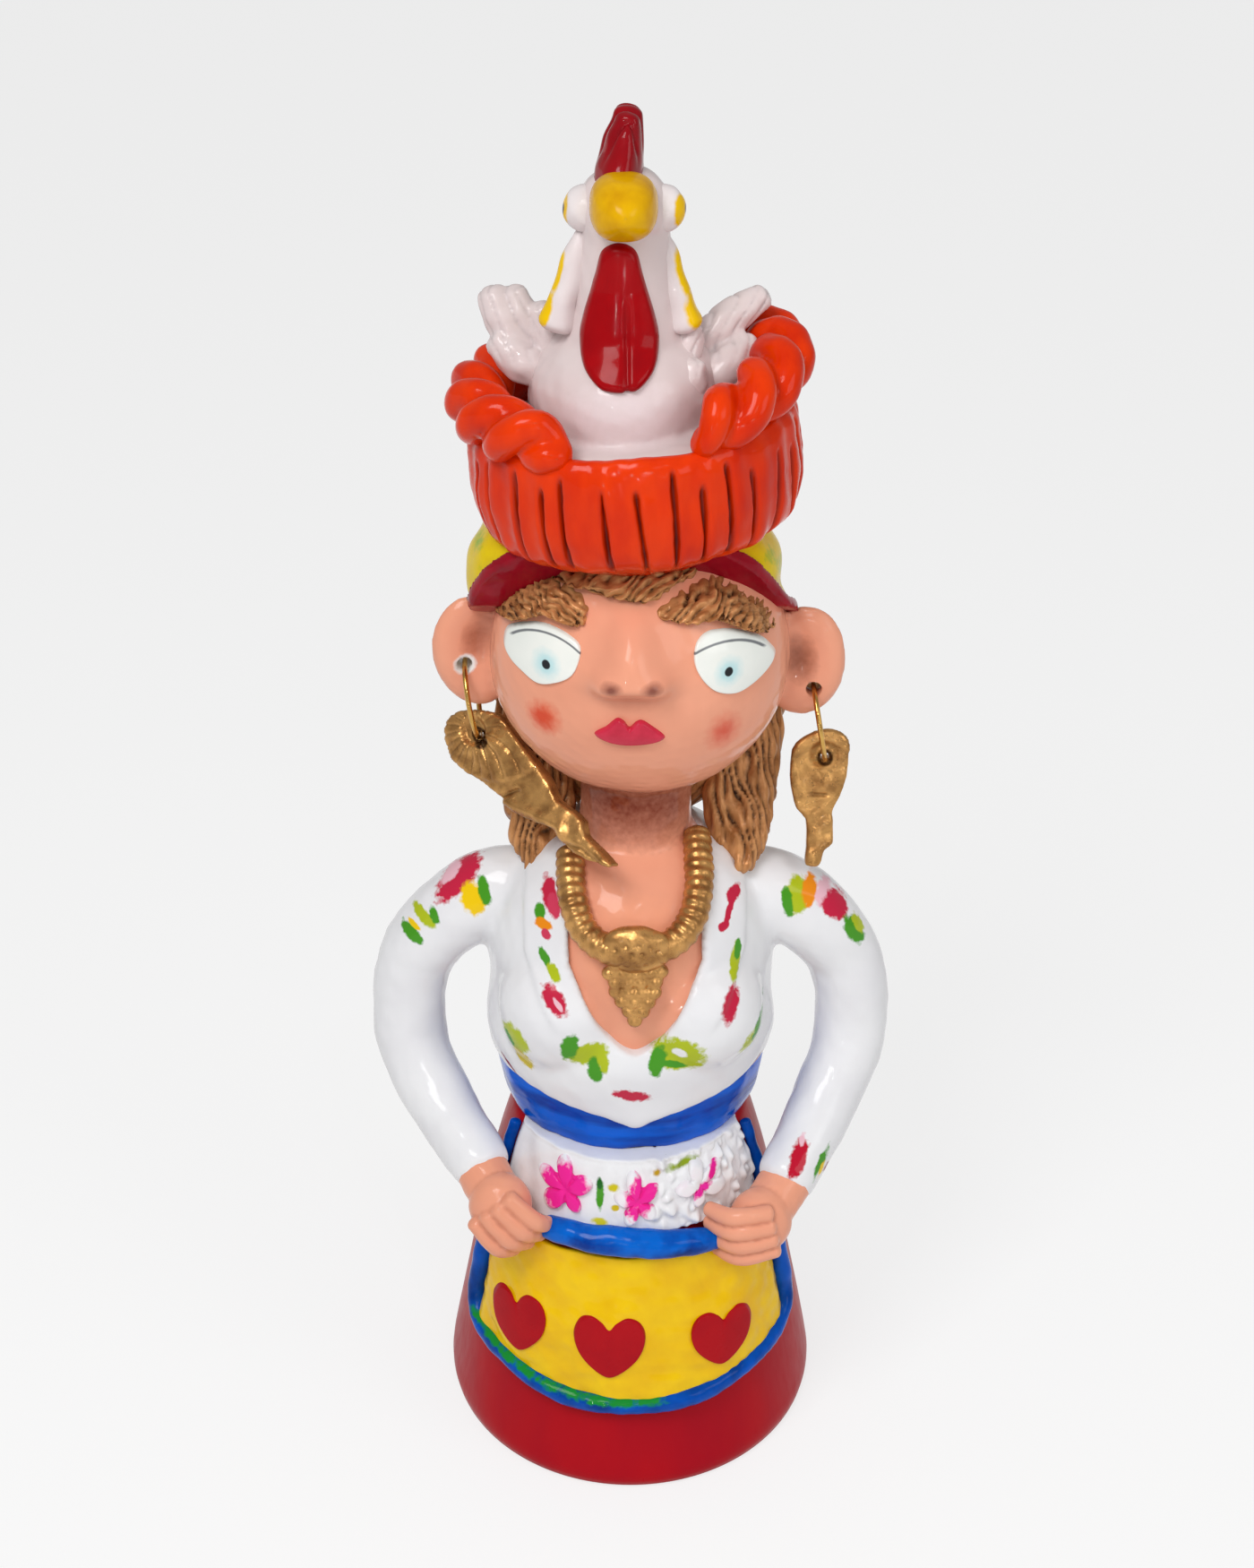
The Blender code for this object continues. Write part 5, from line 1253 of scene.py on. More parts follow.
@dataclass
class Bodice:
    """The white blouse with its sleeves and painted flowers, and the blue waistband."""

    form: TorsoForm
    band_height: float = 10.0
    band_rise: float = 3.0
    band_thickness: float = 1.7
    placket_width: float = 7.0
    arm: tuple[Station, ...] = (
        (13.0, 0.0, 103.8, 6.5),
        (23.9, 0.5, 102.8, 7.5),
        (32.8, 1.0, 96.3, 7.15),
        (38.4, 2.0, 87.2, 6.7),
        (39.6, 0.5, 73.0, 6.5),
    )
    cuffs: tuple[tuple[Station, Station], tuple[Station, Station]] = (
        ((34.3, -7.0, 63.8, 6.05), (26.4, -18.2, 57.3, 5.4)),
        ((34.6, -7.0, 62.2, 6.05), (27.7, -18.2, 54.3, 5.4)),
    )

    def build(self) -> None:
        """Builds the blouse in one piece, then the band."""
        form = self.form
        lumps = [form.trunk(0.0, lip=2.5), *form.breasts(0.0)]
        for side in Side:
            stations = [*self.arm, *side.of(self.cuffs)]
            lumps.append(Clay.coil([(side.value * x, y, z, r) for x, y, z, r in stations], 32, 140))
        obj = Clay.knead(lumps, 0.7, 7)
        point = form.top - form.neck_depth
        rises = np.array([0.0, 0.8, 2.0, 4.0, 7.0, 10.0, 13.0, 16.0, 35.0])
        edge = list(zip(form.neckline(rises), point + rises))
        outline = [(form.neck_centre - x, z) for x, z in reversed(edge[1:])]
        outline += [(form.neck_centre + x, z) for x, z in edge]
        Clay.trim(obj, Clay.prism(outline, -60.0, 0.0))
        Clay.knead([obj], 0.6, 3)
        Clay.sculpt(obj, self._press)
        nodes = ["blouse", "left_sleeve", "right_sleeve", "left_placket", "right_placket"]
        self._paint().dress(obj, "blouse_and_sleeves", "cloth_white", nodes)
        self._band()

    def _press(self, p: Array, n: Array) -> Array:
        """The raised bands beside the neckline, and the marks of fingers.

        Args:
            p: the surface's points.
            n: the way they face.

        Returns:
            How far out each point goes.
        """
        form = self.form
        beside = np.abs(p[:, 0] - form.neck_centre) - form.neckline(p[:, 2] - form.top + form.neck_depth)
        outside = ramp(self.placket_width - 0.5, self.placket_width + 0.9, beside)
        band = ramp(-0.6, 0.4, beside) * (1 - outside)
        band *= ramp(88.0, 93.0, p[:, 2]) * ramp(0.0, 0.4, -n[:, 1]) * (np.abs(p[:, 0]) < 22)
        return 0.6 * band + 0.16 * uneven(p, 11.0, 21) + 0.05 * uneven(p, 3.5, 22)

    def _paint(self) -> Paint:
        """The white of the blouse with every daub on it."""
        daubs = []
        for colour, at, wide, tall, lean in BLOUSE_STROKES:
            daubs.append(Daub(colour, at, (1.2 * wide, 6.0, 1.15 * tall), lean, 0.8, 0.25))
        return Paint(
            "blouse_white", WHITE, (226, 225, 229), 12.0, 0.45,
            coat=0.3, relief=0.08, grain=2.0, daubs=tuple(daubs),
        )

    def _band(self) -> None:
        """The blue waistband."""
        form = self.form

        def place(u: Array, v: Array) -> Array:
            """A flat oval section carried round the waist."""
            turn = 2 * math.pi * v
            angle = 2 * math.pi * u
            rise = np.sign(np.sin(turn)) * np.abs(np.sin(turn)) ** 0.6
            out = np.sign(np.cos(turn)) * np.abs(np.cos(turn)) ** 0.6
            beside = ramp(0.35, 0.95, np.abs(np.sin(angle))) * ramp(-0.4, 0.0, np.cos(angle))
            tall = self.band_height + self.band_rise * beside
            height = form.base + tall * (0.5 + 0.5 * rise)
            radius = form.radius(height) + 0.3 + self.band_thickness * (0.35 + 0.65 * out)
            return np.stack([radius * np.sin(angle), -radius * np.cos(angle) * form.depth, height], axis=1)

        obj = Clay.sheet(200, 40, place)
        Clay.dimple(obj, (0.18, 8.0, 31), (0.06, 3.0, 32))
        paint = Paint(
            "trim_blue", (0, 96, 214), (0, 52, 150), 3.2, 0.8,
            rough=0.16, coat=0.17, relief=0.3, stretch=(4, 4, 1),
        )
        paint.dress(obj, "waistband_strip", "trim_blue", ["waistband"])


@dataclass
class Hands:
    """The two hands that hold the apron's hem."""

    paint: Paint
    palm: Point = (5.6, 5.0, 6.2)
    finger: float = 1.62
    pitch: float = 2.95
    centres: tuple[Point, Point] = ((-22.8, -24.6, 53.2), (22.9, -24.6, 50.0))
    wrists: tuple[Point, Point] = ((-26.6, -18.2, 57.0), (27.9, -18.2, 54.2))
    turns: Flat = (50.0, 10.0)

    def build(self) -> None:
        """Presses four fingers on each palm."""
        for side in Side:
            s = side.value
            middle = np.array(side.of(self.centres))
            turn = math.radians(side.of(self.turns))
            reach = np.array((-s * math.cos(turn), 0.0, -math.sin(turn)))
            across = np.array((-s * reach[2], 0.0, s * reach[0]))
            lumps = [Clay.ball(middle, self.palm)]
            lumps.append(Clay.coil([(*side.of(self.wrists), 4.7), (*middle, 4.6)], 24, 40))
            for number in range(4):
                shift = across * self.pitch * (number - 1.5)
                bow = 0.5 * abs(number - 1.5)
                knuckle = middle + shift * 0.9 - reach * 2.0 + np.array((0.0, -4.5 + bow, 0.0))
                bend = middle + shift + reach * 4.4 + np.array((0.0, -4.7 + bow, 0.0))
                tip = middle + shift * 0.95 + reach * (9.2 - bow) + np.array((0.0, -0.4, 0.0))
                lumps.append(Clay.coil([(*knuckle, 1.5), (*bend, self.finger), (*tip, 1.4)], 16, 50))
            obj = Clay.knead(lumps, 0.3, 2)
            # painted shade in the creases between the fingers, from the skin's hollow shade colour
            Clay.mark(Clay.dimple(obj, (0.04, 2.4, 45)), gain=14.0)
            self.paint.dress(obj, f"{side.word}_hand_clay", "skin", [f"{side.word}_hand"])


@dataclass
class HeadForm:
    """The egg of the head."""

    centre: Point = (1.5, -1.0, 149.3)
    radii: Point = (25.0, 22.0, 24.0)

    def front(self, x: Array, z: Array, lift: Amount) -> Array:
        """How far forward the face is.

        Args:
            x: places across.
            z: heights.
            lift: away from the face.

        Returns:
            The y of each place.
        """
        wide, deep, tall = (r + lift for r in self.radii)
        rest = 1 - ((x - self.centre[0]) / wide) ** 2 - ((z - self.centre[2]) / tall) ** 2
        return self.centre[1] - deep * np.sqrt(np.clip(rest, 0.0, 1.0))


@dataclass
class Face:
    """The head with its ears, neck and chest, the eyes and the lips."""

    head: HeadForm
    torso: TorsoForm
    ears: tuple[Point, Point] = ((-26.0, 2.5, 147.8), (29.0, 2.5, 145.8))
    ear_radii: Point = (7.2, 3.6, 10.0)
    ear_lean: float = 6.0
    ear_turn: float = 8.0
    holes: tuple[Point, Point] = ((-27.8, 2.5, 146.2), (30.8, 2.5, 141.8))
    hole_radius: float = 1.35
    neck: tuple[Station, ...] = ((0.6, 0.0, 104.0, 12.0), (0.8, -0.6, 116.0, 9.8), (1.2, -1.0, 132.0, 9.6))
    chest_inset: float = 1.25
    nose_reach: float = 4.5
    wing_reach: float = 1.8

    def paint(self) -> Paint:
        """The skin's paint, with blush, painted shade in the hollows, under the nose, at the nostrils, under
        the lips, in the ears, in the right ear's hole and under the chin, and painted light on the chest.
        """
        nose_shadow = (196, 116, 92)
        daubs = (
            Daub((222, 88, 52), (-14.1, -18.4, 145.3), (3.6, 6.0, 3.9), 0, 0.5, 0.7, 0.85),
            Daub((214, 62, 28), (-14.3, -18.4, 145.4), (2.4, 6.0, 2.6), 0, 0.6, 0.7, 0.75),
            Daub((224, 100, 74), (15.2, -19.1, 143.0), (3.8, 6.0, 4.6), 0, 0.5, 0.9, 0.8),
            Daub((214, 76, 54), (14.9, -19.1, 143.2), (2.3, 6.0, 2.8), 0, 0.6, 0.9, 0.6),
            # painted shade under the nose
            Daub(nose_shadow, (0.0, -24.5, 151.3), (7.6, 5.0, 3.2), 0, 0.3, 1.0, 0.6),
            # painted shade at the nostrils, under the nose's wings
            Daub((140, 82, 68), (-3.1, -26.6, 154.4), (2.1, 4.0, 1.4), 0, 0.3, 0.8),
            Daub((140, 82, 68), (3.4, -26.6, 154.4), (2.1, 4.0, 1.4), 0, 0.3, 0.8),
            # painted shade under the lower lip
            Daub((206, 128, 102), (0.0, -22.5, 142.0), (5.5, 4.0, 1.6), 0, 0.3, 1.0, 0.5),
            # painted shade in the hollows of the ears
            Daub((150, 76, 52), (-25.4, -0.5, 150.6), (3.2, 6.0, 5.0), 12, 0.3, 0.9),
            Daub((122, 62, 42), (28.2, -0.5, 147.2), (3.6, 6.0, 5.2), -12, 0.3, 0.9),
            # painted shadow of the chin on the neck
            Daub((124, 50, 26), (1.0, -6.0, 125.0), (14.0, 9.5, 10.5), 0, 0.3, 0.6),
            # painted light on the chest
            Daub((250, 170, 132), (0.8, -22.0, 103.0), (11.0, 12.0, 11.0), 0, 0.3, 0.7, 0.8),
            Daub((238, 236, 234), self.holes[0], (2.3, 5.0, 2.3), 0, 0.3, 0.2),
            # painted shade in the right ear's hole
            Daub((120, 58, 40), self.holes[1], (1.8, 4.4, 1.8), 0, 0.3, 0.3, 0.8),
        )
        return Paint(
            "skin", SKIN, (228, 152, 122), 16.0, 0.45, (170, 92, 68),
            coat=0.24, relief=0.06, grain=2.6, daubs=daubs,
        )

    def build(self) -> None:
        """Works the skin into one piece, then adds the eyes and the lips."""
        lumps = [Clay.ball(self.head.centre, self.head.radii, fine=72)]
        for side in Side:
            turn = (0, side.value * self.ear_lean, -side.value * self.ear_turn)
            lumps.append(Clay.ball(side.of(self.ears), self.ear_radii, turn))
        lumps.append(Clay.coil(self.neck, 40, 60))
        lumps += [self.torso.trunk(-self.chest_inset), *self.torso.breasts(-self.chest_inset)]
        obj = Clay.knead(lumps, 0.6, 6)
        Clay.sculpt(obj, self._dent)
        for hole in self.holes:
            Clay.trim(obj, Clay.rod(hole, self.hole_radius, PIERCING))
        nodes = ["head", "nose", "left_ear", "right_ear", "neck_and_chest"]
        self.paint().dress(obj, "head_and_chest", "skin", nodes)
        self._eyes()
        self._lips()

    def _dent(self, p: Array, n: Array) -> Array:
        """The hollows of the ears and the slight marks of fingers.

        Args:
            p: the surface's points.
            n: the way they face.

        Returns:
            How far out each point goes.
        """
        depth = 0.1 * uneven(p, 12.0, 41) + 0.04 * uneven(p, 2.6, 42) + self._nose(p) * (n[:, 1] < 0)
        for side in Side:
            x, _, z = side.of(self.ears)
            far = ((p[:, 0] - x + side.value * 1.2) / 4.8) ** 2 + ((p[:, 2] - z - 2.6) / 6.2) ** 2
            facing = ramp(0.1, 0.5, -n[:, 1]) * ramp(22.0, 25.0, np.abs(p[:, 0] - self.head.centre[0]))
            facing *= ramp(-7.0, -3.0, p[:, 1])
            depth -= 2.6 * np.exp(-far) * facing
        return depth

    def _nose(self, p: Array) -> Array:
        """How far the nose stands out: a soft wedge with two round wings."""
        across, z = p[:, 0] - 0.2, p[:, 2]
        width = 3.7 + 1.5 * ramp(162.0, 153.0, z)
        wedge = bell(across / width) * ramp(168.5, 154.6, z) * ramp(150.4, 153.6, z)
        wings = np.exp(-(((np.abs(across) - 4.0) / 2.2) ** 2) - ((z - 153.2) / 1.9) ** 2)
        return self.nose_reach * wedge + self.wing_reach * wings

    def _eyes(self) -> None:
        """White eyes with a pale iris, a dark pupil and the line of the lid."""
        left = [
            (-20.7, 155.3), (-19.8, 158.0), (-16.3, 160.2), (-13.0, 160.8), (-9.8, 160.1), (-7.9, 158.8),
            (-8.1, 156.4), (-9.4, 153.9), (-12.1, 152.2), (-15.0, 151.4), (-17.7, 152.5), (-19.8, 153.7),
        ]
        right = [
            (9.9, 157.8), (10.6, 159.8), (12.8, 160.8), (16.8, 160.0), (20.8, 157.6), (23.1, 154.8),
            (23.5, 153.3), (22.3, 152.0), (19.6, 150.6), (16.9, 150.0), (13.8, 151.0), (11.6, 153.1),
            (10.2, 155.6),
        ]
        looks = (
            (Side.LEFT, left, (-13.5, -18.4, 155.2), (-13.4, 151.3, 8.5, 157.2)),
            (Side.RIGHT, right, (15.6, -19.2, 154.3), (14.5, 149.0, 9.95, 155.8)),
        )
        for side, outline, pupil, (x, z, reach, above) in looks:
            obj = Clay.pillow(outline, self.head.front, 0.55, sunk=0.8, dome=0.6, edge=0.06)
            daubs = (
                Daub((196, 226, 228), pupil, (2.7, 9.0, 2.8), 0, 0.3, 0.6, 0.9),
                Daub((176, 216, 220), pupil, (1.7, 9.0, 1.8), 0, 0.3, 0.6, 0.6),
                Daub((24, 26, 30), pupil, (0.74, 9.0, 0.82), 0, 0.12, 0.18),
                Daub((96, 100, 106), (x, -16.0, z), (reach, 90.0, reach), 0, 0.25, 0.6, 0.9, 0.026, above),
            )
            paint = Paint(
                f"eye_white_{side.word}", (238, 240, 234), (228, 234, 228), 6.0, 0.4,
                rough=0.14, coat=0.5, relief=0.04, daubs=daubs,
            )
            paint.dress(obj, f"{side.word}_eye_white", "eye_white", [f"{side.word}_eye"])

    def _lips(self) -> None:
        """The small bowed mouth."""
        outline = [
            (-5.9, 144.3), (-3.9, 146.0), (-2.3, 147.6), (-1.2, 147.3), (-0.2, 146.2), (0.9, 147.2),
            (1.9, 147.4), (3.6, 146.2), (5.6, 144.1), (3.9, 143.0), (-0.6, 142.5), (-4.0, 143.0),
        ]
        obj = Clay.pillow(outline, self.head.front, 0.75, sunk=0.8, dome=0.7, edge=0.12)
        paint = Paint("lip_red", (206, 44, 72), (186, 32, 58), 3.0, 0.6, rough=0.16, coat=0.4, relief=0.06)
        paint.dress(obj, "mouth", "lip_red", ["lips"])


@dataclass
class Hair:
    """The brows, the fringe, the hair at the nape and a lock over each shoulder."""

    head: HeadForm
    nape: Point = (1.5, 11.0, 132.3)
    nape_radii: Point = (20.5, 13.0, 20.0)
    lock_radius: float = 4.3

    def paint(self, name: str, turn: Point) -> Paint:
        """Brown paint with gold brushed over the ridges, which run the way of turn, and painted shade in the
        grooves between them.
        """
        return Paint(
            name, (204, 146, 94), (158, 104, 60), 1.5, 0.9, (54, 30, 17),
            rough=0.24, coat=0.12, metal=0.15, relief=0.5, grain=0.8, stretch=(1, 1, 5), turn=turn,
        )

    def build(self) -> None:
        """Builds the hair from the brows to the nape."""
        self._brows()
        self._fringe()
        self._nape()
        self._locks()

    @staticmethod
    def strands(lean: float, pitch: float, depth: float, seed: int) -> Mover:
        """Ridges of hair on the front of the head.

        Args:
            lean: the way the strands run from upright, in degrees.
            pitch: distance from strand to strand.
            depth: how deep they are combed.
            seed: which of many heads of hair.

        Returns:
            What presses them in.
        """
        side = np.array((math.cos(math.radians(lean)), 0.15, -math.sin(math.radians(lean))))

        def press(p: Array, n: Array) -> Array:
            """Grooves between the strands."""
            phase = p @ side * math.pi / pitch + 2.2 * uneven(p, 4.0 * pitch, seed)
            groove = (1 - np.abs(np.sin(phase))) * (1.0 + 0.6 * uneven(p, 3.0, seed + 1))
            return depth * (0.3 * uneven(p, 2.2, seed + 2) - groove)

        return press

    def _brows(self) -> None:
        """Two thick brows, combed outwards."""
        right = [
            (3.7, 163.6), (6.4, 162.7), (9.4, 162.3), (12.4, 162.3), (15.9, 161.6), (19.4, 159.9),
            (22.4, 157.7), (23.8, 157.4), (23.4, 159.2), (21.4, 161.8), (18.4, 164.3), (14.9, 166.9),
            (12.4, 167.8), (9.4, 167.0), (6.4, 166.0), (4.4, 164.9),
        ]
        left = [
            (-7.3, 161.6), (-6.4, 163.4), (-6.7, 164.9), (-8.1, 166.0), (-10.6, 166.8), (-14.1, 166.4),
            (-17.1, 164.9), (-19.6, 162.9), (-22.0, 159.6), (-22.6, 158.2), (-21.4, 159.0),
            (-19.1, 161.2), (-16.6, 162.4), (-14.1, 162.8), (-11.4, 162.4), (-9.1, 161.7),
        ]
        for side, outline, lean in ((Side.LEFT, left, -50.0), (Side.RIGHT, right, 58.0)):
            obj = Clay.pillow(outline, self.head.front, 1.3, sunk=1.0, dome=0.6, edge=0.25)
            Clay.mark(Clay.sculpt(obj, self.strands(lean, 1.25, 0.75, 51)), gain=9.0)
            paint = self.paint(f"hair_brown_{side.word}_brow", (0, lean, 0))
            paint.dress(obj, f"{side.word}_brow_hair", "hair_brown", [f"{side.word}_brow"])

    def _fringe(self) -> None:
        """The fringe between the brows, under the basket."""
        outline = [
            (-14.7, 166.5), (-9.1, 166.6), (-5.9, 165.9), (-2.0, 165.5), (2.5, 164.9), (4.9, 165.7),
            (7.9, 167.2), (10.8, 168.0), (12.3, 169.4), (8.0, 171.0), (2.0, 172.4), (-4.0, 172.4),
            (-9.0, 171.2), (-13.5, 168.9),
        ]
        obj = Clay.pillow(outline, self.head.front, 1.1, sunk=1.2, dome=1.4, edge=0.3)
        Clay.mark(Clay.sculpt(obj, self.strands(58.0, 1.25, 0.7, 61)), gain=9.0)
        self.paint("hair_brown_fringe", (0, 58, 0)).dress(obj, "fringe_hair", "hair_brown", ["fringe"])

    def _nape(self) -> None:
        """The mass of hair at the nape, combed downwards."""
        obj = Clay.knead([Clay.ball(self.nape, self.nape_radii, fine=72)], 0.55, 1)
        x, y, _ = self.nape

        def comb(p: Array, n: Array) -> Array:
            """Wavy grooves from the crown down."""
            around = np.arctan2(p[:, 0] - x, p[:, 1] - y + 6.0)
            phase = 13 * around + 1.5 * uneven(p, 12.0, 71) + 0.12 * p[:, 2]
            return -0.8 * (1 - np.abs(np.sin(phase))) ** 1.4 + 0.25 * uneven(p, 4.0, 72)

        Clay.mark(Clay.sculpt(obj, comb), gain=5.0)
        self.paint("hair_brown", (0, 0, 0)).dress(obj, "nape_hair", "hair_brown", ["back_hair"])

    def _locks(self) -> None:
        """A lock over each shoulder."""
        outer = [
            (21.6, 10.0, 138.3, 0.8), (20.6, 8.5, 130.3, 1.05), (19.2, 4.5, 121.5, 1.1),
            (18.4, -1.6, 114.3, 0.9), (17.6, -5.6, 110.6, 0.5),
        ]
        inner = [
            (17.0, 10.0, 136.0, 0.9), (15.5, 6.0, 127.0, 1.0), (14.6, 2.0, 119.5, 0.9),
            (15.0, -2.4, 113.6, 0.6),
        ]
        for side in Side:
            s = side.value
            strands = []
            for rows in (outer, inner):
                stations = [(self.head.centre[0] + s * x, y, z, self.lock_radius * r) for x, y, z, r in rows]
                strands.append(Clay.coil(stations, 28, 90))
            obj = Clay.knead(strands, 0.42, 1)

            def comb(p: Array, n: Array, s: int = s) -> Array:
                """Grooves down the lock."""
                phase = (p[:, 0] * 0.9 + p[:, 1] * 0.5 * s) * 2.0 + 1.4 * uneven(p, 7.0, 81 + s)
                groove = (1 - np.abs(np.sin(phase))) * (1.3 + 0.7 * uneven(p, 5.0, 85))
                return 0.2 * uneven(p, 3.0, 83) - 0.65 * groove

            Clay.mark(Clay.sculpt(obj, comb), gain=9.0)
            paint = self.paint("hair_brown", (0, 0, 0))
            paint.dress(obj, f"{side.word}_lock_hair", "hair_brown", [f"{side.word}_lock"])


@dataclass
class Kerchief:
    """The yellow kerchief with its red border and the tail at the nape."""

    head: HeadForm
    bulge: Point = (-1.0, 1.5, 162.0)
    bulge_radii: Point = (25.8, 22.5, 22.5)
    thickness: float = 1.6
    edges: tuple[tuple[Point, float], ...] = (((1.5, -14.0, 173.3), 55.0), ((1.5, -3.5, 159.4), 30.0))
    border_width: float = 1.9
    top: float = 176.0

    def _wrap(self, grow: float, beyond: float) -> Piece:
        """The shape of the wrapped cloth, cut off before the ears and behind them.

        Args:
            grow: how far it is grown outwards.
            beyond: how far beyond the edges it is cut.

        Returns:
            The shape.
        """
        over = [r + self.thickness + grow for r in self.head.radii]
        full = [r + grow for r in self.bulge_radii]
        lumps = [Clay.ball(self.head.centre, over, fine=72), Clay.ball(self.bulge, full, fine=72)]
        obj = Clay.knead(lumps, 0.7, 5)
        for point, slope in self.edges:
            normal = np.array((0.0, -math.sin(math.radians(slope)), -math.cos(math.radians(slope))))
            Clay.slice(obj, tuple(np.asarray(point) + normal * beyond), tuple(normal))
        return Clay.slice(obj, (0, 0, self.top), (0, 0, 1))

    @staticmethod
    def _folds(p: Array, n: Array) -> Array:
        """Soft folds round the head."""
        return 0.35 * np.sin(p[:, 2] * 0.5 + 2.2 * uneven(p, 22.0, 91)) + 0.15 * uneven(p, 6.0, 92)

    def build(self) -> None:
        """Wraps the cloth, then the border and the tail."""
        cloth = Clay.sculpt(Clay.knead([self._wrap(0.0, 0.0)], 0.6, 2), self._folds)
        green = (126, 176, 20)
        marks = [
            (-22.6, -4.0, 166.4), (-24.0, -1.5, 169.4), (23.6, -6.4, 168.4), (25.4, -3.0, 166.0),
            (26.6, 4.0, 160.0), (-23.5, 5.0, 160.5), (-20.5, 14.0, 166.0), (22.0, 14.5, 165.0),
            (-8.0, 23.0, 160.0), (10.0, 23.0, 158.0), (1.0, 23.5, 167.0), (-15.0, 19.5, 153.0),
            (17.0, 19.0, 151.5), (2.0, 22.5, 150.0),
        ]
        daubs = []
        for number, mark in enumerate(marks):
            daubs.append(Daub(green, mark, (2.4, 4.0, 1.7), 25 * (-1) ** number, 1.6, 0.8, 0.9))
        paint = Paint(
            "kerchief_yellow", (230, 202, 9), (212, 176, 8), 7.0, 0.6,
            rough=0.22, coat=0.11, relief=0.15, daubs=tuple(daubs),
        )
        paint.dress(cloth, "kerchief_cloth", "kerchief_yellow", ["kerchief"])
        half = self.border_width / 2
        border = Clay.trim(self._wrap(0.8, half), self._wrap(1.8, -half))
        Clay.dimple(Clay.knead([border], 0.45, 3), (0.12, 7.0, 95))
        red = Paint("kerchief_red", (158, 12, 34), (128, 10, 28), 6.0, 0.6, rough=0.18, coat=0.14)
        red.dress(border, "kerchief_edge", "kerchief_red", ["kerchief_border"])
        self._tail(paint)

    def _tail(self, paint: Paint) -> None:
        """The point of the kerchief that falls on the nape.

        Args:
            paint: the kerchief's finish.
        """
        x, y, z = Hair.nape
        wide, deep, tall = Hair.nape_radii

        def behind(across: Array, height: Array, lift: Amount) -> Array:
            """The back of the nape's hair."""
            rest = 1 - ((across - x) / (wide + lift)) ** 2 - ((height - z) / (tall + lift)) ** 2
            return y + (deep + lift) * np.sqrt(np.clip(rest, 0.0, 1.0))

        half = [(3.0, 120.5), (7.5, 130.0), (12.0, 141.0), (14.5, 149.0), (8.0, 151.3)]
        outline = [(x, 117.3), *[(x + across, height) for across, height in half], (x, 151.6)]
        outline += [(x - across, height) for across, height in reversed(half)]
        obj = Clay.pillow(outline, behind, 0.95, sunk=0.8, dome=0.1, edge=0.1)

        def waves(p: Array, n: Array) -> Array:
            """Waves across the tail, which fade towards its top."""
            return 0.4 * np.sin((p[:, 0] - x) * 0.75 + uneven(p, 14.0, 97)) * ramp(146.0, 138.0, p[:, 2])

        Clay.sculpt(obj, waves)
        paint.dress(obj, "kerchief_tail_cloth", "kerchief_yellow", ["kerchief_tail"])


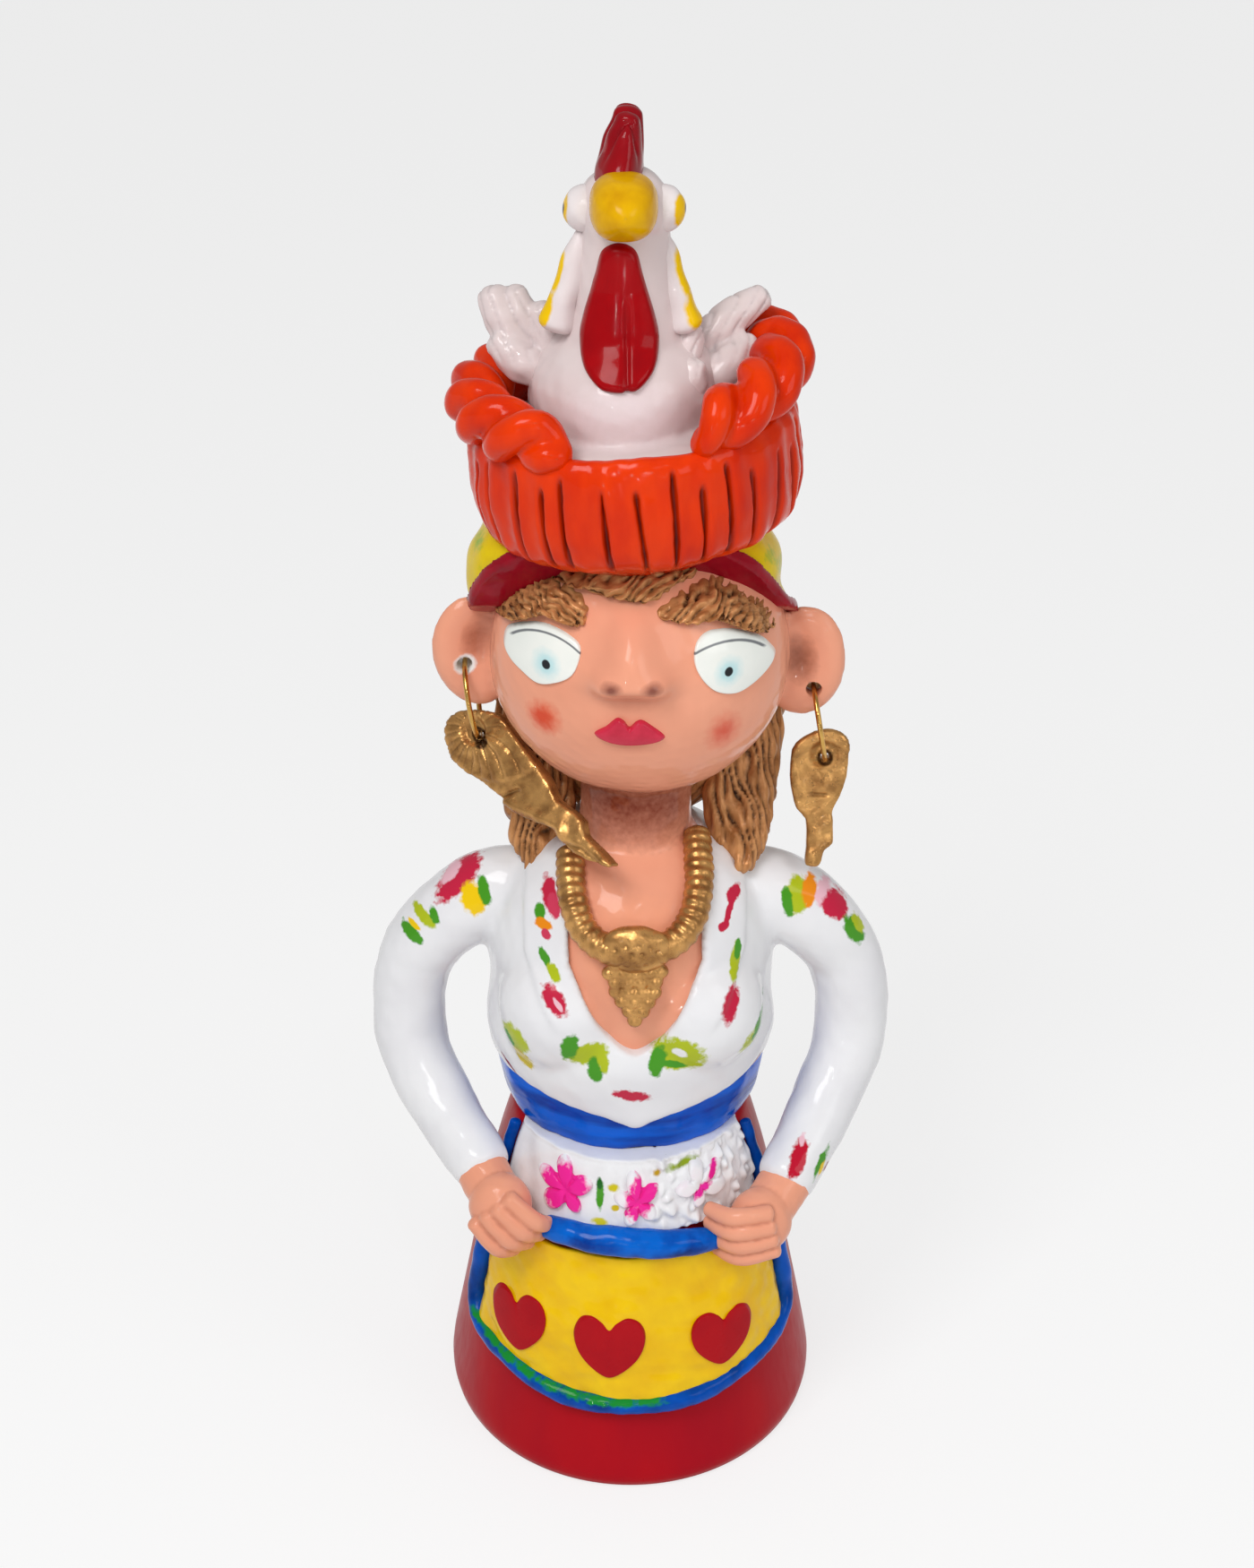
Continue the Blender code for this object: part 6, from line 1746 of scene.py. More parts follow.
@dataclass
class Basket:
    """The orange basket with its grooved side and two twisted handles."""

    base: Point = (2.0, 0.0, 167.3)
    radius: float = 26.6
    base_radius: float = 11.0
    height: float = 24.5
    wall: float = 4.6
    floor: float = 11.0
    roll: float = math.radians(-4.5)
    staves: int = 31
    groove: float = 1.25
    strand_radius: float = 2.75
    strand_offset: float = 2.5
    rise: Flat = (1.2, 4.8)
    foot_angle: float = math.radians(64)
    turns: float = 3.25

    def tilt(self, points: Array) -> Array:
        """Points seen from the basket's base, moved to where it stands on the head."""
        cos, sin = math.cos(self.roll), math.sin(self.roll)
        x, y, z = points.T
        return np.stack([x * cos + z * sin, y, z * cos - x * sin], axis=1) + np.asarray(self.base)

    def level(self, points: Array) -> Array:
        """Points on the head, seen again from the basket's own base."""
        cos, sin = math.cos(self.roll), math.sin(self.roll)
        x, y, z = (points - np.asarray(self.base)).T
        return np.stack([x * cos - z * sin, y, x * sin + z * cos], axis=1)

    def build(self) -> None:
        """Turns the bowl, presses its grooves and lays the handles on its rim."""
        tall, wide, wall = self.height, self.radius, self.wall
        inner, floor = wide - wall, self.floor
        profile = [
            (0.0, 0.0), (self.base_radius, 0.0), (0.5 * (wide + self.base_radius), 0.15 * tall),
            (wide - 2.4, 0.27 * tall), (wide - 0.6, 0.42 * tall), (wide, 0.62 * tall),
            (wide - 0.15, 0.82 * tall), (wide - 0.5, 0.92 * tall), (wide - 1.4, 0.985 * tall),
            (wide - wall / 2, tall), (inner + 1.2, 0.985 * tall), (inner + 0.1, 0.93 * tall),
            (inner, 0.8 * tall), (inner, floor + 4.0), (inner - 3.0, floor), (0.0, floor),
        ]
        rng = np.random.default_rng(5)
        shifts = rng.uniform(-0.22, 0.22, self.staves)
        starts = (np.arange(self.staves) + shifts) * 2 * math.pi / self.staves
        leans = rng.uniform(-0.06, 0.06, self.staves)
        lows = rng.uniform(0.04, 0.2, self.staves)
        highs = rng.uniform(0.8, 0.96, self.staves)

        def grooves(angle: Array, share: Array) -> Array:
            """How deep in a groove a place is, from 0 to 1."""
            deep = np.zeros(len(angle))
            for start, lean, low, high in zip(starts, leans, lows, highs):
                off = (angle - start - lean * (share - 0.5) + math.pi) % (2 * math.pi) - math.pi
                line = bell(off * wide / 0.42) * ramp(low, low + 0.12, share)
                deep = np.maximum(deep, line * (1 - ramp(high - 0.1, high, share)))
            return deep

        def place(u: Array, v: Array) -> Array:
            """The profile turned round, with the grooves pressed in."""
            rows = spline(np.asarray(profile), v, closed=False)
            angle = 2 * math.pi * u
            outside = (v < 0.6).astype(float)
            deep = grooves(angle, rows[:, 1] / tall) * outside
            swell = 0.3 * np.sin(angle * self.staves / 2 + 1.0) ** 2 * outside
            radius = np.maximum(rows[:, 0] - (self.groove * deep - swell) * (rows[:, 0] > 12), 0.0)
            flat = np.stack([radius * np.sin(angle), -radius * np.cos(angle), rows[:, 1]], axis=1)
            return self.tilt(flat)

        obj = Clay.sheet(620, 90, place)
        local = self.level(Clay.points(obj))
        deep = grooves(np.arctan2(local[:, 0], -local[:, 1]), np.clip(local[:, 2] / tall, 0, 1))
        # painted shade in the grooves of the side
        Clay.mark(obj, deep * (np.hypot(local[:, 0], local[:, 1]) > inner + 1))
        Clay.dimple(obj, (0.2, 10.0, 101), (0.06, 3.0, 102))
        paint = Paint(
            "basket_orange", (226, 56, 3), (202, 36, 2), 6.0, 0.7, (96, 12, 4),
            rough=0.18, coat=0.18, relief=0.14, stretch=(1, 1, 2.5),
        )
        paint.dress(obj, "basket_bowl", "basket_orange", ["basket"])
        for side in Side:
            strands = [Clay.coil(self._strand(side, phase), 24, 150) for phase in (0.0, math.pi)]
            rope = Clay.knead(strands, 0.5, 2)
            # painted shade between the twisted strands
            Clay.mark(Clay.dimple(rope, (0.12, 5.0, 104)), gain=2.5)
            nodes = [f"{side.word}_handle_{which}_strand" for which in ("first", "second")]
            paint.dress(rope, f"{side.word}_rope_handle", "basket_orange", nodes)

    def _strand(self, side: Side, phase: float) -> Array:
        """Stations of one strand of a handle.

        Args:
            side: which handle.
            phase: where round the rope it starts.

        Returns:
            (x, y, z, radius) rows.
        """
        across = self.radius - self.wall / 2
        share = np.linspace(-1.0, 1.0, 90)
        angle = self.foot_angle * share
        lift = side.of(self.rise) * np.cos(share * math.pi / 2) ** 0.8
        height = self.height + self.strand_radius - 0.6 + lift
        middle = np.stack([side.value * across * np.cos(angle), across * np.sin(angle), height], axis=1)
        along = np.gradient(middle, axis=0)
        along /= np.linalg.norm(along, axis=1)[:, None]
        out = np.cross(along, (0.0, 0.0, 1.0))
        out /= np.linalg.norm(out, axis=1)[:, None]
        up = np.cross(out, along)
        turn = math.pi * self.turns * (share + 1) + phase
        ends = np.clip((1.0 - np.abs(share)) / 0.16, 0.0, 1.0) ** 0.6
        middle[:, 2] -= 2.2 * (1.0 - ends)
        offset = out * np.cos(turn)[:, None] + up * np.sin(turn)[:, None]
        path = middle + offset * (self.strand_offset * ends)[:, None]
        swell = self.strand_radius * (0.62 + 0.38 * ends)
        return np.column_stack([self.tilt(path), swell])


@dataclass
class Hen:
    """The white hen in the basket."""

    basket: Basket
    body: Point = (-1.0, 0.5, 194.8)
    body_radii: Point = (15.4, 17.2, 12.5)
    neck: Point = (-1.0, -2.0, 194.8)
    neck_height: float = 29.0
    neck_root: float = 10.6
    neck_top: float = 6.8
    head_radii: Point = (7.3, 7.8, 7.0)
    eye_radius: float = 3.7
    beak_radii: Point = (5.1, 6.0, 4.9)
    beak_shift: Point = (-0.1, -8.4, 2.5)
    comb_stretch: float = 2.0
    bib_top: float = 220.8
    bib_length: float = 21.6
    bib_half_width: float = 6.2

    @property
    def head(self) -> Point:
        """The middle of the head."""
        return (self.neck[0], self.neck[1], self.neck[2] + self.neck_height)

    def neck_radius(self, height: Array) -> Array:
        """The neck's half width at a height above the floor."""
        rises = [2.5, 10.5, 18.5, 29.0]
        swells = [self.neck_root, 9.1, 7.5, self.neck_top]
        return np.interp(height - self.neck[2], rises, swells)

    def breast(self, x: Array, z: Array, lift: Amount) -> Array:
        """How far forward the neck and breast are.

        Args:
            x: places across.
            z: heights.
            lift: away from the feathers.

        Returns:
            The y of each place.
        """
        radius = self.neck_radius(z) + lift
        throat = self.neck[1] - np.sqrt(np.clip(radius**2 - (x - self.neck[0]) ** 2, 0, None))
        wide, deep, tall = (r + lift for r in self.body_radii)
        rest = 1 - ((x - self.body[0]) / wide) ** 2 - ((z - self.body[2]) / tall) ** 2
        chest = np.where(rest > 0, self.body[1] - deep * np.sqrt(np.clip(rest, 0, 1)), 50.0)
        return -np.logaddexp(-throat, -chest)

    def white(self) -> Paint:
        """White paint with a touch of yellow at the comb's root, and grey painted shade in the hollows."""
        daubs = (
            Daub((230, 190, 20), (-1.2, -6.5, 231.0), (3.6, 2.6, 1.5), 0, 0.6, 0.5, 0.8),
            Daub((236, 222, 226), (-1.0, -14.0, 195.0), (12.0, 6.0, 6.0), 0, 0.6, 1.0, 0.7),
        )
        return Paint(
            "hen_white", (220, 206, 205), (220, 204, 203), 9.0, 0.5, (172, 156, 158),
            coat=0.4, relief=0.1, daubs=daubs,
        )

    def build(self) -> None:
        """Builds the hen from the seat to the comb."""
        lumps = [Clay.ball(self.body, self.body_radii, fine=64), self._seat()]
        heights = np.linspace(196.0, 225.0, 12)
        column = [(self.neck[0], self.neck[1], z, float(self.neck_radius(z))) for z in heights]
        lumps.append(Clay.coil(column, 48, 80))
        lumps.append(Clay.ball(self.head, self.head_radii))
        obj = Clay.knead(lumps, 0.6, 8)
        Clay.dimple(obj, (0.16, 8.0, 111), (0.06, 3.0, 112))
        self.white().dress(Clay.mark(obj, gain=3.0), "hen_body_clay", "hen_white", ["hen_body"])
        self._wings()
        self._face()
        self._comb()
        self._bib()

    def _seat(self) -> Piece:
        """The underside that fills the basket."""
        rim = self.basket.radius - self.basket.wall + 0.3
        top = self.basket.height - 1.4
        profile = [
            (0.0, top + 0.8), (12.0, top + 0.6), (rim - 2.0, top), (rim, top - 1.2), (rim, 13.0),
            (0.0, 12.5),
        ]

        def place(u: Array, v: Array) -> Array:
            """The profile turned round and tilted with the basket."""
            line = by_length(profile, v)
            angle = 2 * math.pi * u
            flat = np.stack([line[:, 0] * np.sin(angle), -line[:, 0] * np.cos(angle), line[:, 1]], axis=1)
            return self.basket.tilt(flat)

        return Clay.sheet(90, 60, place)

    def _wings(self) -> None:
        """A raised wing of a few feathers at either side, and the tail."""
        fans = (
            [
                ((-15.0, 1.5, 199.5), (-19.6, 3.0, 204.5), (-22.0, 4.0, 208.6), 3.3),
                ((-14.0, 1.5, 200.0), (-17.2, 3.0, 205.5), (-18.2, 3.6, 209.0), 2.9),
                ((-12.0, 0.5, 199.0), (-13.4, 1.5, 203.5), (-14.2, 2.2, 207.0), 2.6),
                ((-13.0, -1.0, 197.0), (-17.5, 0.0, 199.5), (-20.8, 1.0, 202.0), 3.4),
            ],
            [
                ((10.0, 1.0, 200.0), (15.0, 3.0, 204.6), (20.6, 5.0, 208.0), 3.0),
                ((9.5, 0.5, 199.0), (12.6, 2.0, 203.0), (14.6, 3.0, 205.6), 2.7),
                ((8.0, -4.0, 198.5), (8.8, -4.0, 202.4), (9.6, -3.4, 205.4), 2.5),
                ((8.5, -7.5, 195.0), (9.0, -8.0, 198.4), (9.6, -7.6, 201.0), 2.9),
                ((11.0, -3.0, 196.5), (15.5, -1.0, 199.0), (18.5, 1.0, 201.6), 3.2),
            ],
        )
        for side in Side:
            s = side.value
            lumps = []
            for root, middle, tip, wide in side.of(fans):
                lumps.append(Clay.coil([(*root, 0.8 * wide), (*middle, wide), (*tip, 0.72 * wide)], 24, 60))
            wing = Clay.knead(lumps, 0.42, 3)

            def quills(p: Array, n: Array, s: int = s) -> Array:
                """Scored lines along the feathers."""
                phase = (p[:, 0] * s * 0.8 - p[:, 2] * 0.6) * 1.5 + p[:, 1] * 0.5 + uneven(p, 9.0, 120 + s)
                lines = (1 - np.abs(np.sin(phase))) ** 4 * ramp(198.0, 202.0, p[:, 2])
                return 0.15 * uneven(p, 3.4, 123) - 0.4 * lines

            Clay.mark(Clay.sculpt(wing, quills), gain=4.0)
            self.white().dress(wing, f"hen_{side.word}_wing_clay", "hen_white", [f"hen_{side.word}_wing"])
        lumps = []
        for turn in (-26, 0, 26):
            way = np.array((math.sin(math.radians(turn)) * 0.8, 0.42, 0.86))
            start = np.array((self.body[0], 12.0, 197.0))
            steps = [(0.0, 2.6), (6.0, 3.0), (12.0, 2.6), (15.5, 1.6)]
            lumps.append(Clay.coil([(*(start + way * t), r) for t, r in steps], 20, 50))
        tail = Clay.knead(lumps, 0.45, 4)
        self.white().dress(Clay.mark(tail, gain=4.0), "hen_tail_clay", "hen_white", ["hen_tail"])

    def _face(self) -> None:
        """The eyes, the cheek lobes and the blunt beak."""
        x, y, z = self.head
        for side in Side:
            s = side.value
            at = (x + s * 5.75, y - 1.0, z + 0.5)
            eye = Clay.dimple(Clay.knead([Clay.ball(at, (self.eye_radius,) * 3)], 0.35, 3), (0.08, 3.0, 131))
            look = side.of(((-0.98, 0.1), (0.86, -0.42)))
            spot = (at[0] + look[0] * 3.6, at[1] + look[1] * 3.6, at[2])
            dot = (at[0] + s * 3.8, at[1] - 0.4, at[2])
            daubs = (
                Daub((238, 190, 8), spot, (1.9, 3.0, 2.9), 0, 0.3, 0.2),
                Daub((70, 60, 66), dot, (1.0, 1.1, 1.2), 0, 0.2, 0.3),
            )
            white = Paint(
                f"hen_white_{side.word}_eye", (232, 224, 224), (222, 212, 212), 5.0, 0.4,
                rough=0.16, coat=0.14, relief=0.06, daubs=daubs,
            )
            white.dress(eye, f"hen_{side.word}_eye_bead", "hen_white", [f"hen_{side.word}_eye"])
            rows = [
                (6.2, 0.8, 220.6, 1.0), (7.2, 1.4, 216.4, 2.0), (8.2, 1.8, 212.2, 2.3),
                (10.0, 2.4, 206.8, 2.75),
            ]
            root = x - 0.5
            stations = [(root + s * out, y - near, up, wide) for out, near, up, wide in rows]
            lobe = Clay.knead([Clay.coil(stations, 24, 60)], 0.4, 3)
            Clay.dimple(lobe, (0.25, 6.0, 133))
            broad = side.of((1.0, 1.9))
            yellow = (240, 196, 8)
            edge = (
                Daub(yellow, (root + s * 9.7, y - 3.2, 215.0), (0.75 * broad, 5.0, 4.4), s * -14, 0.4, 0.3),
                Daub(yellow, (root + s * 11.8, y - 4.0, 209.0), (1.15 * broad, 5.0, 3.6), s * -16, 0.4, 0.3),
            )
            stripe = Paint(
                f"hen_white_{side.word}_lobe", (230, 220, 220), (218, 206, 206), 6.0, 0.5,
                coat=0.12, relief=0.08, daubs=edge,
            )
            stripe.dress(lobe, f"hen_{side.word}_lobe_clay", "hen_white", [f"hen_{side.word}_lobe"])
        beak = Clay.ball((0.0, 0.0, 0.0), (1.0, 1.0, 1.0), fine=64)
        rows = Clay.points(beak)
        rows = np.sign(rows) * np.abs(rows) ** 0.78
        pinch = 1.0 + 0.12 * rows[:, 1]
        wide, deep, tall = self.beak_radii
        rows = np.stack([rows[:, 0] * wide * pinch, rows[:, 1] * deep, rows[:, 2] * tall * pinch], axis=1)
        rows[:, 1] -= 1.3 * np.exp(-((rows[:, 0] / 2.6) ** 2) - (rows[:, 2] / 2.4) ** 2) * (rows[:, 1] < 0)
        Clay.put(beak, rows + np.array(self.head) + np.array(self.beak_shift))
        beak = Clay.knead([beak], 0.4, 4)
        yellow = Paint("beak_yellow", (226, 174, 4), (198, 140, 4), 4.0, 0.6, coat=0.12, relief=0.08)
        yellow.dress(beak, "hen_beak_clay", "beak_yellow", ["hen_beak"])

    def _comb(self) -> None:
        """The red comb, a flat slab scored into five blunt teeth."""
        x, y, z = self.head
        rows = [(-0.8, 2.6, 4.1), (-0.7, 6.0, 3.8), (-0.2, 9.6, 3.2), (0.3, 12.6, 2.7), (0.5, 14.2, 2.3)]
        comb = Clay.coil([(x + lean, 0.0, z + rise, wide) for lean, rise, wide in rows], 40, 80)
        Clay.put(comb, Clay.points(comb) * (1.0, self.comb_stretch, 1.0) + np.array((0.0, y + 0.6, 0.0)))

        def score(p: Array, n: Array) -> Array:
            """The grooves between the teeth."""
            groove = (1 - np.abs(np.sin((p[:, 1] - y - 0.6) * math.pi / 3.0 + math.pi / 2))) ** 2
            return -0.9 * groove * ramp(z + 7.0, z + 13.0, p[:, 2]) + 0.15 * uneven(p, 5.0, 141)

        comb = Clay.sculpt(Clay.knead([comb], 0.4, 3), score)
        red = Paint("comb_red", (148, 6, 18), (122, 5, 18), 5.0, 0.6, rough=0.18, coat=0.25, relief=0.1)
        red.dress(comb, "hen_comb_clay", "comb_red", ["hen_comb"])

    def _bib(self) -> None:
        """The red bib, scored down its lower half."""
        x = self.neck[0]
        rows = [
            (0.0, 0.0), (0.25, 0.02), (0.45, 0.08), (0.58, 0.22), (0.74, 0.38), (0.9, 0.54), (1.0, 0.7),
            (0.9, 0.86), (0.55, 0.97), (0.25, 1.0),
        ]
        right = [(self.bib_half_width * a, self.bib_top - self.bib_length * b) for a, b in rows]
        outline = [(x - 0.8 + a, z) for a, z in right] + [(x - 0.8 - a, z) for a, z in reversed(right[1:])]
        obj = Clay.pillow(outline, self.breast, 1.3, sunk=0.9, dome=0.25, edge=0.12)

        def score(p: Array, n: Array) -> Array:
            """The scored line."""
            line = bell((p[:, 0] - x - 0.4) / 0.45)
            return -0.5 * line * ramp(214.0, 209.0, p[:, 2]) * ramp(198.0, 200.0, p[:, 2])

        Clay.mark(Clay.sculpt(obj, score), gain=4.0)
        # dark red painted shade in the scored line and hollows
        red = Paint("bib_red", (160, 4, 12), (142, 3, 12), 6.0, 0.6, (96, 2, 8), coat=0.12, relief=0.08)
        red.dress(obj, "hen_bib_clay", "comb_red", ["hen_bib"])


@dataclass
class Jewellery:
    """The gold necklace and the two earrings on their wires."""

    torso: TorsoForm
    joints: dict[str, Array]
    chain_radius: float = 2.45
    ring_radius: float = 6.9
    wire_radius: float = 0.45
    middle: float = 0.8
    chain_half_width: float = 10.9
    chain_top: float = 116.8
    chain_drop: float = 12.4
    medallion: Point = (6.3, 2.6, 4.4)
    medallion_height: float = 105.0
    beads: tuple[int, ...] = (4, 5, 4, 4, 3, 2, 1)
    bead: Point = (1.35, 1.5, 1.2)
    bead_pitch: Flat = (2.2, 1.72)
    beads_top: float = 102.2
    plug: Flat = (1.7, 1.9)
    drop_hole: float = 0.8
    aims: tuple[tuple[Point, Point], tuple[Point, Point]] = (
        ((0.591, -0.689, -0.419), (0.578, 0.0, 0.816)),
        ((0.0, -0.34, -0.94), (1.0, 0.0, 0.0)),
    )

    def _chest(self, x: float, z: float, lift: float) -> float:
        """How far forward the chest is at one place."""
        return float(self.torso.front(np.array([x]), np.array([z]), np.array([lift]))[0])

    def gold(self) -> Paint:
        """Gold paint with dark brown painted in the hollows as shade."""
        return Paint(
            "gold_paint", (204, 154, 92), (150, 106, 60), 3.0, 0.8, (58, 34, 14),
            rough=0.3, coat=0.06, metal=0.7, relief=0.3, grain=0.9,
        )

    def build(self) -> None:
        """Builds the necklace, then the earrings."""
        self._chain()
        self._medallion()
        self._cluster()
        for side in Side:
            self._ring(side)
            self._drop(side)

    def _chain(self) -> None:
        """The ribbed chain, in one coil from side to side."""
        left = [(-1.0, 0.12), (-0.98, 0.42), (-0.8, 0.78), (-0.34, 1.0)]
        right = [(0.34, 1.0), (0.8, 0.78), (0.98, 0.42), (0.96, 0.0)]
        flat = np.array([*left, *right]) * (self.chain_half_width, -self.chain_drop)
        flat += (self.middle, self.chain_top)
        depth = self.torso.front(flat[:, 0], flat[:, 1], 0.3) - 0.9
        stations = np.column_stack([flat[:, 0], depth, flat[:, 1], np.full(len(flat), self.chain_radius)])
        chain = Clay.coil(stations, 28, 340, rib=(0.045, 1.75))
        Clay.mark(Clay.dimple(chain, (0.08, 4.0, 151)), gain=9.0)
        self.gold().dress(chain, "necklace_chain", "gold_paint", ["left_necklace", "right_necklace"])

    def _medallion(self) -> None:
        """The pitted medallion."""
        x, z = self.middle, self.medallion_height
        y = self._chest(x, z, 0.3) - 1.3
        disc = Clay.knead([Clay.ball((x, y, z), self.medallion, fine=64)], 0.32, 2)
        pits = [
            (-3.4, 1.2), (-1.6, 1.9), (0.4, 2.1), (2.4, 1.6), (3.8, 0.4), (-4.2, -0.4), (-2.6, -0.6),
            (-0.6, 0.3), (1.2, 0.2), (2.8, -0.9), (-1.4, -1.8), (0.4, -1.6), (1.8, -2.2), (-3.0, -1.9),
        ]

        def press(p: Array, n: Array) -> Array:
            """Pits all over the front."""
            depth = 0.12 * uneven(p, 3.0, 155)
            for a, b in pits:
                far = (p[:, 0] - x - a) ** 2 + (p[:, 2] - z - b) ** 2
                depth -= 0.55 * np.exp(-far / 0.3) * (n[:, 1] < 0)
            return depth

        Clay.mark(Clay.sculpt(disc, press), gain=6.0)
        self.gold().dress(disc, "necklace_medallion", "gold_paint", ["medallion"])

    def _cluster(self) -> None:
        """The bunch of beads under the medallion."""
        lumps = []
        across, down = self.bead_pitch
        for row, count in enumerate(self.beads):
            z = self.beads_top - down * row
            for number in range(count):
                x = self.middle + (number - (count - 1) / 2) * across + 0.12 * math.sin(5 * number + 3 * row)
                y = self._chest(x, z, 0.0) - 0.6 - 0.3 * math.cos(7 * number + row)
                lumps.append(Clay.ball((x, y, z), self.bead, fine=20))
        bunch = Clay.knead(lumps, 0.3, 3)
        self.gold().dress(Clay.mark(bunch, gain=5.0), "necklace_cluster", "gold_paint", ["cluster"])

    def _ring(self, side: Side) -> None:
        """A wire ring through a lobe, slightly out of round.

        Args:
            side: which ear.
        """
        hole, hang = self.joints[f"{side.word}_ring_swing"], self.joints[f"{side.word}_drop_swing"]
        middle, down = (hole + hang) / 2, (hang - hole) / np.linalg.norm(hang - hole)
        fore = np.array((0.0, -1.0, 0.0))
        bpy.ops.mesh.primitive_torus_add(
            major_segments=120,
            minor_segments=18,
            major_radius=self.ring_radius * MM,
            minor_radius=self.wire_radius * MM,
        )
        ring = bpy.context.object
        flat = Clay.points(ring)
        angle = np.arctan2(flat[:, 1], flat[:, 0])
        bent = flat * (1 + 0.012 * np.sin(3 * angle + 0.6) + 0.008 * np.sin(5 * angle))[:, None]
        normal = np.cross(down, fore)
        loop = np.outer(bent[:, 0], down) + np.outer(bent[:, 1], fore)
        Clay.put(ring, middle + loop + np.outer(flat[:, 2], normal))
        Clay.close(ring)
        wire = Paint(
            "brass_wire", (214, 172, 96), (184, 138, 66), 2.0, 0.6,
            coat=0.03, metal=1.0, relief=0.1, grain=0.7,
        )
        body = Body(f"{side.word}_ring")
        wire.dress(ring, f"{side.word}_ear_wire", "brass_wire", [f"{side.word}_earring_ring"], body)

    def _drop(self, side: Side) -> None:
        """A gold drop, worked from the part's own solid.

        Args:
            side: which ear.
        """
        node = f"{side.word}_earring_drop"
        hang = self.joints[f"{side.word}_drop_swing"]
        along, across = (np.asarray(way) for way in side.of(self.aims))
        face = np.cross(along, across)
        turn = tuple(math.degrees(a) for a in Vector(face).to_track_quat("Z", "Y").to_euler())
        drop = Clay.knead([Clay.cast(node), Clay.rod(hang, *self.plug, turn)], 0.26, 5)
        Clay.trim(drop, Clay.rod(hang, self.drop_hole, PIERCING))

        def press(p: Array, n: Array) -> Array:
            """A domed face with the tool's marks, kept away from the hole."""
            down, wide = (p - hang) @ along, (p - hang) @ across
            rows = np.linspace(down.min() + 0.1, down.max() - 0.1, 70)
            near = [wide[np.abs(down - row) < 0.7] for row in rows]
            low = np.interp(down, rows, [w.min() for w in near])
            high = np.interp(down, rows, [w.max() for w in near])
            share = np.clip(np.abs(2 * wide - low - high) / (high - low), 0.0, 1.0)
            marks = self._leaf(down, wide) if side is Side.LEFT else self._key(down, wide)
            plain = ramp(1.7, 3.0, np.hypot(down, wide))
            dome = (0.55 * (1 - share**2) + marks) * plain
            return (dome + 0.12 * uneven(p, 3.0, 161)) * np.clip(n @ face, 0.0, 1.0)

        Clay.sculpt(drop, press)
        # painted shade round and inside the hole
        away = Clay.points(drop) - hang
        near_hole = 1 - ramp(1.0, 1.6, np.hypot(away[:, 0], away[:, 2]))
        Clay.mark(drop, gain=10.0, extra_shade=2.0 * near_hole)
        body = Body(f"{side.word}_drop")
        self.gold().dress(drop, f"{side.word}_gold_drop", "gold_paint", [node], body)

    @staticmethod
    def _leaf(down: Array, wide: Array) -> Array:
        """The left drop's relief: a scored disc with a step under it, a crease, a ridge and the hooked tip.

        Args:
            down: places along the drop from its hole.
            wide: places across it.

        Returns:
            How far out each place goes.
        """
        edge = [-7.3, -7.0, -5.4, -3.6, -2.0, 0.9, 5.0]
        step = np.interp(wide, edge, [-1.3, 1.2, 5.7, 8.6, 10.3, 12.2, 14.0])
        disc = 1 - ramp(step - 0.6, step + 0.6, down)
        strokes = -0.25 * (1 - np.abs(np.sin(9 * np.arctan2(wide, down) + 0.4 * down))) ** 2 * disc
        crease = -0.5 * bell((down - 14.0 - 0.55 * wide) / 0.45) * ramp(0.0, -1.0, wide)
        spine = np.interp(down, [12.6, 15.9, 18.4, 21.2, 24.0, 26.5], [-4.0, -2.9, -1.5, -0.4, 0.6, 0.2])
        ridge = 0.9 * bell((wide - spine) / 1.1) * ramp(11.8, 13.2, down) * ramp(27.5, 25.0, down)
        split = np.interp(down, [26.0, 29.5, 32.8, 35.3], [-0.9, 1.2, 1.7, 1.9])
        hook = -0.45 * bell((wide - split) / 0.4) * ramp(26.0, 27.0, down)
        return 0.55 * disc + strokes + crease + ridge + hook

    @staticmethod
    def _key(down: Array, wide: Array) -> Array:
        """The right drop's relief: a ledge along its top and a nick under its hole.

        Args:
            down: places along the drop from its hole.
            wide: places across it.

        Returns:
            How far out each place goes.
        """
        ledge = 0.5 * ramp(-1.2, -2.2, down - 0.07 * wide**2)
        nick = -0.5 * bell((down - 6.8 - 0.06 * wide) / 0.35) * ramp(-3.2, -2.2, wide) * ramp(1.0, 0.0, wide)
        return ledge + nick - 0.3 * np.exp(-(((down - 2.6) / 1.6) ** 2) - (wide / 1.4) ** 2)


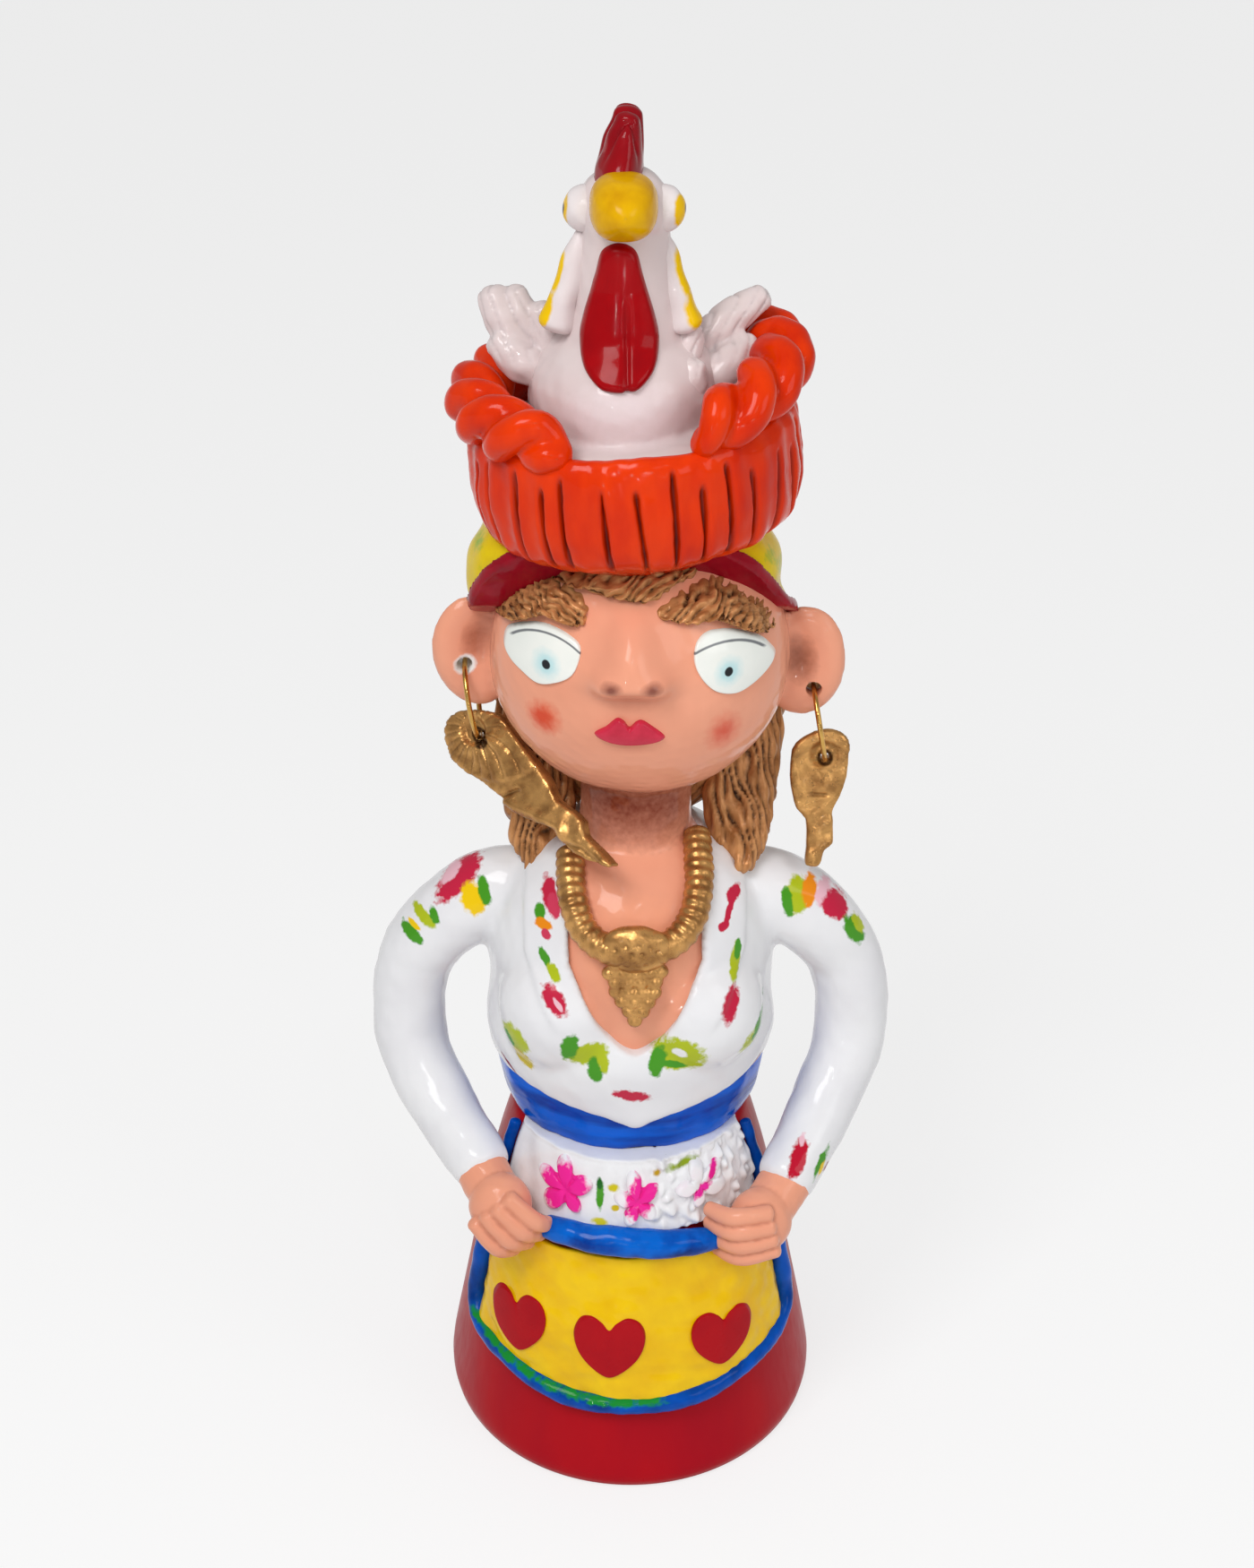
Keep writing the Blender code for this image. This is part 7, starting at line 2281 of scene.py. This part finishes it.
@dataclass
class Studio:
    """The camera of the photograph, soft light and a pale floor."""

    camera_at: Point = (-0.6, -390.0, 330.0)
    pitch: float = math.radians(27.87)
    lens: float = 59.18
    pale: Colour = (240, 240, 240)
    glow: float = 0.72
    floor_light: float = 1.17
    sky_light: float = 0.4
    softboxes: tuple[tuple[str, Point, float, float], ...] = (
        ("key_softbox", (-190.0, -340.0, 600.0), 220.0, 1.62),
        ("fill_softbox", (380.0, -300.0, 380.0), 240.0, 0.46),
    )
    sparks: tuple[Point, ...] = (
        (-70, -430, 470),
        (-95, -420, 505),
        (60, -430, 480),
        (92, -425, 500),
        (-150, -500, 260),
        (-120, -520, 225),
        (130, -510, 250),
        (160, -500, 215),
        (20, -560, 170),
    )
    spark_size: float = 10.0
    spark_power: float = 0.06
    aim: Point = (0.0, 0.0, 120.0)

    def build(self) -> None:
        """Sets the studio up."""
        self._camera()
        self._floor()
        self._world()
        for softbox in self.softboxes:
            self._lamp(*softbox)
        for number, spot in enumerate(self.sparks):
            self._lamp(f"spark_{number}", spot, self.spark_size, self.spark_power)
        bpy.context.scene.view_settings.view_transform = "Standard"

    def _camera(self) -> None:
        """The camera at the photograph's viewing angle."""
        data = bpy.data.cameras.new("camera")
        camera = bpy.data.objects.new("camera", data)
        bpy.context.scene.collection.objects.link(camera)
        camera.location = Vector(self.camera_at) * MM
        camera.rotation_euler = (math.pi / 2 - self.pitch, 0.0, 0.0)
        data.lens = self.lens
        data.clip_start, data.clip_end = 0.01, 50.0
        bpy.context.scene.camera = camera

    def _floor(self) -> None:
        """A wide pale floor that keeps the figure's shadow."""
        bpy.ops.mesh.primitive_plane_add(size=16.0)
        floor = bpy.context.object
        floor.name = "floor"
        board = Board("floor_pale")
        board.feed("Base Color", board.colour(self.pale))
        board.feed("Roughness", 0.9)
        board.feed("Specular IOR Level", 0.0)
        seen = board.node("ShaderNodeLightPath", {}, {}, "Is Camera Ray")
        mirrored = board.node("ShaderNodeLightPath", {}, {}, "Is Glossy Ray")
        sockets = {"Color": board.colour(self.pale), "Strength": self.floor_light}
        glow = board.node("ShaderNodeEmission", {}, sockets)
        plain = Wire(board, board.surface.outputs[0])
        share = (seen + mirrored).clamp() * self.glow
        mixed = board.node("ShaderNodeMixShader", {}, {0: share, 1: plain, 2: glow})
        output = next(n for n in board.tree.nodes if n.type == "OUTPUT_MATERIAL")
        board.tree.links.new(mixed.socket, output.inputs["Surface"])
        floor.data.materials.append(board.material)

    def _world(self) -> None:
        """Soft light from all round."""
        world = bpy.data.worlds.new("studio")
        bpy.context.scene.world = world
        world.use_nodes = True
        sky = world.node_tree.nodes["Background"]
        sky.inputs["Color"].default_value = (1.0, 1.0, 1.0, 1.0)
        sky.inputs["Strength"].default_value = self.sky_light

    def _lamp(self, name: str, at: Point, size: float, power: float) -> None:
        """A square lamp that looks at the figure's middle.

        Args:
            name: what it is called.
            at: where it hangs.
            size: of its side.
            power: in watts.
        """
        data = bpy.data.lights.new(name, "AREA")
        data.size = size * MM
        data.energy = power
        lamp = bpy.data.objects.new(name, data)
        bpy.context.scene.collection.objects.link(lamp)
        lamp.location = Vector(at) * MM
        aim = Vector(self.aim) * MM - lamp.location
        lamp.rotation_euler = aim.to_track_quat("-Z", "Y").to_euler()


def main() -> None:
    """Loads the part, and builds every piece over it."""
    logging.basicConfig(level=logging.INFO, format="%(name)s %(message)s")
    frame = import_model()
    joints = {joint["name"]: np.asarray(joint["pos_m"]) / MM for joint in frame["joints"]}
    Studio().build()
    skirt, torso, head, basket = SkirtForm(), TorsoForm(), HeadForm(), Basket()
    Skirt(skirt).build()
    Apron(skirt).build()
    Bodice(torso).build()
    face = Face(head, torso)
    Hands(face.paint()).build()
    face.build()
    Hair(head).build()
    Kerchief(head).build()
    basket.build()
    Hen(basket).build()
    Jewellery(torso, joints).build()
    bpy.context.view_layer.update()


if __name__ == "__main__":
    main()
